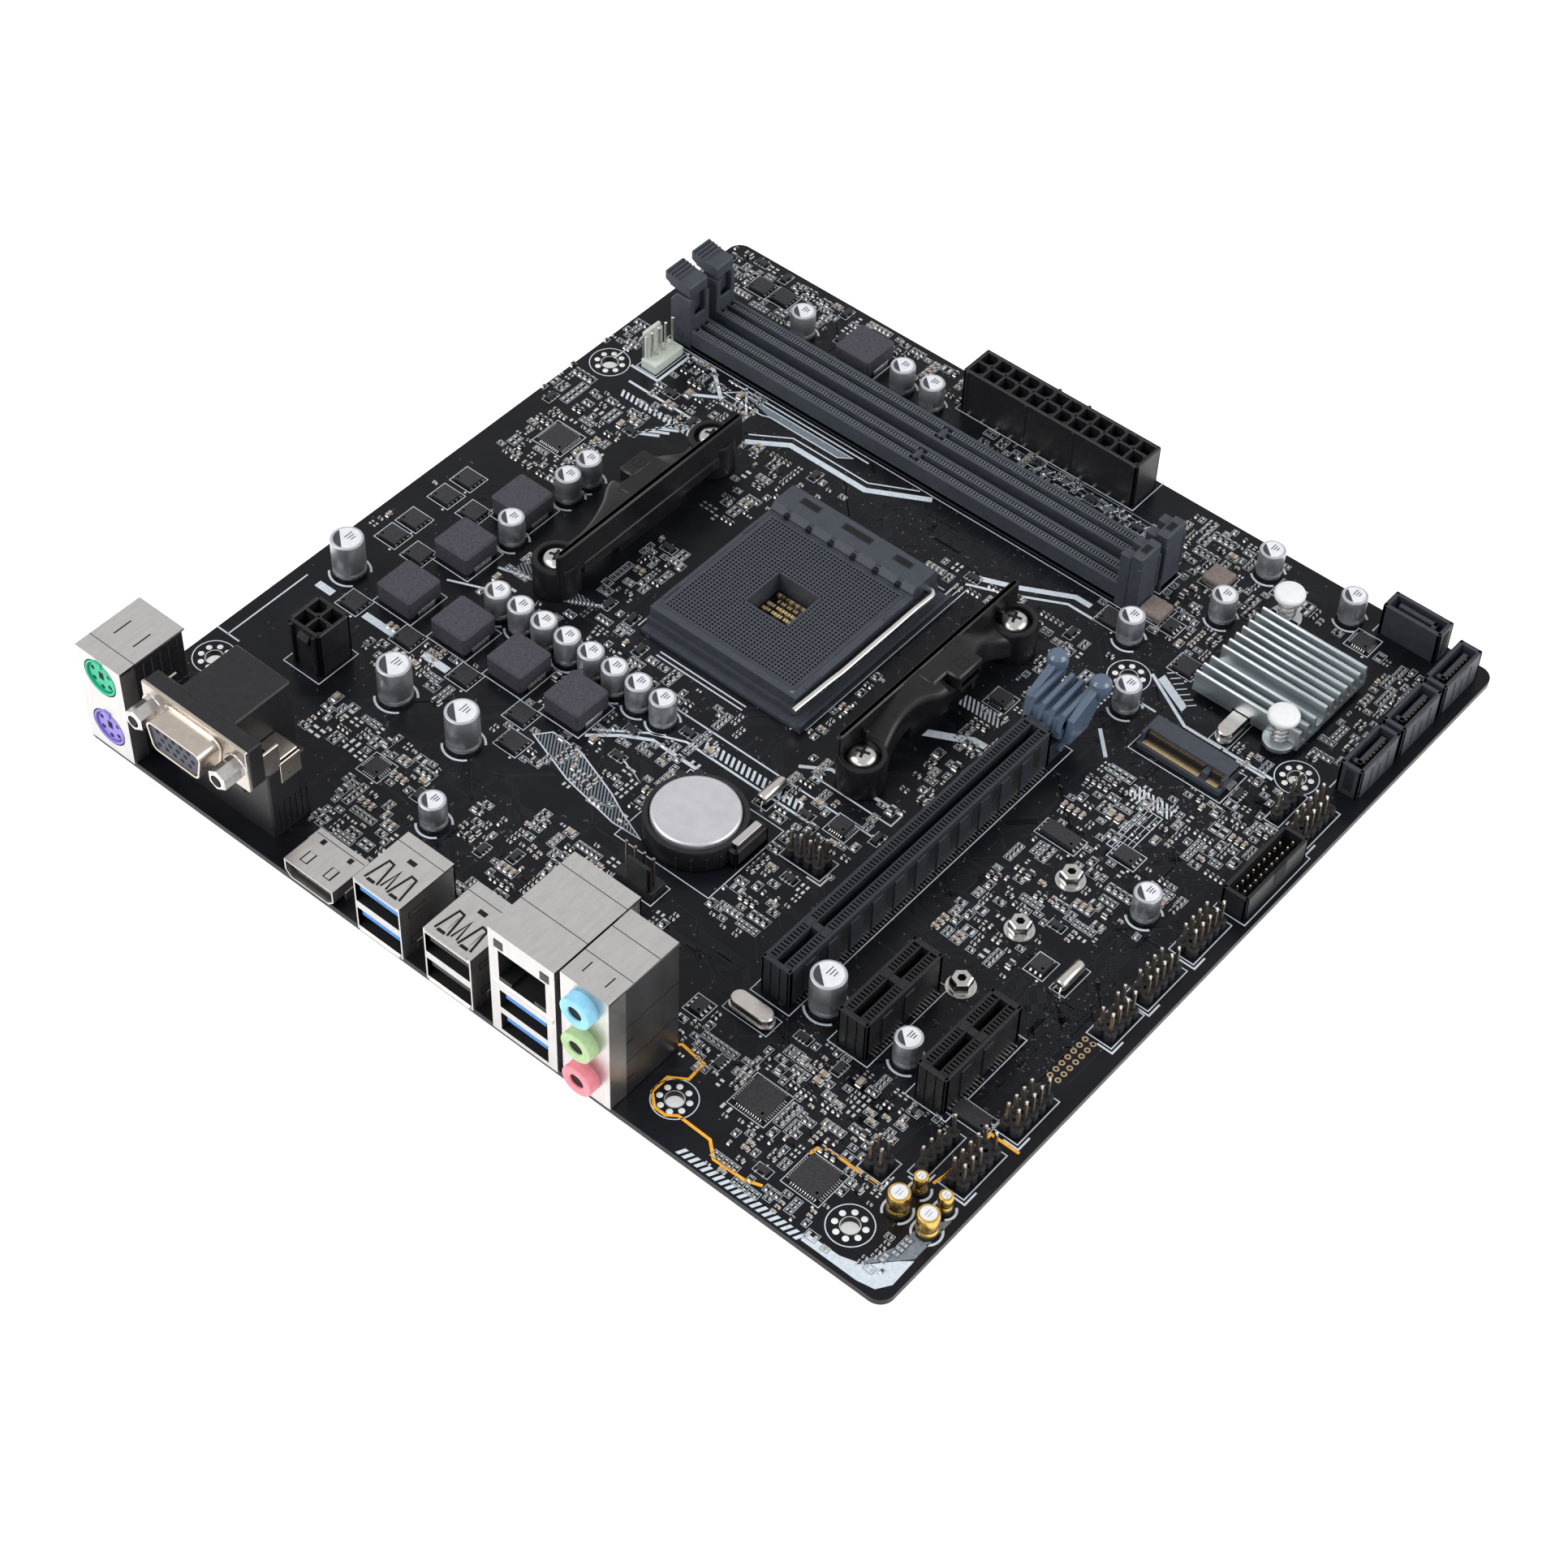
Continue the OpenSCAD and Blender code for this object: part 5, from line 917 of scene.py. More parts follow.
# ---------------------------------------------------------------- headers
def headers():
    """Pin headers, the shrouded front-port header and the two fan headers."""
    s = Shape()
    for lo, hi in islands("header_blocks"):
        nx = max(1, round((hi[0] - lo[0] + 0.1) / PIN_PITCH))
        ny = max(1, round((hi[1] - lo[1] + 0.1) / PIN_PITCH))
        for i in range(nx):
            for j in range(ny):
                cx = lo[0] + (hi[0] - lo[0]) * (i + 0.5) / nx
                cy = lo[1] + (hi[1] - lo[1]) * (j + 0.5) / ny
                q = [(cx + a * PIN_PITCH / 2, cy + b * PIN_PITCH / 2) for a, b in
                     ((-1, -0.5), (-0.5, -1), (0.5, -1), (1, -0.5), (1, 0.5), (0.5, 1), (-0.5, 1),
                      (-1, 0.5))]
                s.prism("z", q, 0.1, 2.5, 0, c=0.12)
                s.block(cx, cy, 1.0, 1.0, (2.4, 2.53), 1)
    s.done("Header_Blocks", [BLACK, HOLE], "black_plastic", ["header_blocks"])
    s = Shape()
    for lo, hi in islands("header_pins"):
        cx, cy = middle(lo, hi)
        w = hi[0] - lo[0]
        s.block(cx, cy, w, w, (lo[2] - 0.2, hi[2] - 0.9), 0)
        # pale top of each pin: painted glint on the pin end
        s.block(cx, cy, w, w, (hi[2] - 0.95, hi[2]), 1, c=w * 0.3)
    s.done("Header_Pins", [PIN, PIN_GLINT], "tinned_pins", ["header_pins"])
    # USB header shroud
    s = Shape()
    x, y = (124, 147), (-217.6, -211.2)
    for a in ((y[0], y[0] + 0.9), (y[1] - 0.9, y[1])):
        s.box(x, a, (0, 6.8), 0, c=0.18)
    for a in ((x[0], x[0] + 0.9), (x[1] - 0.9, x[1])):
        s.box(a, y, (0, 6.8), 0, c=0.18)
    s.box((x[0] + 0.5, x[1] - 0.5), (y[0] + 0.5, y[1] - 0.5), (0, 1.6), 1)
    s.box(around(136.4, 4.4), (y[0] - 0.08, y[0] + 0.5), (3.0, 6.84), 1)
    s.box((x[0] - 0.5, x[1] + 0.5), (y[1] - 1.1, y[1] + 0.35), (0.1, 2.0), 0, c=0.15)
    s.done("Front_Port_Header", [BLACK, HOLE], "black_plastic", ["usb3_header_shroud"])
    # fan headers
    # the processor fan header's pins are drawn whole in the painted glint colour
    for node, name, along, mats in (("cpu_fan_header", "Processor_Fan_Header", 0, [PALE, PIN_GLINT]),
                                    ("chassis_fan_header", "Case_Fan_Header", 1, [BLACK, PIN])):
        s = Shape()
        cx, cy = PROCESSOR_FAN if along == 0 else CASE_FAN

        def blk(u, v, z, mat=0, ch=0.0):
            if along == 0:
                s.box((cx + u[0], cx + u[1]), (cy + v[0], cy + v[1]), z, mat, c=ch)
            else:
                s.box((cx - v[1], cx - v[0]), (cy + u[0], cy + u[1]), z, mat, c=ch)

        blk((-5.2, 5.2), (-2.4, 2.4), (0, 2.5), 0, 0.22)
        blk((-4.4, 1.6), (1.7, 2.7), (2.3, 10.4), 0, 0.25)
        blk((-4.4, -3.6), (1.2, 2.5), (2.3, 9.4), 0, 0.15)
        blk((0.8, 1.6), (1.2, 2.5), (2.3, 9.4), 0, 0.15)
        for k in range(4):
            u = (k - 1.5) * PIN_PITCH
            blk((u - 0.32, u + 0.32), (-0.32, 0.32), (2.4, 11.4), 1, 0.16)
            blk((u - 0.9, u + 0.9), (-2.45, -2.2), (0.5, 1.6), 0, 0.1)
        s.done(name, mats, "pale_plastic" if along == 0 else "black_plastic", [node])


# ---------------------------------------------------------------- heatsink
def heatsink():
    """Finned block, and the two push pins that hold it."""
    s = Shape()
    x, y = (170.0, 197.2), (-199.4, -171.2)
    s.box((x[0], 173.4), (-181.9, y[1]), (1.8, 3.6), 0)
    s.box((x[0], 173.4), (y[0], -186.9), (1.8, 3.6), 0)
    s.box((173.4, x[1]), y, (1.8, 3.6), 0)
    fins = [0.6 + 2.9 * k for k in range(3)] + [10.8 + 2.63 * k for k in range(7)]
    for f in fins:
        cx = x[0] + f
        s.prism("y", [(cx - 0.62, 3.4), (cx + 0.62, 3.4), (cx + 0.5, 7.3), (cx + 0.35, 7.6),
                      (cx, 7.8), (cx - 0.35, 7.6), (cx - 0.5, 7.3)], y[0], y[1], 0, c=0.1)
        # dark slate strip at the foot of each fin gap: painted shade between the fins
        s.box((cx + 0.6, cx + 1.3), (y[0] + 0.02, y[1] - 0.02), (3.5, 3.75), 1)
    for px, py in PUSH_PINS:
        s.lathe((px, py), [(3.7, 1.8), (3.8, 1.95), (3.8, 3.1), (3.65, 3.2), (1.6, 3.2), (1.55, 3.1)],
                40, "z", 0)
        a = sorted((px, x[0] + 2 if px < 180 else x[1] - 2))
        s.box(a, around(py, 7.6), (1.8, 3.2), 0, c=0.1)
    s.done("Chipset_Heatsink", [ALU, SLATE], "aluminium", ["chipset_heatsink"], smooth=38)
    s = Shape()
    for px, py in PUSH_PINS:
        s.lathe((px, py), [(0.8, -3.3), (1.5, -2.7), (1.75, -1.75), (1.3, -1.5), (1.3, 9.3), (2.0, 9.4),
                           (3.2, 9.5), (3.6, 9.8), (3.65, 10.6), (3.4, 11.1), (2.9, 11.3),
                           (0.001, 11.3)], 36, "z", 0)
    s.done("Push_Pins", [WHITE], "pale_plastic", ["heatsink_push_pins"], smooth=50)


# ---------------------------------------------------------------- battery
def battery():
    """Button cell, its holder and its contact."""
    cx, cy, z = 66.2, -114.25, 3.8
    s = Shape()
    s.lathe((cx, cy), [(8.3, z), (8.5, z + 0.05), (8.6, z + 0.35), (9.75, z + 0.45), (9.98, z + 0.7),
                       (10.0, z + 2.6), (9.85, z + 2.95), (9.45, z + 3.17), (9.3, z + 3.2),
                       (9.15, z + 3.16), (8.6, z + 3.17), (0.001, z + 3.19)], 96, "z", 0)
    s.done("Button_Cell", [CELL], "steel", ["battery"], body="button_cell", smooth=38)
    s = Shape()
    s.lathe((cx, cy), [(11.5, 0.1), (11.7, 0.4), (11.7, 5.4), (11.45, 5.9), (10.6, 6.0), (10.3, 5.8),
                       (10.28, 3.7), (8.0, 3.65), (8.0, 1.2), (0.001, 1.2)], 72, "z", 0)
    bx, by = (cx - 2.7, cx + 8), (cy - 13.6, cy - 10.6)
    s.box(bx, (by[0], by[0] + 0.8), (0.1, 5.2), 0, c=0.2)
    for a in ((bx[0], bx[0] + 1.0), (bx[1] - 0.8, bx[1])):
        s.box(a, by, (0.1, 5.2), 0, c=0.2)
    s.box(bx, by, (0.1, 1.1), 0)
    # hook piece on the far side
    for t in (38, 58):
        a = math.radians(t)
        px, py = cx + 11.1 * math.cos(a), cy + 11.1 * math.sin(a)
        s.lathe((px, py), [(1.2, 0.2), (1.2, 6.2), (0.9, 6.5), (0.001, 6.5)], 16, "z", 0)
    for k in range(10):
        a = math.radians(200 + 16 * k)
        px, py = cx + 11.72 * math.cos(a), cy + 11.72 * math.sin(a)
        s.block(px, py, 0.5, 0.5, (0.6, 4.2), 0, c=0.1)
    s.done("Cell_Holder", [BLACK], "black_plastic", ["battery_holder"], smooth=35)
    s = Shape()
    s.box((cx - 1.2, cx + 6.8), (cy - 12.8, cy - 12.2), (1, 6.2), 0, c=0.15)
    s.box((cx - 1.2, cx + 6.8), (cy - 12.4, cy - 11.0), (5.7, 6.1), 0, c=0.1)
    s.box((cx + 0.6, cx + 2.2), (cy - 12.95, cy - 12.1), (2.2, 5.2), 1, c=0.05)
    s.box((cx + 3.8, cx + 5.4), (cy - 12.95, cy - 12.1), (2.2, 5.2), 1, c=0.05)
    s.done("Cell_Contact", [NICKEL, HOLE], "nickel_sheet", ["battery_clip"])


# ---------------------------------------------------------------- rear connectors
def porthole(s, x, y, z, cy, cz, r, depth, face=0, wall=0, floor=1, n=32):
    """A panel face at x looking towards -x, with a round recess."""
    rim, edge = [], []
    for k in range(n):
        t = 2 * math.pi * k / n
        u, w = math.cos(t), math.sin(t)
        rim.append((x, cy + r * u, cz + r * w))
        k1 = 1e9
        for d, lim in ((u, (y[0] - cy, y[1] - cy)), (w, (z[0] - cz, z[1] - cz))):
            if abs(d) > 1e-9:
                k1 = min(k1, (lim[1] if d > 0 else lim[0]) / d)
        edge.append((x, cy + k1 * u, cz + k1 * w))
    corners = [(x, a, b) for a in y for b in z]
    for c in corners:
        best = min(range(n), key=lambda k: (edge[k][1] - c[1]) ** 2 + (edge[k][2] - c[2]) ** 2)
        edge[best] = c
    deep = [(x + depth, p[1], p[2]) for p in rim]
    fs = [(k, (k + 1) % n, n + (k + 1) % n, n + k) for k in range(n)]
    fs += [(k, 2 * n + k, 2 * n + (k + 1) % n, (k + 1) % n) for k in range(n)]
    fs.append(tuple(range(3 * n - 1, 2 * n - 1, -1)))
    s.add(rim + edge + deep, fs, [face] * n + [wall] * n + [floor])


def window(s, x, y, z, oy, oz, depth, face=0, wall=1, floor=1):
    """A panel face at x with a rectangular recess."""
    a = [(x, p, q) for p, q in ((y[0], z[0]), (y[1], z[0]), (y[1], z[1]), (y[0], z[1]))]
    b = [(x, p, q) for p, q in ((oy[0], oz[0]), (oy[1], oz[0]), (oy[1], oz[1]), (oy[0], oz[1]))]
    c = [(x + depth, p[1], p[2]) for p in b]
    fs = [(k, 4 + k, 4 + (k + 1) % 4, (k + 1) % 4) for k in range(4)]
    fs += [(4 + k, 8 + k, 8 + (k + 1) % 4, 4 + (k + 1) % 4) for k in range(4)]
    fs.append((8, 11, 10, 9))
    s.add(a + b + c, fs, [face] * 4 + [wall] * 4 + [floor])


def keyboard_ports():
    """Shell, body and the two round sockets."""
    x, y, h, mid = (-0.6, 18), (-10.7, 3.2), 28.7, -3.75
    s = Shape()
    for z, cz in (((0.3, 15.1), 7.3), ((15.1, h), 22.9)):
        porthole(s, x[0], y, z, mid, cz, 4.95, 0.8, 0, 0, 1)
    s.box((x[0] + 0.02, x[1]), y, (h - 0.6, h), 0)
    s.box((x[0] + 0.02, 3.6), (y[0], y[0] + 0.5), (0.3, h - 0.1), 0)
    s.box((x[0] + 0.02, x[1]), (y[1] - 0.5, y[1]), (0.3, h - 0.1), 0)
    s.box((3.6, 3.75), y, (h - 0.05, h + 0.03), 1)
    for k in (0, 1):
        s.box((7, 12), around(mid - 3 + 6 * k, 0.35), (h - 0.05, h + 0.02), 1)
    s.done("Keyboard_Port_Shell", [NICKEL, HOLE], "nickel_sheet", ["ps2_shell"])
    s = Shape()
    s.box((0.3, x[1] - 0.4), (y[0] + 0.3, y[1] - 0.55), (0.05, h - 0.65), 0, c=0.2)
    for k in range(5):
        s.box(around(6.2 + 2.4 * k, 0.5), (y[0] + 0.15, y[0] + 0.5), (1.5, h - 2), 0, c=0.08)
    s.box((3.8, 17.2), (y[0] + 0.16, y[0] + 0.5), (12.6, 14.4), 0, c=0.1)
    s.done("Keyboard_Port_Body", [BLACK], "black_plastic", ["ps2_body"])
    for name, node, z, mat, sl in (("Mouse_Socket", "ps2_mouse_socket", 22.9, GREEN, "mouse_green"),
                                   ("Keyboard_Socket", "ps2_keyboard_socket", 7.3, PURPLE,
                                    "keyboard_purple")):
        s = Shape()
        s.lathe((mid, z), [(4.65, 1.0), (4.65, -0.6), (4.55, -0.7), (4.2, -0.7), (4.1, -0.6),
                           (4.05, 3.0)][::-1], 44, "x", 0)
        s.lathe((mid, z), [(4.06, 0.2), (3.7, -0.2), (0.001, -0.2)][::-1], 40, "x", 0)
        for a in (30, 90, 150, 215, 270, 325):
            t = math.radians(a)
            s.lathe((mid + 2.9 * math.cos(t), z + 2.9 * math.sin(t)),
                    [(0.0005, -0.24), (0.55, -0.24), (0.62, -0.2)], 14, "x", 1)
        s.box((-0.26, -0.1), around(mid, 1.4), (z - 0.6, z + 1.4), 1)
        s.box((-1.0, -0.3), around(mid, 2.2), (z + 3.4, z + 4.9), 0, c=0.1)
        s.done(name, [mat, HOLE], sl, [node], smooth=35)


def display_port():
    """The D-shaped display connector above its housing, and the flat one beside it."""
    mid, z, nose = -32.9, 25.8, 6
    fy, fz = (-48.7, -17.5), (19.8, 31.8)

    def outline(inset):
        pts = []
        half_t, half_b, up, dn, r = 8.1 - inset, 7.2 - inset, 4.1 - inset, -4.1 + inset, 1.9 - inset
        for cx, cz, a0 in ((half_t - r, up - r, 0), (-half_t + r, up - r, 90),
                           (-half_b + r, dn + r, 180), (half_b - r, dn + r, 270)):
            for k in range(6):
                t = math.radians(a0 + 90 * k / 5)
                pts.append((mid + cx + r * math.cos(t), z + cz + r * math.sin(t)))
        return pts

    s = Shape()
    out, inn = outline(0), outline(0.5)
    n = len(out)
    vs = [(-nose, *p) for p in out] + [(-nose, *p) for p in inn] + [(0, *p) for p in out]
    vs += [(-0.2, *p) for p in inn]
    fs = []
    for k in range(n):
        j = (k + 1) % n
        fs += [(k, j, 2 * n + j, 2 * n + k), (k, n + k, n + j, j), (n + k, 3 * n + k, 3 * n + j, n + j)]
    s.add(vs, [f[::-1] for f in fs], 0)
    s.box((-0.25, 0.6), fy, fz, 0, c=0.15)
    flare = outline(-0.7)
    s.prism("x", flare, -0.9, -0.2, 0, c=0.3)
    for side in (-1, 1):
        s.box((0.3, 9.0), around(mid + side * 15.3, 0.6), (20.4, 27), 0, c=0.1)
    s.done("Display_Port_Shell", [NICKEL_WARM], "nickel_sheet", ["vga_shell"], smooth=30)
    s = Shape()
    s.prism("x", outline(0.62), -nose + 0.4, 0, 0)
    for row in (-1, 0, 1):
        for i in range(5):
            yy = mid + 5.4 - 2.29 * i - (1.14 if row == 0 else 0) - 0.3
            s.lathe((yy, z + row * 1.98), [(0.0005, -nose + 0.36), (0.5, -nose + 0.36),
                                           (0.66, -nose + 0.4)], 14, "x", 1)
    s.done("Display_Port_Contacts", [VGA_BLOCK, HOLE], "vga_block", ["vga_contact_block"])
    s = Shape()
    s.box((0.6, 4.6), fy, (fz[0] + 0.2, fz[1] - 0.2), 0, c=0.25)
    s.box((4, 20.4), around(mid, 16.4), (10, 31.9), 0, c=0.4)
    s.box((5, 16), (fy[0] + 0.3, fy[1] - 0.3), (0, 20), 0, c=0.4)
    s.box((16.5, 20.4), around(mid, 15.6), (0.05, 10.2), 0, c=0.2)
    s.box((9, 14.6), (fy[0] + 1, mid - 8.3), (19.8, 21.2), 1, c=0.2)
    s.box((8.6, 14.4), (fy[0] + 0.1, fy[0] + 0.5), (15, 21.0), 1, c=0.1)
    for k in range(6):
        s.box(around(7.2 + 1.6 * k, 0.4), (fy[0] + 0.1, fy[0] + 0.5), (1, 9), 0)
    s.done("Display_Port_Housing", [BLACK, NICKEL_WARM], "black_plastic", ["vga_housing"])
    s = Shape()
    for side in (-1, 1):
        c = (mid + side * 12.5, z)
        s.lathe(c, [(1.25, -nose + 0.2), (1.3, -nose), (2.3, -nose), (2.7, -nose + 0.35),
                    (2.7, -0.3)], 6, "x", 0, start=0.5)
        s.lathe(c, [(0.0005, -nose + 1.2), (1.24, -nose + 1.2), (1.24, -nose - 0.02),
                    (1.5, -nose - 0.02)], 24, "x", 1)
        s.lathe(c, [(3.1, -0.5), (3.3, -0.3), (3.3, -0.2)], 28, "x", 0)
    s.done("Display_Port_Jackscrews", [STEEL, HOLE], "steel", ["vga_jackscrews"], smooth=28)
    # small flat display connector
    s = Shape()
    hm, hx = -64.4, (-0.5, 10.6)
    ring = [(hm - 7.2, 5.5), (hm + 7.2, 5.5), (hm + 7.2, 2), (hm + 5.6, 0.4), (hm - 5.6, 0.4),
            (hm - 7.2, 2)]
    inner = [(hm - 6.8, 5.1), (hm + 6.8, 5.1), (hm + 6.8, 2.15), (hm + 5.4, 0.8), (hm - 5.4, 0.8),
             (hm - 6.8, 2.15)]
    n = 6
    vs = [(hx[0], *p) for p in ring] + [(hx[0], *p) for p in inner] + [(hx[1], *p) for p in ring]
    vs += [(hx[1] - 1, *p) for p in inner]
    fs = []
    for k in range(n):
        j = (k + 1) % n
        fs += [(k, j, n + j, n + k), (k, 2 * n + k, 2 * n + j, j), (n + k, n + j, 3 * n + j, 3 * n + k)]
    fs += [tuple(range(2 * n, 3 * n))[::-1], tuple(range(3 * n, 4 * n))]
    s.add(vs, fs, 0)
    for k in (-1, 1):
        s.box((1.4, 4.6), around(hm + k * 3.4, 2.2), (5.47, 5.53), 1)
        s.box((1.6, 4.5), around(hm + k * 3.4, 1.5), (5.5, 5.62), 0, c=0.05)
        s.box((3, 7), around(hm + k * 6.9, 1), (0.05, 2.4), 0, c=0.1)
        s.box((7.4, 8.8), around(hm + k * 4, 1.2), (5.47, 5.53), 1)
    s.box((9.2, 9.35), around(hm, 13.8), (5.49, 5.54), 1)
    s.done("Flat_Display_Port", [NICKEL, HOLE], "nickel_sheet", ["hdmi_shell"])
    s = Shape()
    s.box((7.6, 10.2), around(hm, 11), (1, 5), 0)
    s.box((0.6, 7.8), around(hm, 11), (2.2, 3.4), 0, c=0.15)
    s.done("Flat_Display_Tongue", [BLACK], "black_plastic", ["hdmi_tongue"])


def spring_fingers(s, x, cy, z, w, metal=0, dark=1):
    """Two tapered pressed fingers in the top of a connector shell."""
    for side in (-1, 1):
        c = cy + side * w
        s.line([(x[0], c - 1.75), (x[1], c - 0.75), (x[1] + 0.2, c + 0.75), (x[0], c + 1.75)], 0.55,
               z + 0.03, dark)
        s.poly([(x[0] - 0.3, c - 1.1), (x[0] + 0.5, c - 1.0), (x[0] + 0.5, c + 1.0), (x[0] - 0.3, c + 1.1)],
               z + 0.035, dark)
        s.prism("y", [(x[0] + 0.6, z), (x[1] - 0.8, z), (x[1] - 1.6, z + 0.34), (x[0] + 2.2, z + 0.2)],
                c - 0.55, c + 0.55, metal)
    s.line([(x[0] + 0.4, cy - 0.75), (x[1] - 0.5, cy), (x[0] + 0.4, cy + 0.75)], 0.5, z + 0.03, dark)


def sheets(s, x, y, h, t=0.4):
    """Top and side sheets of a connector shell."""
    s.box((x[0] + 0.02, x[1]), y, (h - t, h))
    for side in ((y[0], y[0] + t), (y[1] - t, y[1])):
        s.box((x[0] + 0.02, x[1]), side, (0.05, h - 0.1))


def port_tongues(s, mid, tops):
    """The plastic tongue of each port, with its four contacts."""
    for top in tops:
        s.box((0.2, 9.2), around(mid, 11.2), (top - 2.6, top - 0.8), 0, c=0.15)
        for k in range(4):
            s.box((0.8, 7), around(mid - 3.6 + 2.4 * k, 1.1), (top - 2.66, top - 2.5), 1)


def usb_ports():
    """Two stacked port shells, and the tongues of all the fast and standard ports."""
    s = Shape()
    x, h, w = (-0.5, 15.8), 16.6, 13.2
    for mid in (FAST_PORTS_Y, PLAIN_PORTS_Y):
        y = around(mid, w)
        for z, port in (((0, 8.3), 1.2), ((8.3, h), 9.4)):
            window(s, x[0], y, z, around(mid, w - 0.8), (port, port + 6), 9)
        sheets(s, x, y, h)
        s.box((x[1] - 0.4, x[1]), y, (4.5, h - 0.1), 0)
        spring_fingers(s, (1.2, 7.4), mid, h, 3.2)
        s.box((9.6, 10.8), around(mid, 2.2), (h - 0.02, h + 0.02), 1)
        s.box((12.8, 12.95), y, (h - 0.02, h + 0.03), 1)
        for side in (0, 1):
            yy = (y[0] - 0.03, y[0] + 0.1) if side == 0 else (y[1] - 0.1, y[1] + 0.03)
            for z in (4.0, 12.2):
                s.box((2.2, 7.2), yy, (z - 1.0, z - 0.75), 1)
                s.box((2.2, 7.2), yy, (z + 0.75, z + 1.0), 1)
                s.box((2.0, 2.3), yy, (z - 1.0, z + 1.0), 1)
            for xx in (4.6, 12.4):
                s.box(around(xx, 1.6), (yy[0] - (0.1 if side == 0 else 0), yy[1] + (0.1 if side else 0)),
                      (-1.7, 2.4), 0)
        # flared lips round the panel end
        for z in ((h - 0.2, h + 0.35), (0.1, 0.5)):
            s.box((x[0] - 0.5, x[0] + 0.2), (y[0] + 0.8, y[1] - 0.8), z, 0, c=0.15)
    s.done("Stacked_Port_Shells", [NICKEL, HOLE], "nickel_sheet", ["usb_shells"])
    s = Shape()
    port_tongues(s, FAST_PORTS_Y, (1.2 + 6, 9.4 + 6))
    s.box((15.0, 16.0), around(FAST_PORTS_Y, 12.4), (0.2, 4.4), 0, c=0.2)
    port_tongues(s, NETWORK_Y, (1.2 + 5.6, 8.7 + 5.6))
    s.done("Fast_Port_Tongues", [BLUE, GOLD], "usb_blue", ["usb3_tongues"])
    s = Shape()
    port_tongues(s, PLAIN_PORTS_Y, (1.2 + 6, 9.4 + 6))
    s.box((15.0, 16.0), around(PLAIN_PORTS_Y, 12.4), (0.2, 4.4), 0, c=0.2)
    s.done("Standard_Port_Tongues", [BLACK, GOLD], "black_plastic", ["usb2_tongues"])


def network_port():
    """Network jack stacked on two ports."""
    s = Shape()
    x, y, h, mid = (-0.5, 25), (-135.4, -117.5), 32.8, NETWORK_Y
    for z, port in (((0, 7.7), 1.2), ((7.7, 15.4), 8.7)):
        window(s, x[0], y, z, around(mid, 13), (port, port + 5.6), 9)
    window(s, x[0], y, (15.4, h), around(mid, 12.8), (17.6, 27.2), 13)
    sheets(s, x, y, h)
    s.box((x[1] - 0.4, x[1]), y, (0.6, h - 0.1), 0)
    # top: tab, seam and pressed marks
    s.box((9.2, 9.35), y, (h - 0.02, h + 0.03), 1)
    s.box((20.8, 20.95), y, (h - 0.02, h + 0.03), 1)
    for side, yy in ((0, (y[0] - 0.03, y[0] + 0.1)), (1, (y[1] - 0.1, y[1] + 0.03))):
        for a, b in (((3.0, 9.6), (20.2, 20.5)), ((3.0, 9.6), (24.4, 24.7)), ((2.8, 3.1), (20.2, 24.7)),
                     ((12.6, 12.8), (1.0, h - 0.6)), ((1.8, 7.0), (3.2, 3.45)), ((1.8, 7.0), (5.4, 5.65)),
                     ((1.8, 7.0), (10.8, 11.05)), ((1.8, 7.0), (12.8, 13.05))):
            s.box(a, yy, b, 1)
        for xx, z in ((16.5, 9), (20.5, 22)):
            s.box(around(xx, 2.2), (yy[0] - 0.12 if side == 0 else yy[0], yy[1] + 0.12 if side else yy[1]),
                  (z - 0.9, z + 0.9), 0, c=0.1)
        for xx in (5, 14, 23):
            s.box(around(xx, 1.8), yy, (-1.7, 1.6), 0)
    s.box((x[0] - 0.35, x[0] + 0.2), around(mid, 16.6), (15.9, 16.7), 0, c=0.1)
    s.done("Network_Port_Shell", [NICKEL, HOLE], "nickel_sheet", ["lan_usb_shell"])
    s = Shape()
    # light windows, contacts and the stepped opening
    for side in (-1, 1):
        s.box((x[0] - 0.12, x[0] + 1), around(mid + side * 6.2, 2.6), (28.0, 30.4), 0, c=0.15)
    for side in (-1, 1):
        s.box((x[0] + 0.1, 11), sorted((mid + side * 6.4, mid + side * 3.1)), (17.6, 18.7), 0)
    for k in range(8):
        contact = around(mid - 3.57 + 1.02 * k, 0.42)
        s.box((1.2, 10), contact, (24.6, 24.9), 1)
        s.box((9.6, 10), contact, (19.2, 24.8), 1)
    s.done("Network_Port_Insert", [BLACK, GOLD], "black_plastic", ["lan_jack_insert"])


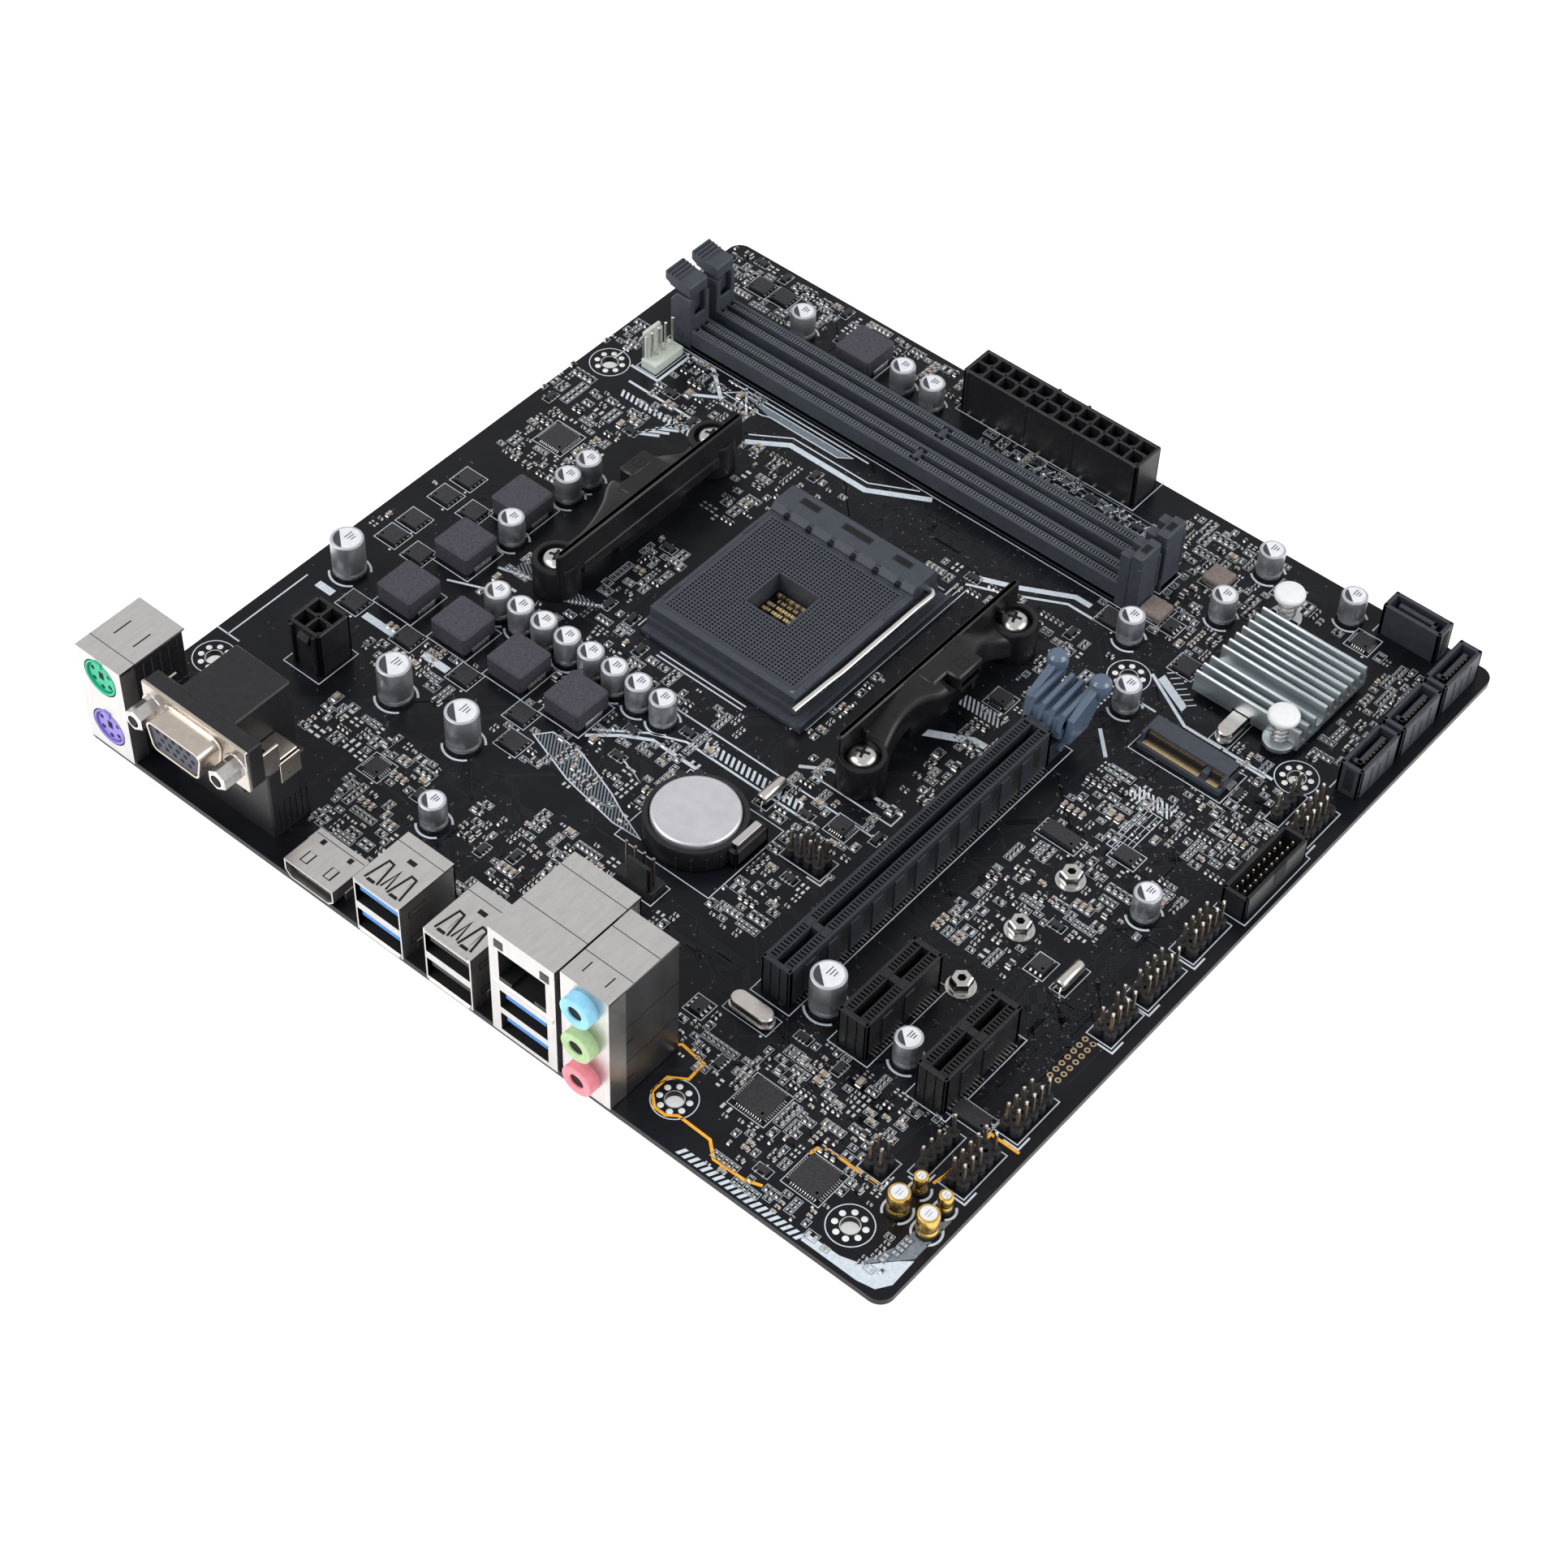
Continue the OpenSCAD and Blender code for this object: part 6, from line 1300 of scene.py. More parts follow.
def audio_ports():
    """Three sound jacks, one above the other."""
    x, y, h, mid = (-0.5, 20.2), (-149.7, -137), 34.9, -143.2
    zs = (7, 18.2, 29.3)
    s = Shape()
    edges = (0.3, 12.6, 23.75, h)
    for k, z in enumerate(zs):
        porthole(s, x[0], y, (edges[k], edges[k + 1]), mid, z, 3.95, 0.5, 0, 0, 1)
    s.box((x[0] + 0.02, x[1]), y, (h - 0.4, h), 0)
    s.box((x[0] + 0.02, 4.4), (y[0], y[0] + 0.35), (0.3, h - 0.05), 0)
    s.box((x[0] + 0.02, 4.4), (y[1] - 0.35, y[1]), (0.3, h - 0.05), 0)
    s.box((6.8, 6.95), y, (h - 0.02, h + 0.03), 1)
    s.box((14.6, 14.75), y, (h - 0.02, h + 0.03), 1)
    for k in (0, 1):
        s.box((2.4, 5.4), around(mid - 3 + 6 * k, 0.3), (h - 0.02, h + 0.03), 1)
    s.done("Sound_Port_Shield", [NICKEL, HOLE], "nickel_sheet", ["audio_shield"])
    s = Shape()
    s.box((0.1, x[1]), (y[0] + 0.2, y[1] - 0.2), (0.05, h - 0.45), 0, c=0.25)
    s.box((4.4, x[1]), (y[0] + 0.02, y[0] + 0.4), (0.4, h - 0.45), 1, c=0.05)
    for z in (11.2, 22.4):
        s.box((4.4, x[1]), (y[0] - 0.01, y[0] + 0.4), (z - 0.15, z + 0.15), 0)
    for k in range(2):
        s.box((4.5, 6.4), (y[0] - 0.03, y[0] + 0.3), (5 + 12 * k, 6 + 12 * k), 0)
    s.done("Sound_Port_Housing", [BLACK, DULL], "black_plastic", ["audio_housing"])
    s = Shape()
    for k, z in enumerate(zs):
        m = (2, 1, 0)[k]
        s.lathe((mid, z), [(1.78, 2.0), (1.8, -3.2), (2.05, -3.45), (3.6, -3.5), (3.88, -3.3), (3.9, -3.0),
                           (3.9, 2.6)], 40, "x", m, ends=False)
        s.lathe((mid, z), [(0.001, 1.0), (1.79, 1.0), (1.79, -2.9)], 28, "x", 3)
        s.lathe((mid, z), [(2.75, -3.52), (2.85, -3.5), (2.4, -3.5), (2.35, -3.4)][::-1], 36, "x", m,
                ends=False)
    s.done("Sound_Jacks", [JACK_BLUE, JACK_GREEN, JACK_PINK, HOLE], "jack_plastic",
           ["audio_jacks"], smooth=35)


# ---------------------------------------------------------------- chips and crystals
def chips():
    """Power transistors, controller chips, inductors and crystals."""
    s = Shape()
    for lo, hi in islands("power_transistors"):
        cx, cy = middle(lo, hi)
        w, d = hi[0] - lo[0], hi[1] - lo[1]
        s.block(cx, cy, w - 0.3, d - 0.5, (0.08, hi[2]), 0, c=0.12)
        s.lathe((cx - w / 2 + 0.9, cy + d / 2 - 1.0), [(0.0005, hi[2] + 0.004), (0.3, hi[2] + 0.004)], 12,
                "z", 2)
        for k in range(4):
            for side in (-1, 1):
                s.block(cx - w / 2 + w * (k + 0.5) / 4, cy + side * (d / 2 - 0.12), 0.62, 0.55,
                        (0.05, 0.36), 1)
    s.done("Power_Transistors", [EPOXY, TIN, SLATE_DARK_AND_SHADE], "package", ["power_transistors"])
    s = Shape()
    for lo, hi in islands("chips"):
        cx, cy = middle(lo, hi)
        w, d, h = hi[0] - lo[0], hi[1] - lo[1], hi[2]
        if (abs(cx - 185.4) < 1 and abs(cy + 150.2) < 1) or (abs(cx - 203.4) < 1 and abs(cy + 155.2) < 1):
            s.block(cx, cy, w, d, (0.15, h), 3, c=0.35)
            for side in (-1, 1):
                s.block(cx + side * (w / 2), cy, 0.3, d * 0.5, (0.05, h * 0.6), 1)
            continue
        small = min(w, d) < 4.6
        bx = w - (1.0 if not small or w > d else 0.2)
        by = d - (1.0 if not small or d >= w else 0.2)
        s.block(cx, cy, bx, by, (0.12, h), 0, c=0.14)
        s.lathe((cx - bx / 2 + 0.8, cy - by / 2 + 0.8), [(0.0005, h + 0.005), (0.32, h + 0.005)], 14, "z", 2)
        pitch = 1.27 if small else 0.62
        if not small or d >= w:
            k = -bx / 2 + 0.5
            while k < bx / 2 - 0.3:
                for side in (-1, 1):
                    s.block(cx + k, cy + side * (d / 2 - 0.25), pitch * 0.42, 0.9, (0.05, 0.2), 1)
                    s.block(cx + k, cy + side * (d / 2 - 0.52), pitch * 0.42, 0.3, (0.1, 0.62), 1)
                k += pitch
        if not small or w > d:
            k = -by / 2 + 0.5
            while k < by / 2 - 0.3:
                for side in (-1, 1):
                    s.block(cx + side * (w / 2 - 0.25), cy + k, 0.9, pitch * 0.42, (0.05, 0.2), 1)
                    s.block(cx + side * (w / 2 - 0.52), cy + k, 0.3, pitch * 0.42, (0.1, 0.62), 1)
                k += pitch
    s.done("Controller_Chips", [EPOXY, TIN, SLATE_DARK_AND_SHADE, DRAB], "package", ["chips"])
    s = Shape()
    for cx, cy, flat in ((36.7, -155.3, 1), (167.6, -184.4, 0)):
        hx, hy = (2.0, 5.4) if flat else (5.4, 2.0)
        pts = []
        for sx, sy, a0 in ((1, 1, 0), (-1, 1, 90), (-1, -1, 180), (1, -1, 270)):
            for k in range(7):
                t = math.radians(a0 + 15 * k)
                ex = (hx - 2.0) * sx + 2.0 * math.cos(t)
                ey = (hy - 2.0) * sy + 2.0 * math.sin(t)
                pts.append((cx + ex, cy + ey))
        base = [(cx + (p[0] - cx) * 1.06, cy + (p[1] - cy) * 1.06) for p in pts]
        s.prism("z", base, 0.35, 0.8, 0)
        s.prism("z", pts, 0.7, 3.1, 0, c=0.28)
    for bx, by in ((84.9, -120), (87.2, -199.2)):
        s.lathe((by, 1.6), [(1.2, bx - 4), (1.45, bx - 3.75), (1.5, bx - 3.4), (1.5, bx + 3.2),
                            (1.3, bx + 3.6), (0.6, bx + 3.75), (0.001, bx + 3.8)], 24, "x", 0)
        for k in (-1, 1):
            s.tube([(bx - 3.9, by + k * 0.5, 1.6), (bx - 4.8, by + k * 0.8, 1.2),
                    (bx - 5.4, by + k * 1.1, 0.0)], 0.18, 8, 1)
    s.done("Timing_Crystals", [CRYSTAL, TIN], "nickel_sheet", ["crystals"], smooth=40)


def slot_clip():
    """Clear retaining clip at the long slot's end."""
    s = Shape()
    y = LONG_SLOT_Y
    s.box((132.2, 138.4), around(y, 3.4), (1.6, 9.4), 0, c=0.3)
    s.prism("y", [(133.4, 7.4), (141.6, 5.6), (144.4, 9.6), (143.6, 12.4), (134.2, 12.2)],
            y - 4.6, y + 4.6, 0,
            c=0.3)
    for k in range(4):
        yy = y - 4.05 + 2.7 * k
        s.prism("y", [(133.2, 9.8), (143.4, 10.4), (146.2, 13.4), (145.4, 15.0), (134.8, 13.9)], yy - 0.55,
                yy + 0.55, 0, c=0.12)
    for side in (-1, 1):
        s.box((135.8, 141.2), around(y + side * 3.4, 2.2), (3.2, 12.0), 0, c=0.35)
        s.prism("y", [(134.6, 6.2), (141.2, 6.2), (147.4, 14.4), (147.0, 16.8), (143.6, 16.6), (135.2, 12.8)],
                y + side * 5.7 - 0.9, y + side * 5.7 + 0.9, 0, c=0.25)
        s.lathe((145.6, y + side * 5.9), [(1.9, 13.4), (2.4, 14.4), (2.55, 16.4), (2.3, 17.5), (1.6, 18.2),
                                         (0.001, 18.4)], 28, "z", 0)
        s.lathe((135.4, 3.0), [(0.9, y + side * 2.2), (0.9, y + side * 4.4)][::side], 16, "y", 0)
    s.done("Slot_Clip", [CLIP], "clip_plastic", ["pcie_x16_latch"], body="slot_clip", smooth=28)


def painted_nodes():
    """CAD nodes that are shown as they are."""
    paint("chipset", PACKAGE)
    paint("slot_contacts", DULL)
    paint("cooler_backplate", PLATE)
    paint("push_pin_springs", STEEL)
    paint("cpu_socket_base", SLATE)
    paint("circuit_board", MASK)


# ---------------------------------------------------------------- small parts
ZONES = [
    (31, 43, -63, -29, 0.85), (9, 28, -69, -48, 0.62), (31, 42, -84, -74, 0.6), (43.6, 49, -115, -86, 0.5),
    (53.6, 70, -49, -22, 0.5), (85, 106, -6, 4, 0.6), (123.6, 143.6, -22, 0, 1.3),
    (143.6, 156.4, -20.7, -3.6, 0.9), (146, 181, -3, 6, 1.1), (103.6, 128, -61, -48, 0.6),
    (102, 105, -104, -52, 0.5), (102, 128, -118, -113.6, 0.5), (49, 70.7, -143.6, -129, 0.5),
    (109, 116, -146, -134, 0.5), (18, 32, -166, -143.6, 0.9), (78, 142, -189, -169, 0.42),
    (94, 122, -206, -186, 0.4), (128, 142, -209, -189, 0.5), (142, 166, -209, -188, 0.5),
    (166, 209, -209, -196, 0.85), (202, 208, -135, -83.6, 0.6), (203.6, 219, -32, 5, 0.7),
    (179, 219, -168, -139, 0.75), (203, 211, -192, -172, 0.7), (2, 14, -209, -172, 0.6),
    (13, 42, -204, -166, 0.8), (3.6, 15, -216, -209, 0.5), (160, 168, -165, -100, 0.18),
    (104, 160, -160, -137, 0.25), (56, 98, -104, -60, 0.16), (18, 46, -128, -86, 0.3),
    (140, 168, -74, -40, 0.22), (208.4, 219, -84, -34, 0.25), (86, 104, -72, -30, 0.15),
    (158, 181, -40, -14, 0.3), (70, 100, -146, -118, 0.2),
]


# nodes that leave the board's top free, or stand on one that is counted
OFF_THE_BOARD = ("circuit_board", "chip_components", "cooler_backplate", "cpu_socket_lever",
                 "slot_contacts", "header_pins", "power_pins", "capacitor_cans",
                 "push_pin_springs")
# nodes made of separate solids, each with its own footprint
SCATTERED = ("header_blocks", "chips", "power_transistors", "capacitor_bases",
             "audio_capacitors", "chokes", "crystals", "sata_ports", "m2_standoffs",
             "pcie_x1_slots", "usb_shells", "bracket_screws", "heatsink_push_pins")


def blockers():
    """Plan boxes of everything that stands on the board, with a margin."""
    out = []
    margin, hole_half = 0.55, 5.4
    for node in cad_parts:
        if node in OFF_THE_BOARD:
            continue
        for lo, hi in islands(node) if node in SCATTERED else [node_box(node)]:
            out.append((lo[0] - margin, hi[0] + margin, lo[1] - margin, hi[1] + margin))
    for x in (HOLE_X, 99.06, 10.16, 165.1):
        for y in (0, -157.48, -203.2):
            out.append((x - hole_half, x + hole_half, y - hole_half, y + hole_half))
    return out


def small_parts():
    """Seeded small components in the zones, and those in the socket window."""
    rnd = random.Random(7)
    solid = blockers()
    taken = []
    cell = {}

    def free(x0, x1, y0, y1):
        for a, b, c, d in solid:
            if x0 < b and x1 > a and y0 < d and y1 > c:
                return False
        for i in range(int(x0 // 6), int(x1 // 6) + 1):
            for j in range(int(y0 // 6), int(y1 // 6) + 1):
                for a, b, c, d in cell.get((i, j), ()):
                    if x0 < b and x1 > a and y0 < d and y1 > c:
                        return False
        return True

    def take(x0, x1, y0, y1):
        box = (x0, x1, y0, y1)
        taken.append(box)
        for i in range(int(x0 // 6), int(x1 // 6) + 1):
            for j in range(int(y0 // 6), int(y1 // 6) + 1):
                cell.setdefault((i, j), []).append(box)

    body, ink = Shape(), Shape()

    def chip(cx, cy, l, w, h, along_x, kind, empty, frame_on):
        hx, hy = (l / 2, w / 2) if along_x else (w / 2, l / 2)
        end = l * 0.24

        def at(u, v):
            return (cx + u, cy + v) if along_x else (cx + v, cy + u)

        for side in (-1, 1):
            a, b = at(side * (l / 2 + 0.18), -w / 2 - 0.06), at(side * (l / 2 - end - 0.05), w / 2 + 0.06)
            body.box(sorted((a[0], b[0])), sorted((a[1], b[1])), (0.03, 0.09), 3)
            if not empty:
                a, b = at(side * l / 2, -w / 2), at(side * (l / 2 - end), w / 2)
                body.box(sorted((a[0], b[0])), sorted((a[1], b[1])), (0.08, h), 2)
        if not empty:
            a, b = at(-l / 2 + end * 0.9, -w / 2 + 0.02), at(l / 2 - end * 0.9, w / 2 - 0.02)
            body.box(sorted((a[0], b[0])), sorted((a[1], b[1])), (0.1, h - 0.02), kind)
        if frame_on:
            ink.outline((cx - hx, cy - hy), (cx + hx, cy + hy), 0.11, INK_Z, 0.42)

    def sot(cx, cy, turn, wide):
        w, d = (2.9, 1.4) if turn else (1.4, 2.9)
        body.block(cx, cy, w, d, (0.15, 1.0), 4, c=0.1)
        spots = ((-0.95, -1), (0.95, -1), (0, 1))
        if wide:
            spots = ((-0.95, -1), (0, -1), (0.95, -1), (-0.95, 1), (0.95, 1))
        for u, v in spots:
            px, py = (cx + u, cy + v * 1.15) if turn else (cx + v * 1.15, cy + u)
            lx, ly = (0.42, 0.8) if turn else (0.8, 0.42)
            body.block(px, py, lx, ly, (0.05, 0.3), 2)
        ink.outline((cx - w / 2, cy - d / 2), (cx + w / 2, cy + d / 2), 0.14, INK_Z, 0.5)

    for x0, x1, y0, y1, fill in ZONES:
        tries = int((x1 - x0) * (y1 - y0) * fill * 0.9) + 8
        for _ in range(tries):
            gx = round(rnd.uniform(x0, x1) / 0.55) * 0.55
            gy = round(rnd.uniform(y0, y1) / 0.55) * 0.55
            kind = rnd.random()
            along = rnd.random() < 0.5
            if kind < 0.10:
                w, d = (4.1, 3.9)
                if free(gx - w / 2, gx + w / 2, gy - d / 2, gy + d / 2):
                    sot(gx, gy, along, rnd.random() < 0.3)
                    take(gx - w / 2, gx + w / 2, gy - d / 2, gy + d / 2)
                continue
            if kind < 0.62:
                l, w, h = 1.0, 0.55, 0.5
            elif kind < 0.88:
                l, w, h = 1.6, 0.85, 0.75
            else:
                l, w, h = 2.1, 1.3, 0.95
            run = rnd.choice((1, 1, 2, 2, 3, 4, 5)) if l < 2 else rnd.choice((1, 2))
            tone = 0 if rnd.random() < 0.3 else 1
            empty = rnd.random() < 0.24
            lined = rnd.random() < 0.55
            step = w + 0.78
            for k in range(run):
                cx = gx if along else gx + step * k
                cy = gy + step * k if along else gy
                hx, hy = ((l / 2, w / 2) if along else (w / 2, l / 2))
                q = (cx - hx - 0.36, cx + hx + 0.36, cy - hy - 0.36, cy + hy + 0.36)
                if q[0] < x0 or q[1] > x1 + 1 or q[2] < y0 or q[3] > y1 + 1 or not free(*q):
                    break
                chip(cx, cy, l, w, h, along, tone, empty, lined)
                take(*q)
    # capacitors that fill the socket's window
    for i in range(6):
        for j in range(6):
            cx, cy = SOCKET_X - 4.5 + 1.8 * i, SOCKET_Y - 4.4 + 1.75 * j
            if (i + 2 * j) % 11 == 3:
                continue
            for side in (-1, 1):
                body.block(cx, cy + side * 0.56, 0.95, 0.38, (0.1, 0.86), 5)
            body.block(cx, cy, 0.9, 0.76, (0.1, 0.82), 0 if (i * j) % 4 else 1)
    body.done("Small_Components", [TAN, RESIST, TIN, SOLDER, EPOXY, GOLD], "package",
              ["chip_components"])
    ink.done("Component_Outlines", [SILK])
    return taken, solid


# ---------------------------------------------------------------- printed art and copper
def inside_any(x, y, boxes, m=0.0):
    """Whether a point lies in one of the boxes, widened by m."""
    return any(a - m < x < b + m and c - m < y < d + m for a, b, c, d in boxes)


def crescents(s, cx, cy, r, turn=0):
    """Two printed arcs on either side of a round part."""
    for a in (turn, turn + 180):
        s.ring(cx, cy, r + 0.4, r + 0.95, INK_Z, 0, a - 52, a + 52, 18)


def silk_art():
    """Printed outlines, bands, hatching and marks on the board's top."""
    s = Shape()
    z = INK_Z
    # rear lower edge band
    for k in range(20):
        y = -166 - 1.6 * k
        s.poly([(0.6, y), (2.6, y - 1.0), (2.6, y - 1.9), (0.6, y - 0.9)], z)
    s.poly([(1.2, -198), (3.2, -198), (3.4, -206), (5, -211), (10, -215.5), (12, -217.8), (5, -218),
            (2, -216), (1.2, -212)], z)
    # guard line round the sound section
    for pts in ([(20.3, -148.6), (21.4, -149.6), (20.7, -156.1), (15.7, -156.4), (13.3, -152.8),
                 (8.6, -152.8), (6, -155.7), (6, -158.6), (7.6, -160.7), (7.4, -169.3), (4.3, -172.9),
                 (4.6, -180.7), (5.9, -184.3)],
                [(17.9, -186.4), (20, -186.7), (21.1, -188.6), (21.1, -202)],
                [(28.6, -209.3), (32, -210), (45.5, -210.7), (45.5, -217.8)]):
        s.line(pts, 0.7, z, 1)
    # power stage
    s.line([(40, 2.9), (65, 2.9)], 0.4, z)
    s.line([(40, 6.2), (40, -0.7)], 0.4, z)
    for y in ((-5.7, -0.7), (-25, -15.7), (-42, -34.3)):
        s.quad((63.6, 65.6), y, z)
    s.line([(85, -22), (89, -31)], 0.6, z)
    s.hatch([(98, -31), (102, -31), (102, -55), (98, -48)], 60, 0.8, 0.4, z, 2)
    s.line([(95.7, -28), (98.6, -38), (97.9, -46.4), (102.9, -55)], 0.7, z)
    fan = [(63.3, -69.3), (66.7, -72), (66.4, -80.7), (62, -93.6), (59.3, -99.3), (56.4, -107),
           (56, -99.3), (58.6, -83.6)]
    s.hatch(fan, 35, 0.75, 0.36, z, 2)
    s.line(fan, 0.35, z + 0.005, 0, closed=True)
    s.line([(70.7, -77.9), (76, -84), (79.5, -90), (79.5, -107)], 0.9, z)
    s.line([(73, -77.9), (80.5, -88), (84, -96), (84, -131)], 0.6, z)
    s.line([(70, -92), (68.5, -96), (72, -86)], 0.6, z)
    for k in range(19):
        y = -99 - 1.5 * k
        s.poly([(84.9, y - 1.2), (87.6, y), (87.6, y - 0.75), (84.9, y - 1.95)], z)
    s.line([(90, -87), (90, -146)], 0.45, z)
    for x in (99.3, 100.6):
        s.line([(x, -73.6), (x, -99)], 0.4, z)
    # round the socket
    for k, y in enumerate((-110.6, -112.0, -113.4)):
        s.line([(102 + k, y), (162.4, y)], 0.3 if k else 0.5, z)
    s.line([(103.4, -64.4), (158.6, -64.4), (158.6, -109.6)], 0.35, z)
    s.line([(95, -119), (99, -125), (99, -145)], 0.9, z)
    s.line([(95, -123), (95, -145), (99, -145)], 0.4, z)
    s.line([(166.4, -112), (170.7, -122), (177, -133.6), (177, -138)], 1.5, z)
    s.line([(163.4, -112), (167.7, -122), (174, -133.6), (174, -141)], 0.7, z)
    s.poly([(120, -133.6), (122.4, -133.6), (127.4, -142.9), (127.6, -146.4), (126, -146.4), (125, -143)], z)
    s.hatch([(132.9, -133.6), (136.4, -133.6), (136.4, -145), (132.9, -145)], 30, 1.0, 0.5, z)
    # beside the memory slots
    s.line([(165.7, -43), (172, -52), (172, -75), (180, -89)], 1.6, z)
    s.line([(168.2, -42), (174.3, -51), (174.3, -74), (180.4, -85)], 0.4, z)
    s.line([(180.4, -31), (172, -38)], 0.6, z)
    bar = [(175.4, -28), (178.4, -31), (178.4, -66), (176.2, -63), (176.2, -42), (175.4, -40)]
    s.poly(bar[1:5], z, 2)
    s.line(bar, 0.35, z + 0.005, 0, closed=True)
    s.line([(179.6, -26), (179.6, -70)], 0.5, z)
    for k in range(5):
        s.line([(150.5 + 2.2 * k, -21.5 - 1.2 * k), (153.5 + 2.2 * k, -26.5 - 1.2 * k)], 0.9, z)
    s.line([(148.6, -20.8), (160.4, -27.4), (163.8, -36)], 0.5, z)
    s.line([(169.3, -22), (173.6, -28.6), (180, -20.7), (180, -12)], 1.0, z)
    for k in range(16):
        y = -9 - 1.5 * k
        s.poly([(157.9, y - 1.0), (160, y), (160, y - 0.75), (157.9, y - 1.75)], z)
    s.line([(163.2, -8), (163.2, -32)], 0.7, z)
    s.line([(167.8, -4.6), (167.8, -13.2), (180.6, -13.2)], 0.8, z)
    s.line([(166.9, 0.2), (180.6, 0.2)], 0.5, z)
    # storage corner
    s.line([(169.2, -161), (161.1, -175.7), (161.1, -199.5)], 0.8, z)
    s.poly([(168.7, -163), (170.9, -163.3), (166.3, -172.7), (164.2, -172.7)], z)
    for k in range(7):
        s.line([(171.6 - 0.9 * k, -163.4 - 1.5 * k), (173.4 - 0.9 * k, -165.1 - 1.5 * k)], 0.3, z)
    s.line([(160.3, -164), (160.3, -168.4)], 0.6, z)
    s.quad((160.0, 160.9), (-198, -190.3), z)
    s.hatch([(136.4, -178), (140, -178), (140, -189), (136.4, -189)], 35, 1.0, 0.5, z)
    s.line([(142, -168), (148, -162)], 0.9, z)
    # plain table, lines only
    s.line([(122, -188), (135.7, -188), (135.7, -183), (122, -183)], 0.22, z, closed=True)
    for k in range(1, 4):
        s.line([(122, -188 + 1.25 * k), (135.7, -188 + 1.25 * k)], 0.16, z)
    for x in (126.4, 131.2):
        s.line([(x, -188), (x, -183)], 0.16, z)
    s.line([(60, -150.2), (96, -150.2)], 0.35, z)
    s.poly([(3.8, -209.5), (9.6, -214.9), (12.4, -217.6), (24, -217.6), (20, -213.6), (12.6, -213.2)], z, 2)
    # rings round the screw holes
    for x, y in SCREW_HOLES:
        s.ring(x, y, 4.85, 5.1, z, 0, n=48)
    # capacitor crescents and choke outlines
    for lo, hi in islands("capacitor_cans"):
        r = (hi[0] - lo[0]) / 2
        crescents(s, *middle(lo, hi), r + 0.15)
    for lo, hi in islands("audio_capacitors"):
        crescents(s, *middle(lo, hi), (hi[0] - lo[0]) / 2, turn=90)
    for lo, hi in islands("chokes"):
        s.outline(lo, hi, 0.25, z, 0.7)
    for node in ("power_transistors", "chips", "crystals"):
        for lo, hi in islands(node):
            s.outline(lo, hi, 0.2, z, 0.55)
            s.ring(lo[0] - 1.2, lo[1] + 0.4, 0.0005, 0.32, z, 0, n=12)
    # outlines and corner marks round the headers
    for lo, hi in islands("header_blocks"):
        s.outline(lo, hi, 0.28, z, 0.7)
        a, c = lo[0] - 0.7, lo[1] - 0.7
        s.line([(a - 0.8, c + 3), (a - 0.8, c - 0.8), (a + 3, c - 0.8)], 0.45, z)
    for node, m in (("m2_socket", 1.3), ("cpu_fan_header", 0.6), ("chassis_fan_header", 0.6),
                    ("usb3_header_shroud", 0.8), ("battery_holder", 0.7), ("pcie_x16_slot", 1.5),
                    ("memory_slot_1", 0.5), ("memory_slot_2", 0.5), ("main_power_housing", 0.8),
                    ("cpu_power_housing", 0.8)):
        lo, hi = node_box(node)
        s.outline(lo, hi, 0.25, z, m)
    for lo, hi in islands("pcie_x1_slots"):
        s.outline(lo, hi, 0.25, z, 1, 1.5)
    for lo, hi in islands("sata_ports"):
        s.line([(lo[0] - 0.6, hi[1] + 0.8), (hi[0] + 0.6, hi[1] + 0.8)], 0.35, z)
    # upright bars by the main power connector
    for k in (0, 3, 6):
        s.quad((205.2 + 0.45 * k, 205.45 + 0.45 * k), (-134 + 1.2 * (k % 2), -101), z, 2)
    for k in range(12):
        s.line([(204.6, -100.6 - 2.8 * k), (207.2, -102.2 - 2.8 * k)], 0.4, z)
    s.done("Printed_Art", [SILK, ORANGE, SILK_GREY])


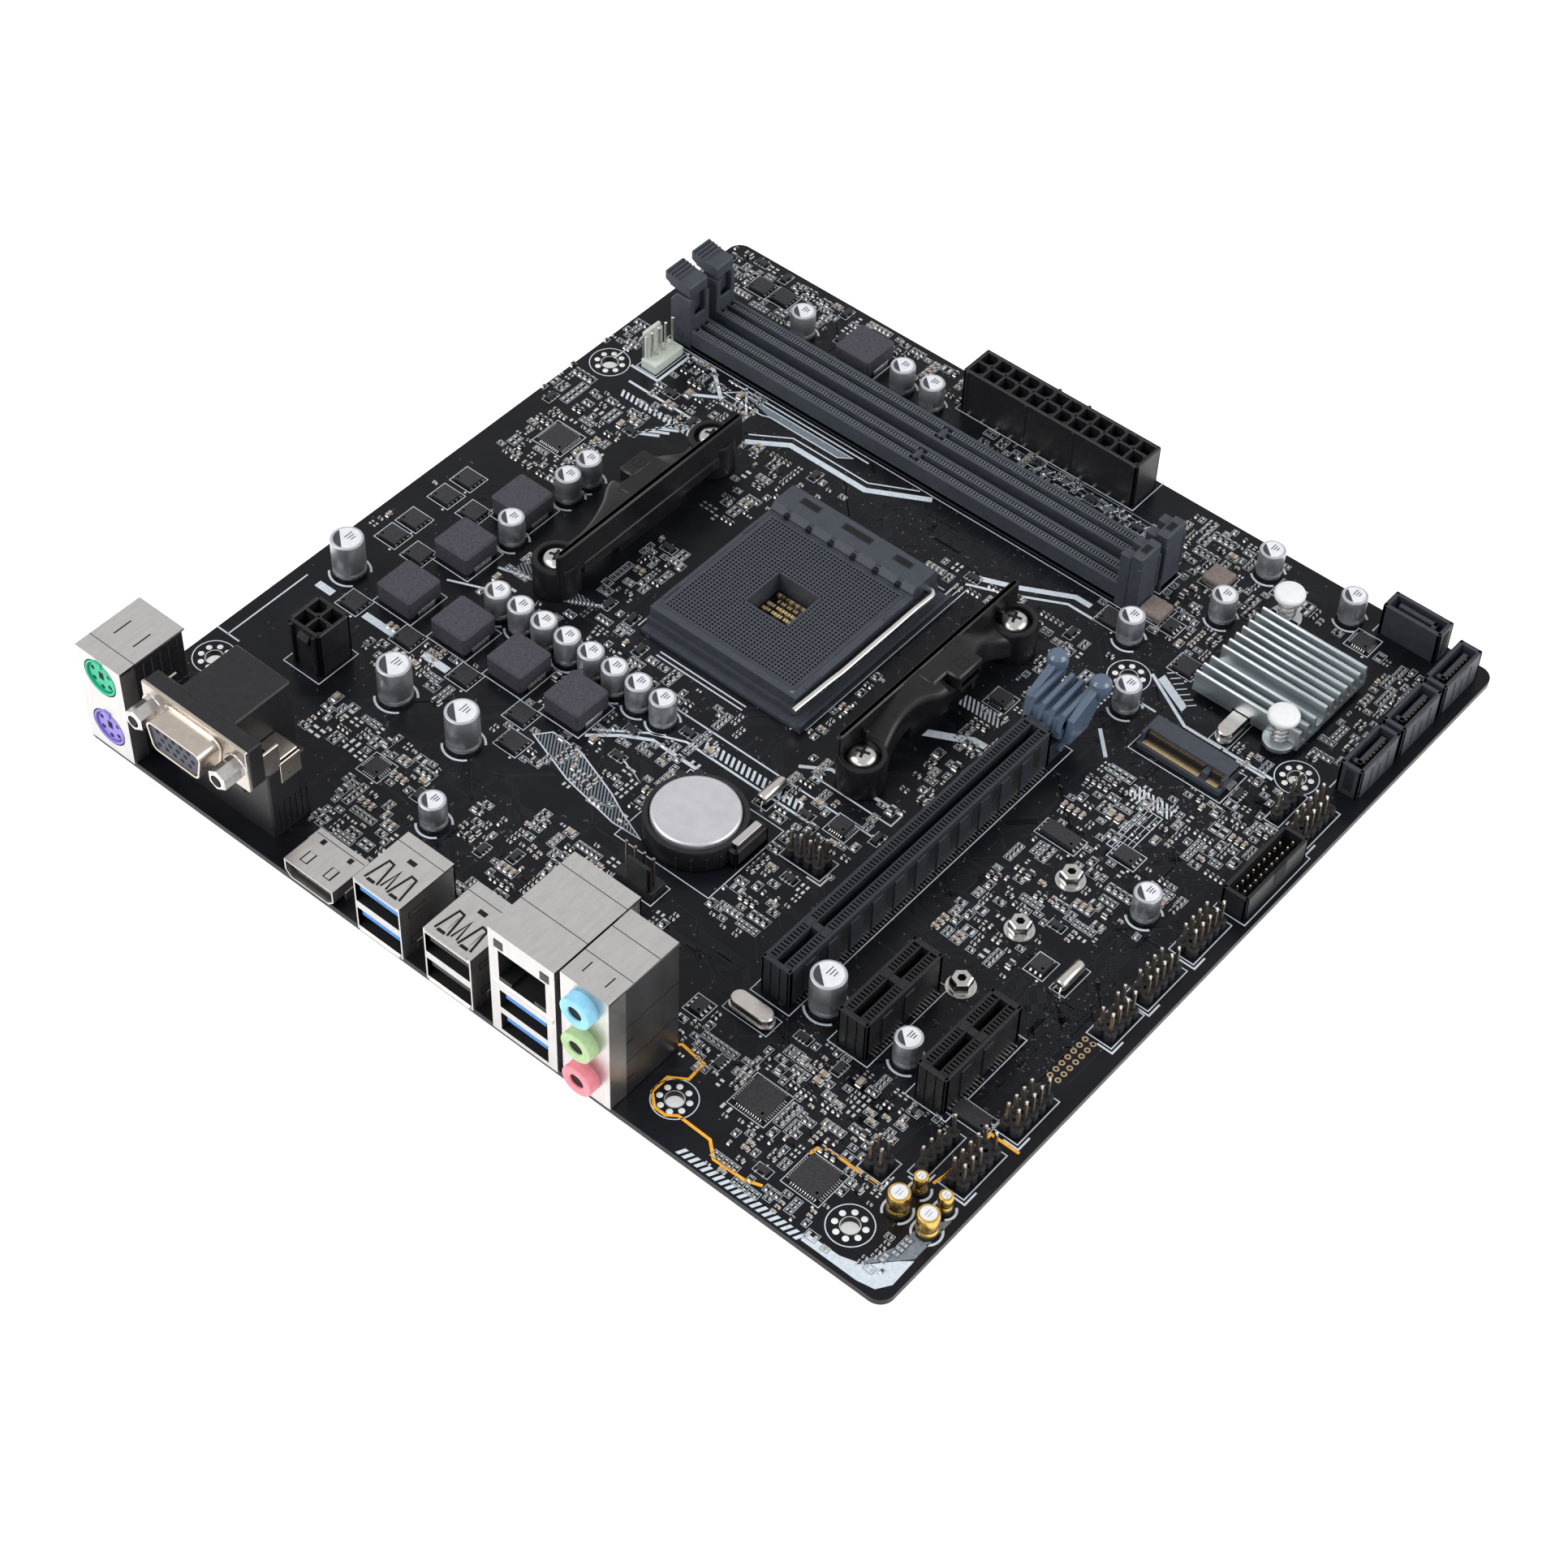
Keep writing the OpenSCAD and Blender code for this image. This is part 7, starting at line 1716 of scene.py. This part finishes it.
def copper(taken, solid):
    """Bright pads, and seeded covered traces and vias."""
    rnd = random.Random(21)
    s = Shape()
    for x, y in SCREW_HOLES:
        s.ring(x, y, 1.98, 2.2, 0.03, 0, n=48)
        for k in range(8):
            t = math.radians(22.5 + 45 * k)
            px, py = x + 3.2 * math.cos(t), y + 3.2 * math.sin(t)
            s.lathe((px, py), [(0.72, 0.04), (0.5, 0.14), (0.25, 0.17), (0.001, 0.17)], 14, "z", 3)
    # unused header: two rows of open plated holes
    for i in range(7):
        for j in range(2):
            s.ring(65 + 2 * i, -212.8 + 2 * j, 0.36, 0.7, 0.04, 1, n=18)
            s.ring(65 + 2 * i, -212.8 + 2 * j, 0.0005, 0.36, 0.045, 2, n=14)
    # dotted rows beside the slots
    y = -146
    while y < -12:
        for x in (181.1, 189.5, 190.75, 199.2):
            s.ring(x, y, 0.0005, 0.26, 0.045, 0, n=8)
        y += 1.7
    # pad rows under the power connectors
    for j in range(12):
        for side in (-1, 1):
            s.ring(MAIN_POWER[0] + side * 5.1, -123.1 + POWER_PITCH * j, 0.0005, 0.4, 0.045, 0, n=10)
    s.done("Bright_Pads", [TIN, BRONZE, HOLE, WHITE])
    # covered traces and via dots
    t = Shape()

    def clear(x, y):
        return not inside_any(x, y, solid, -0.4)

    areas = [(104, 160, -160, -114), (58, 142, -190, -160), (160, 181, -160, -20), (104, 166, -216, -188),
             (16, 46, -146, -60), (60, 100, -150, -60), (20, 44, -204, -150), (178, 219, -170, -138),
             (44, 100, -212, -198), (140, 168, -212, -160), (205, 219, -80, 4), (16, 120, -64, 5)]
    for _ in range(1150):
        x0, x1, y0, y1 = rnd.choice(areas)
        x, y = rnd.uniform(x0, x1), rnd.uniform(y0, y1)
        if not clear(x, y):
            continue
        head = rnd.choice((0, 45, 90, 135)) + rnd.choice((0, 180))
        n = rnd.choice((1, 1, 2, 3, 5))
        legs = [(rnd.uniform(3, 16), head)]
        legs.append((rnd.uniform(3, 14), head + rnd.choice((-45, 45))))
        for k in range(n):
            off = 0.55 * k
            a = math.radians(head + 90)
            px, py = x + off * math.cos(a), y + off * math.sin(a)
            pts = [(px, py)]
            for length, ang in legs:
                r = math.radians(ang)
                px, py = px + length * math.cos(r), py + length * math.sin(r)
                pts.append((px, py))
            if all(2 < q[0] < 219 and -216.5 < q[1] < 5.5 for q in pts):
                t.line(pts, 0.22, 0.022, 0)
                if n < 3:
                    for q in (pts[0], pts[-1]):
                        t.ring(q[0], q[1], 0.0005, 0.34, 0.03, 0, n=8)
                        t.ring(q[0], q[1], 0.0005, 0.14, 0.033, 1, n=6)
    # tuned traces between socket and memory
    for k in range(26):
        y = -34 - 3.3 * k
        if y > -120:
            t.line([(158 + 0.1 * k, y + 2), (164, y), (171 + (k % 4), y - 1.5), (180.6, y - 1.5)],
                   0.2, 0.022, 0)
    for _ in range(900):
        x0, x1, y0, y1 = rnd.choice(areas)
        x, y = rnd.uniform(x0, x1), rnd.uniform(y0, y1)
        if clear(x, y) and not inside_any(x, y, taken, 0.0):
            t.ring(x, y, 0.0005, 0.3, 0.028, 0, n=8)
            t.ring(x, y, 0.0005, 0.13, 0.032, 1, n=6)
    t.done("Covered_Traces", [TRACE, DRAB])


def underside():
    """Solder joints and lead ends on the underside."""
    s = Shape()
    zb = -1.6

    def joint(x, y, r=0.8, h=1.1):
        s.lathe((x, y), [(0.001, zb - h), (r * 0.3, zb - h + 0.1), (r * 0.42, zb - 0.5), (r, zb + 0.02)], 8,
                "z", 0)

    for node, r, h in (("power_pins", 1.25, 1.3), ("header_pins", 0.75, 1.1)):
        for lo, hi in islands(node):
            joint(*middle(lo, hi), r, h)
    for lo, hi in islands("capacitor_cans") + islands("audio_capacitors"):
        cx, cy = middle(lo, hi)
        for k in (-1, 1):
            joint(cx + k * 1.6, cy, 0.85, 1.0)
    for x0 in (182, 191.65):
        y = -143
        while y < -14:
            for k in (0.9, 2.6, 4.2, 5.9):
                joint(x0 + k, y, 0.5, 0.9)
            y += 2.0
    for slot, n in enumerate((42, 11, 11)):
        for k in range(n):
            for side in (-1, 1):
                joint(45 + 2.0 * k, LONG_SLOT_Y - slot * SLOT_PITCH + side * 1.7, 0.55, 0.9)
    for x, y, nx, ny, px, py in ((4, -8, 3, 3, 4.5, 4), (8, -40, 5, 3, 2.3, 2.5), (3, -92, 4, 4, 2.5, 3.5),
                                 (3, -111, 4, 4, 2.5, 3.5), (3, -133, 5, 4, 3.4, 4),
                                  (4, -147, 5, 3, 3.4, 3.6)):
        for i in range(nx):
            for j in range(ny):
                joint(x + px * i, y + py * j, 0.8, 1.1)
    for k in range(4):
        step = (k - 1.5) * PIN_PITCH
        joint(PROCESSOR_FAN[0] + step, PROCESSOR_FAN[1], 0.75, 1.1)
        joint(CASE_FAN[0], CASE_FAN[1] + step, 0.75, 1.1)
    for lo, hi in islands("chokes"):
        for k in (-1, 1):
            joint((lo[0] + hi[0]) / 2 + k * 3, (lo[1] + hi[1]) / 2, 1.2, 0.8)
    for x, y in SCREW_HOLES:
        s.ring(x, y, 2.0, 3.9, zb - 0.02, 0, n=40)
        f = s.f[-40:]
        s.f[-40:] = [q[::-1] for q in f]
    s.done("Solder_Joints", [SOLDER])


# ---------------------------------------------------------------- build everything
socket_cover()
socket_lever()
memory_slots()
expansion_slots()
chokes()
capacitors()
cooler_brackets()
storage()
power()
headers()
heatsink()
battery()
keyboard_ports()
display_port()
usb_ports()
network_port()
audio_ports()
chips()
slot_clip()
painted_nodes()
taken, solid = small_parts()
silk_art()
copper(taken, solid)
underside()

# ---------------------------------------------------------------- floor, light, camera
FLOOR = material("studio_floor", (0.93, 0.93, 0.93), 0.6, vary=0.01, scale=3, rough_vary=0.02)
glow = FLOOR.node_tree.nodes["Principled BSDF"].inputs
glow["Emission Color"].default_value = (1, 1, 1, 1)
glow["Emission Strength"].default_value = 0.45
me = bpy.data.meshes.new("Studio_Floor")
FLOOR_Z, FLOOR_R = -0.0029, 5.0
me.from_pydata([(a * FLOOR_R, b * FLOOR_R, FLOOR_Z) for a, b in ((-1, -1), (1, -1), (1, 1), (-1, 1))],
               [], [(0, 1, 2, 3)])
me.materials.append(FLOOR)
floor = bpy.data.objects.new("Studio_Floor", me)
bpy.context.scene.collection.objects.link(floor)

world = bpy.data.worlds.new("Studio")
world.use_nodes = True
world.node_tree.nodes["Background"].inputs["Color"].default_value = (1, 1, 1, 1)
world.node_tree.nodes["Background"].inputs["Strength"].default_value = 0.85
bpy.context.scene.world = world


def area_light(name, place, target, size, power, colour=(1, 1, 1)):
    """A rectangular light that faces a target."""
    data = bpy.data.lights.new(name, "AREA")
    data.shape, data.size, data.size_y = "RECTANGLE", size[0], size[1]
    data.energy, data.color = power, colour
    ob = bpy.data.objects.new(name, data)
    ob.location = place
    aim = Vector(target) - Vector(place)
    ob.rotation_euler = aim.to_track_quat("-Z", "Y").to_euler()
    bpy.context.scene.collection.objects.link(ob)


CENTRE = (0.07, -0.105, 0.0)
area_light("Key_Light", (-0.55, 0.40, 0.80), CENTRE, (0.6, 0.5), 7.0, (1, 0.985, 0.97))
area_light("Rear_Port_Light", (-0.75, -0.25, 0.35), CENTRE, (0.6, 0.4), 1.2, (0.96, 0.98, 1))
area_light("Edge_Light", (0.35, -0.75, 0.45), CENTRE, (0.7, 0.3), 4.0)

scene = bpy.context.scene
# The place (metres) and turn (degrees) that put the board's screw holes where the photograph has them
CAMERA_PLACE, CAMERA_TURN, FOCAL = (-0.31369, -0.41047, 0.54416), (40.8819, -1.6696, -49.9008), 75.5516
cam = bpy.data.cameras.new("Camera")
cam.lens, cam.sensor_width, cam.sensor_height, cam.sensor_fit = FOCAL, 36, 36, "HORIZONTAL"
cam.clip_start, cam.clip_end = 0.01, 20
camera = bpy.data.objects.new("Camera", cam)
camera.matrix_world = (Matrix.Translation(CAMERA_PLACE)
                       @ Euler([math.radians(a) for a in CAMERA_TURN]).to_matrix().to_4x4())
scene.collection.objects.link(camera)
scene.camera = camera
scene.view_settings.view_transform = "Standard"
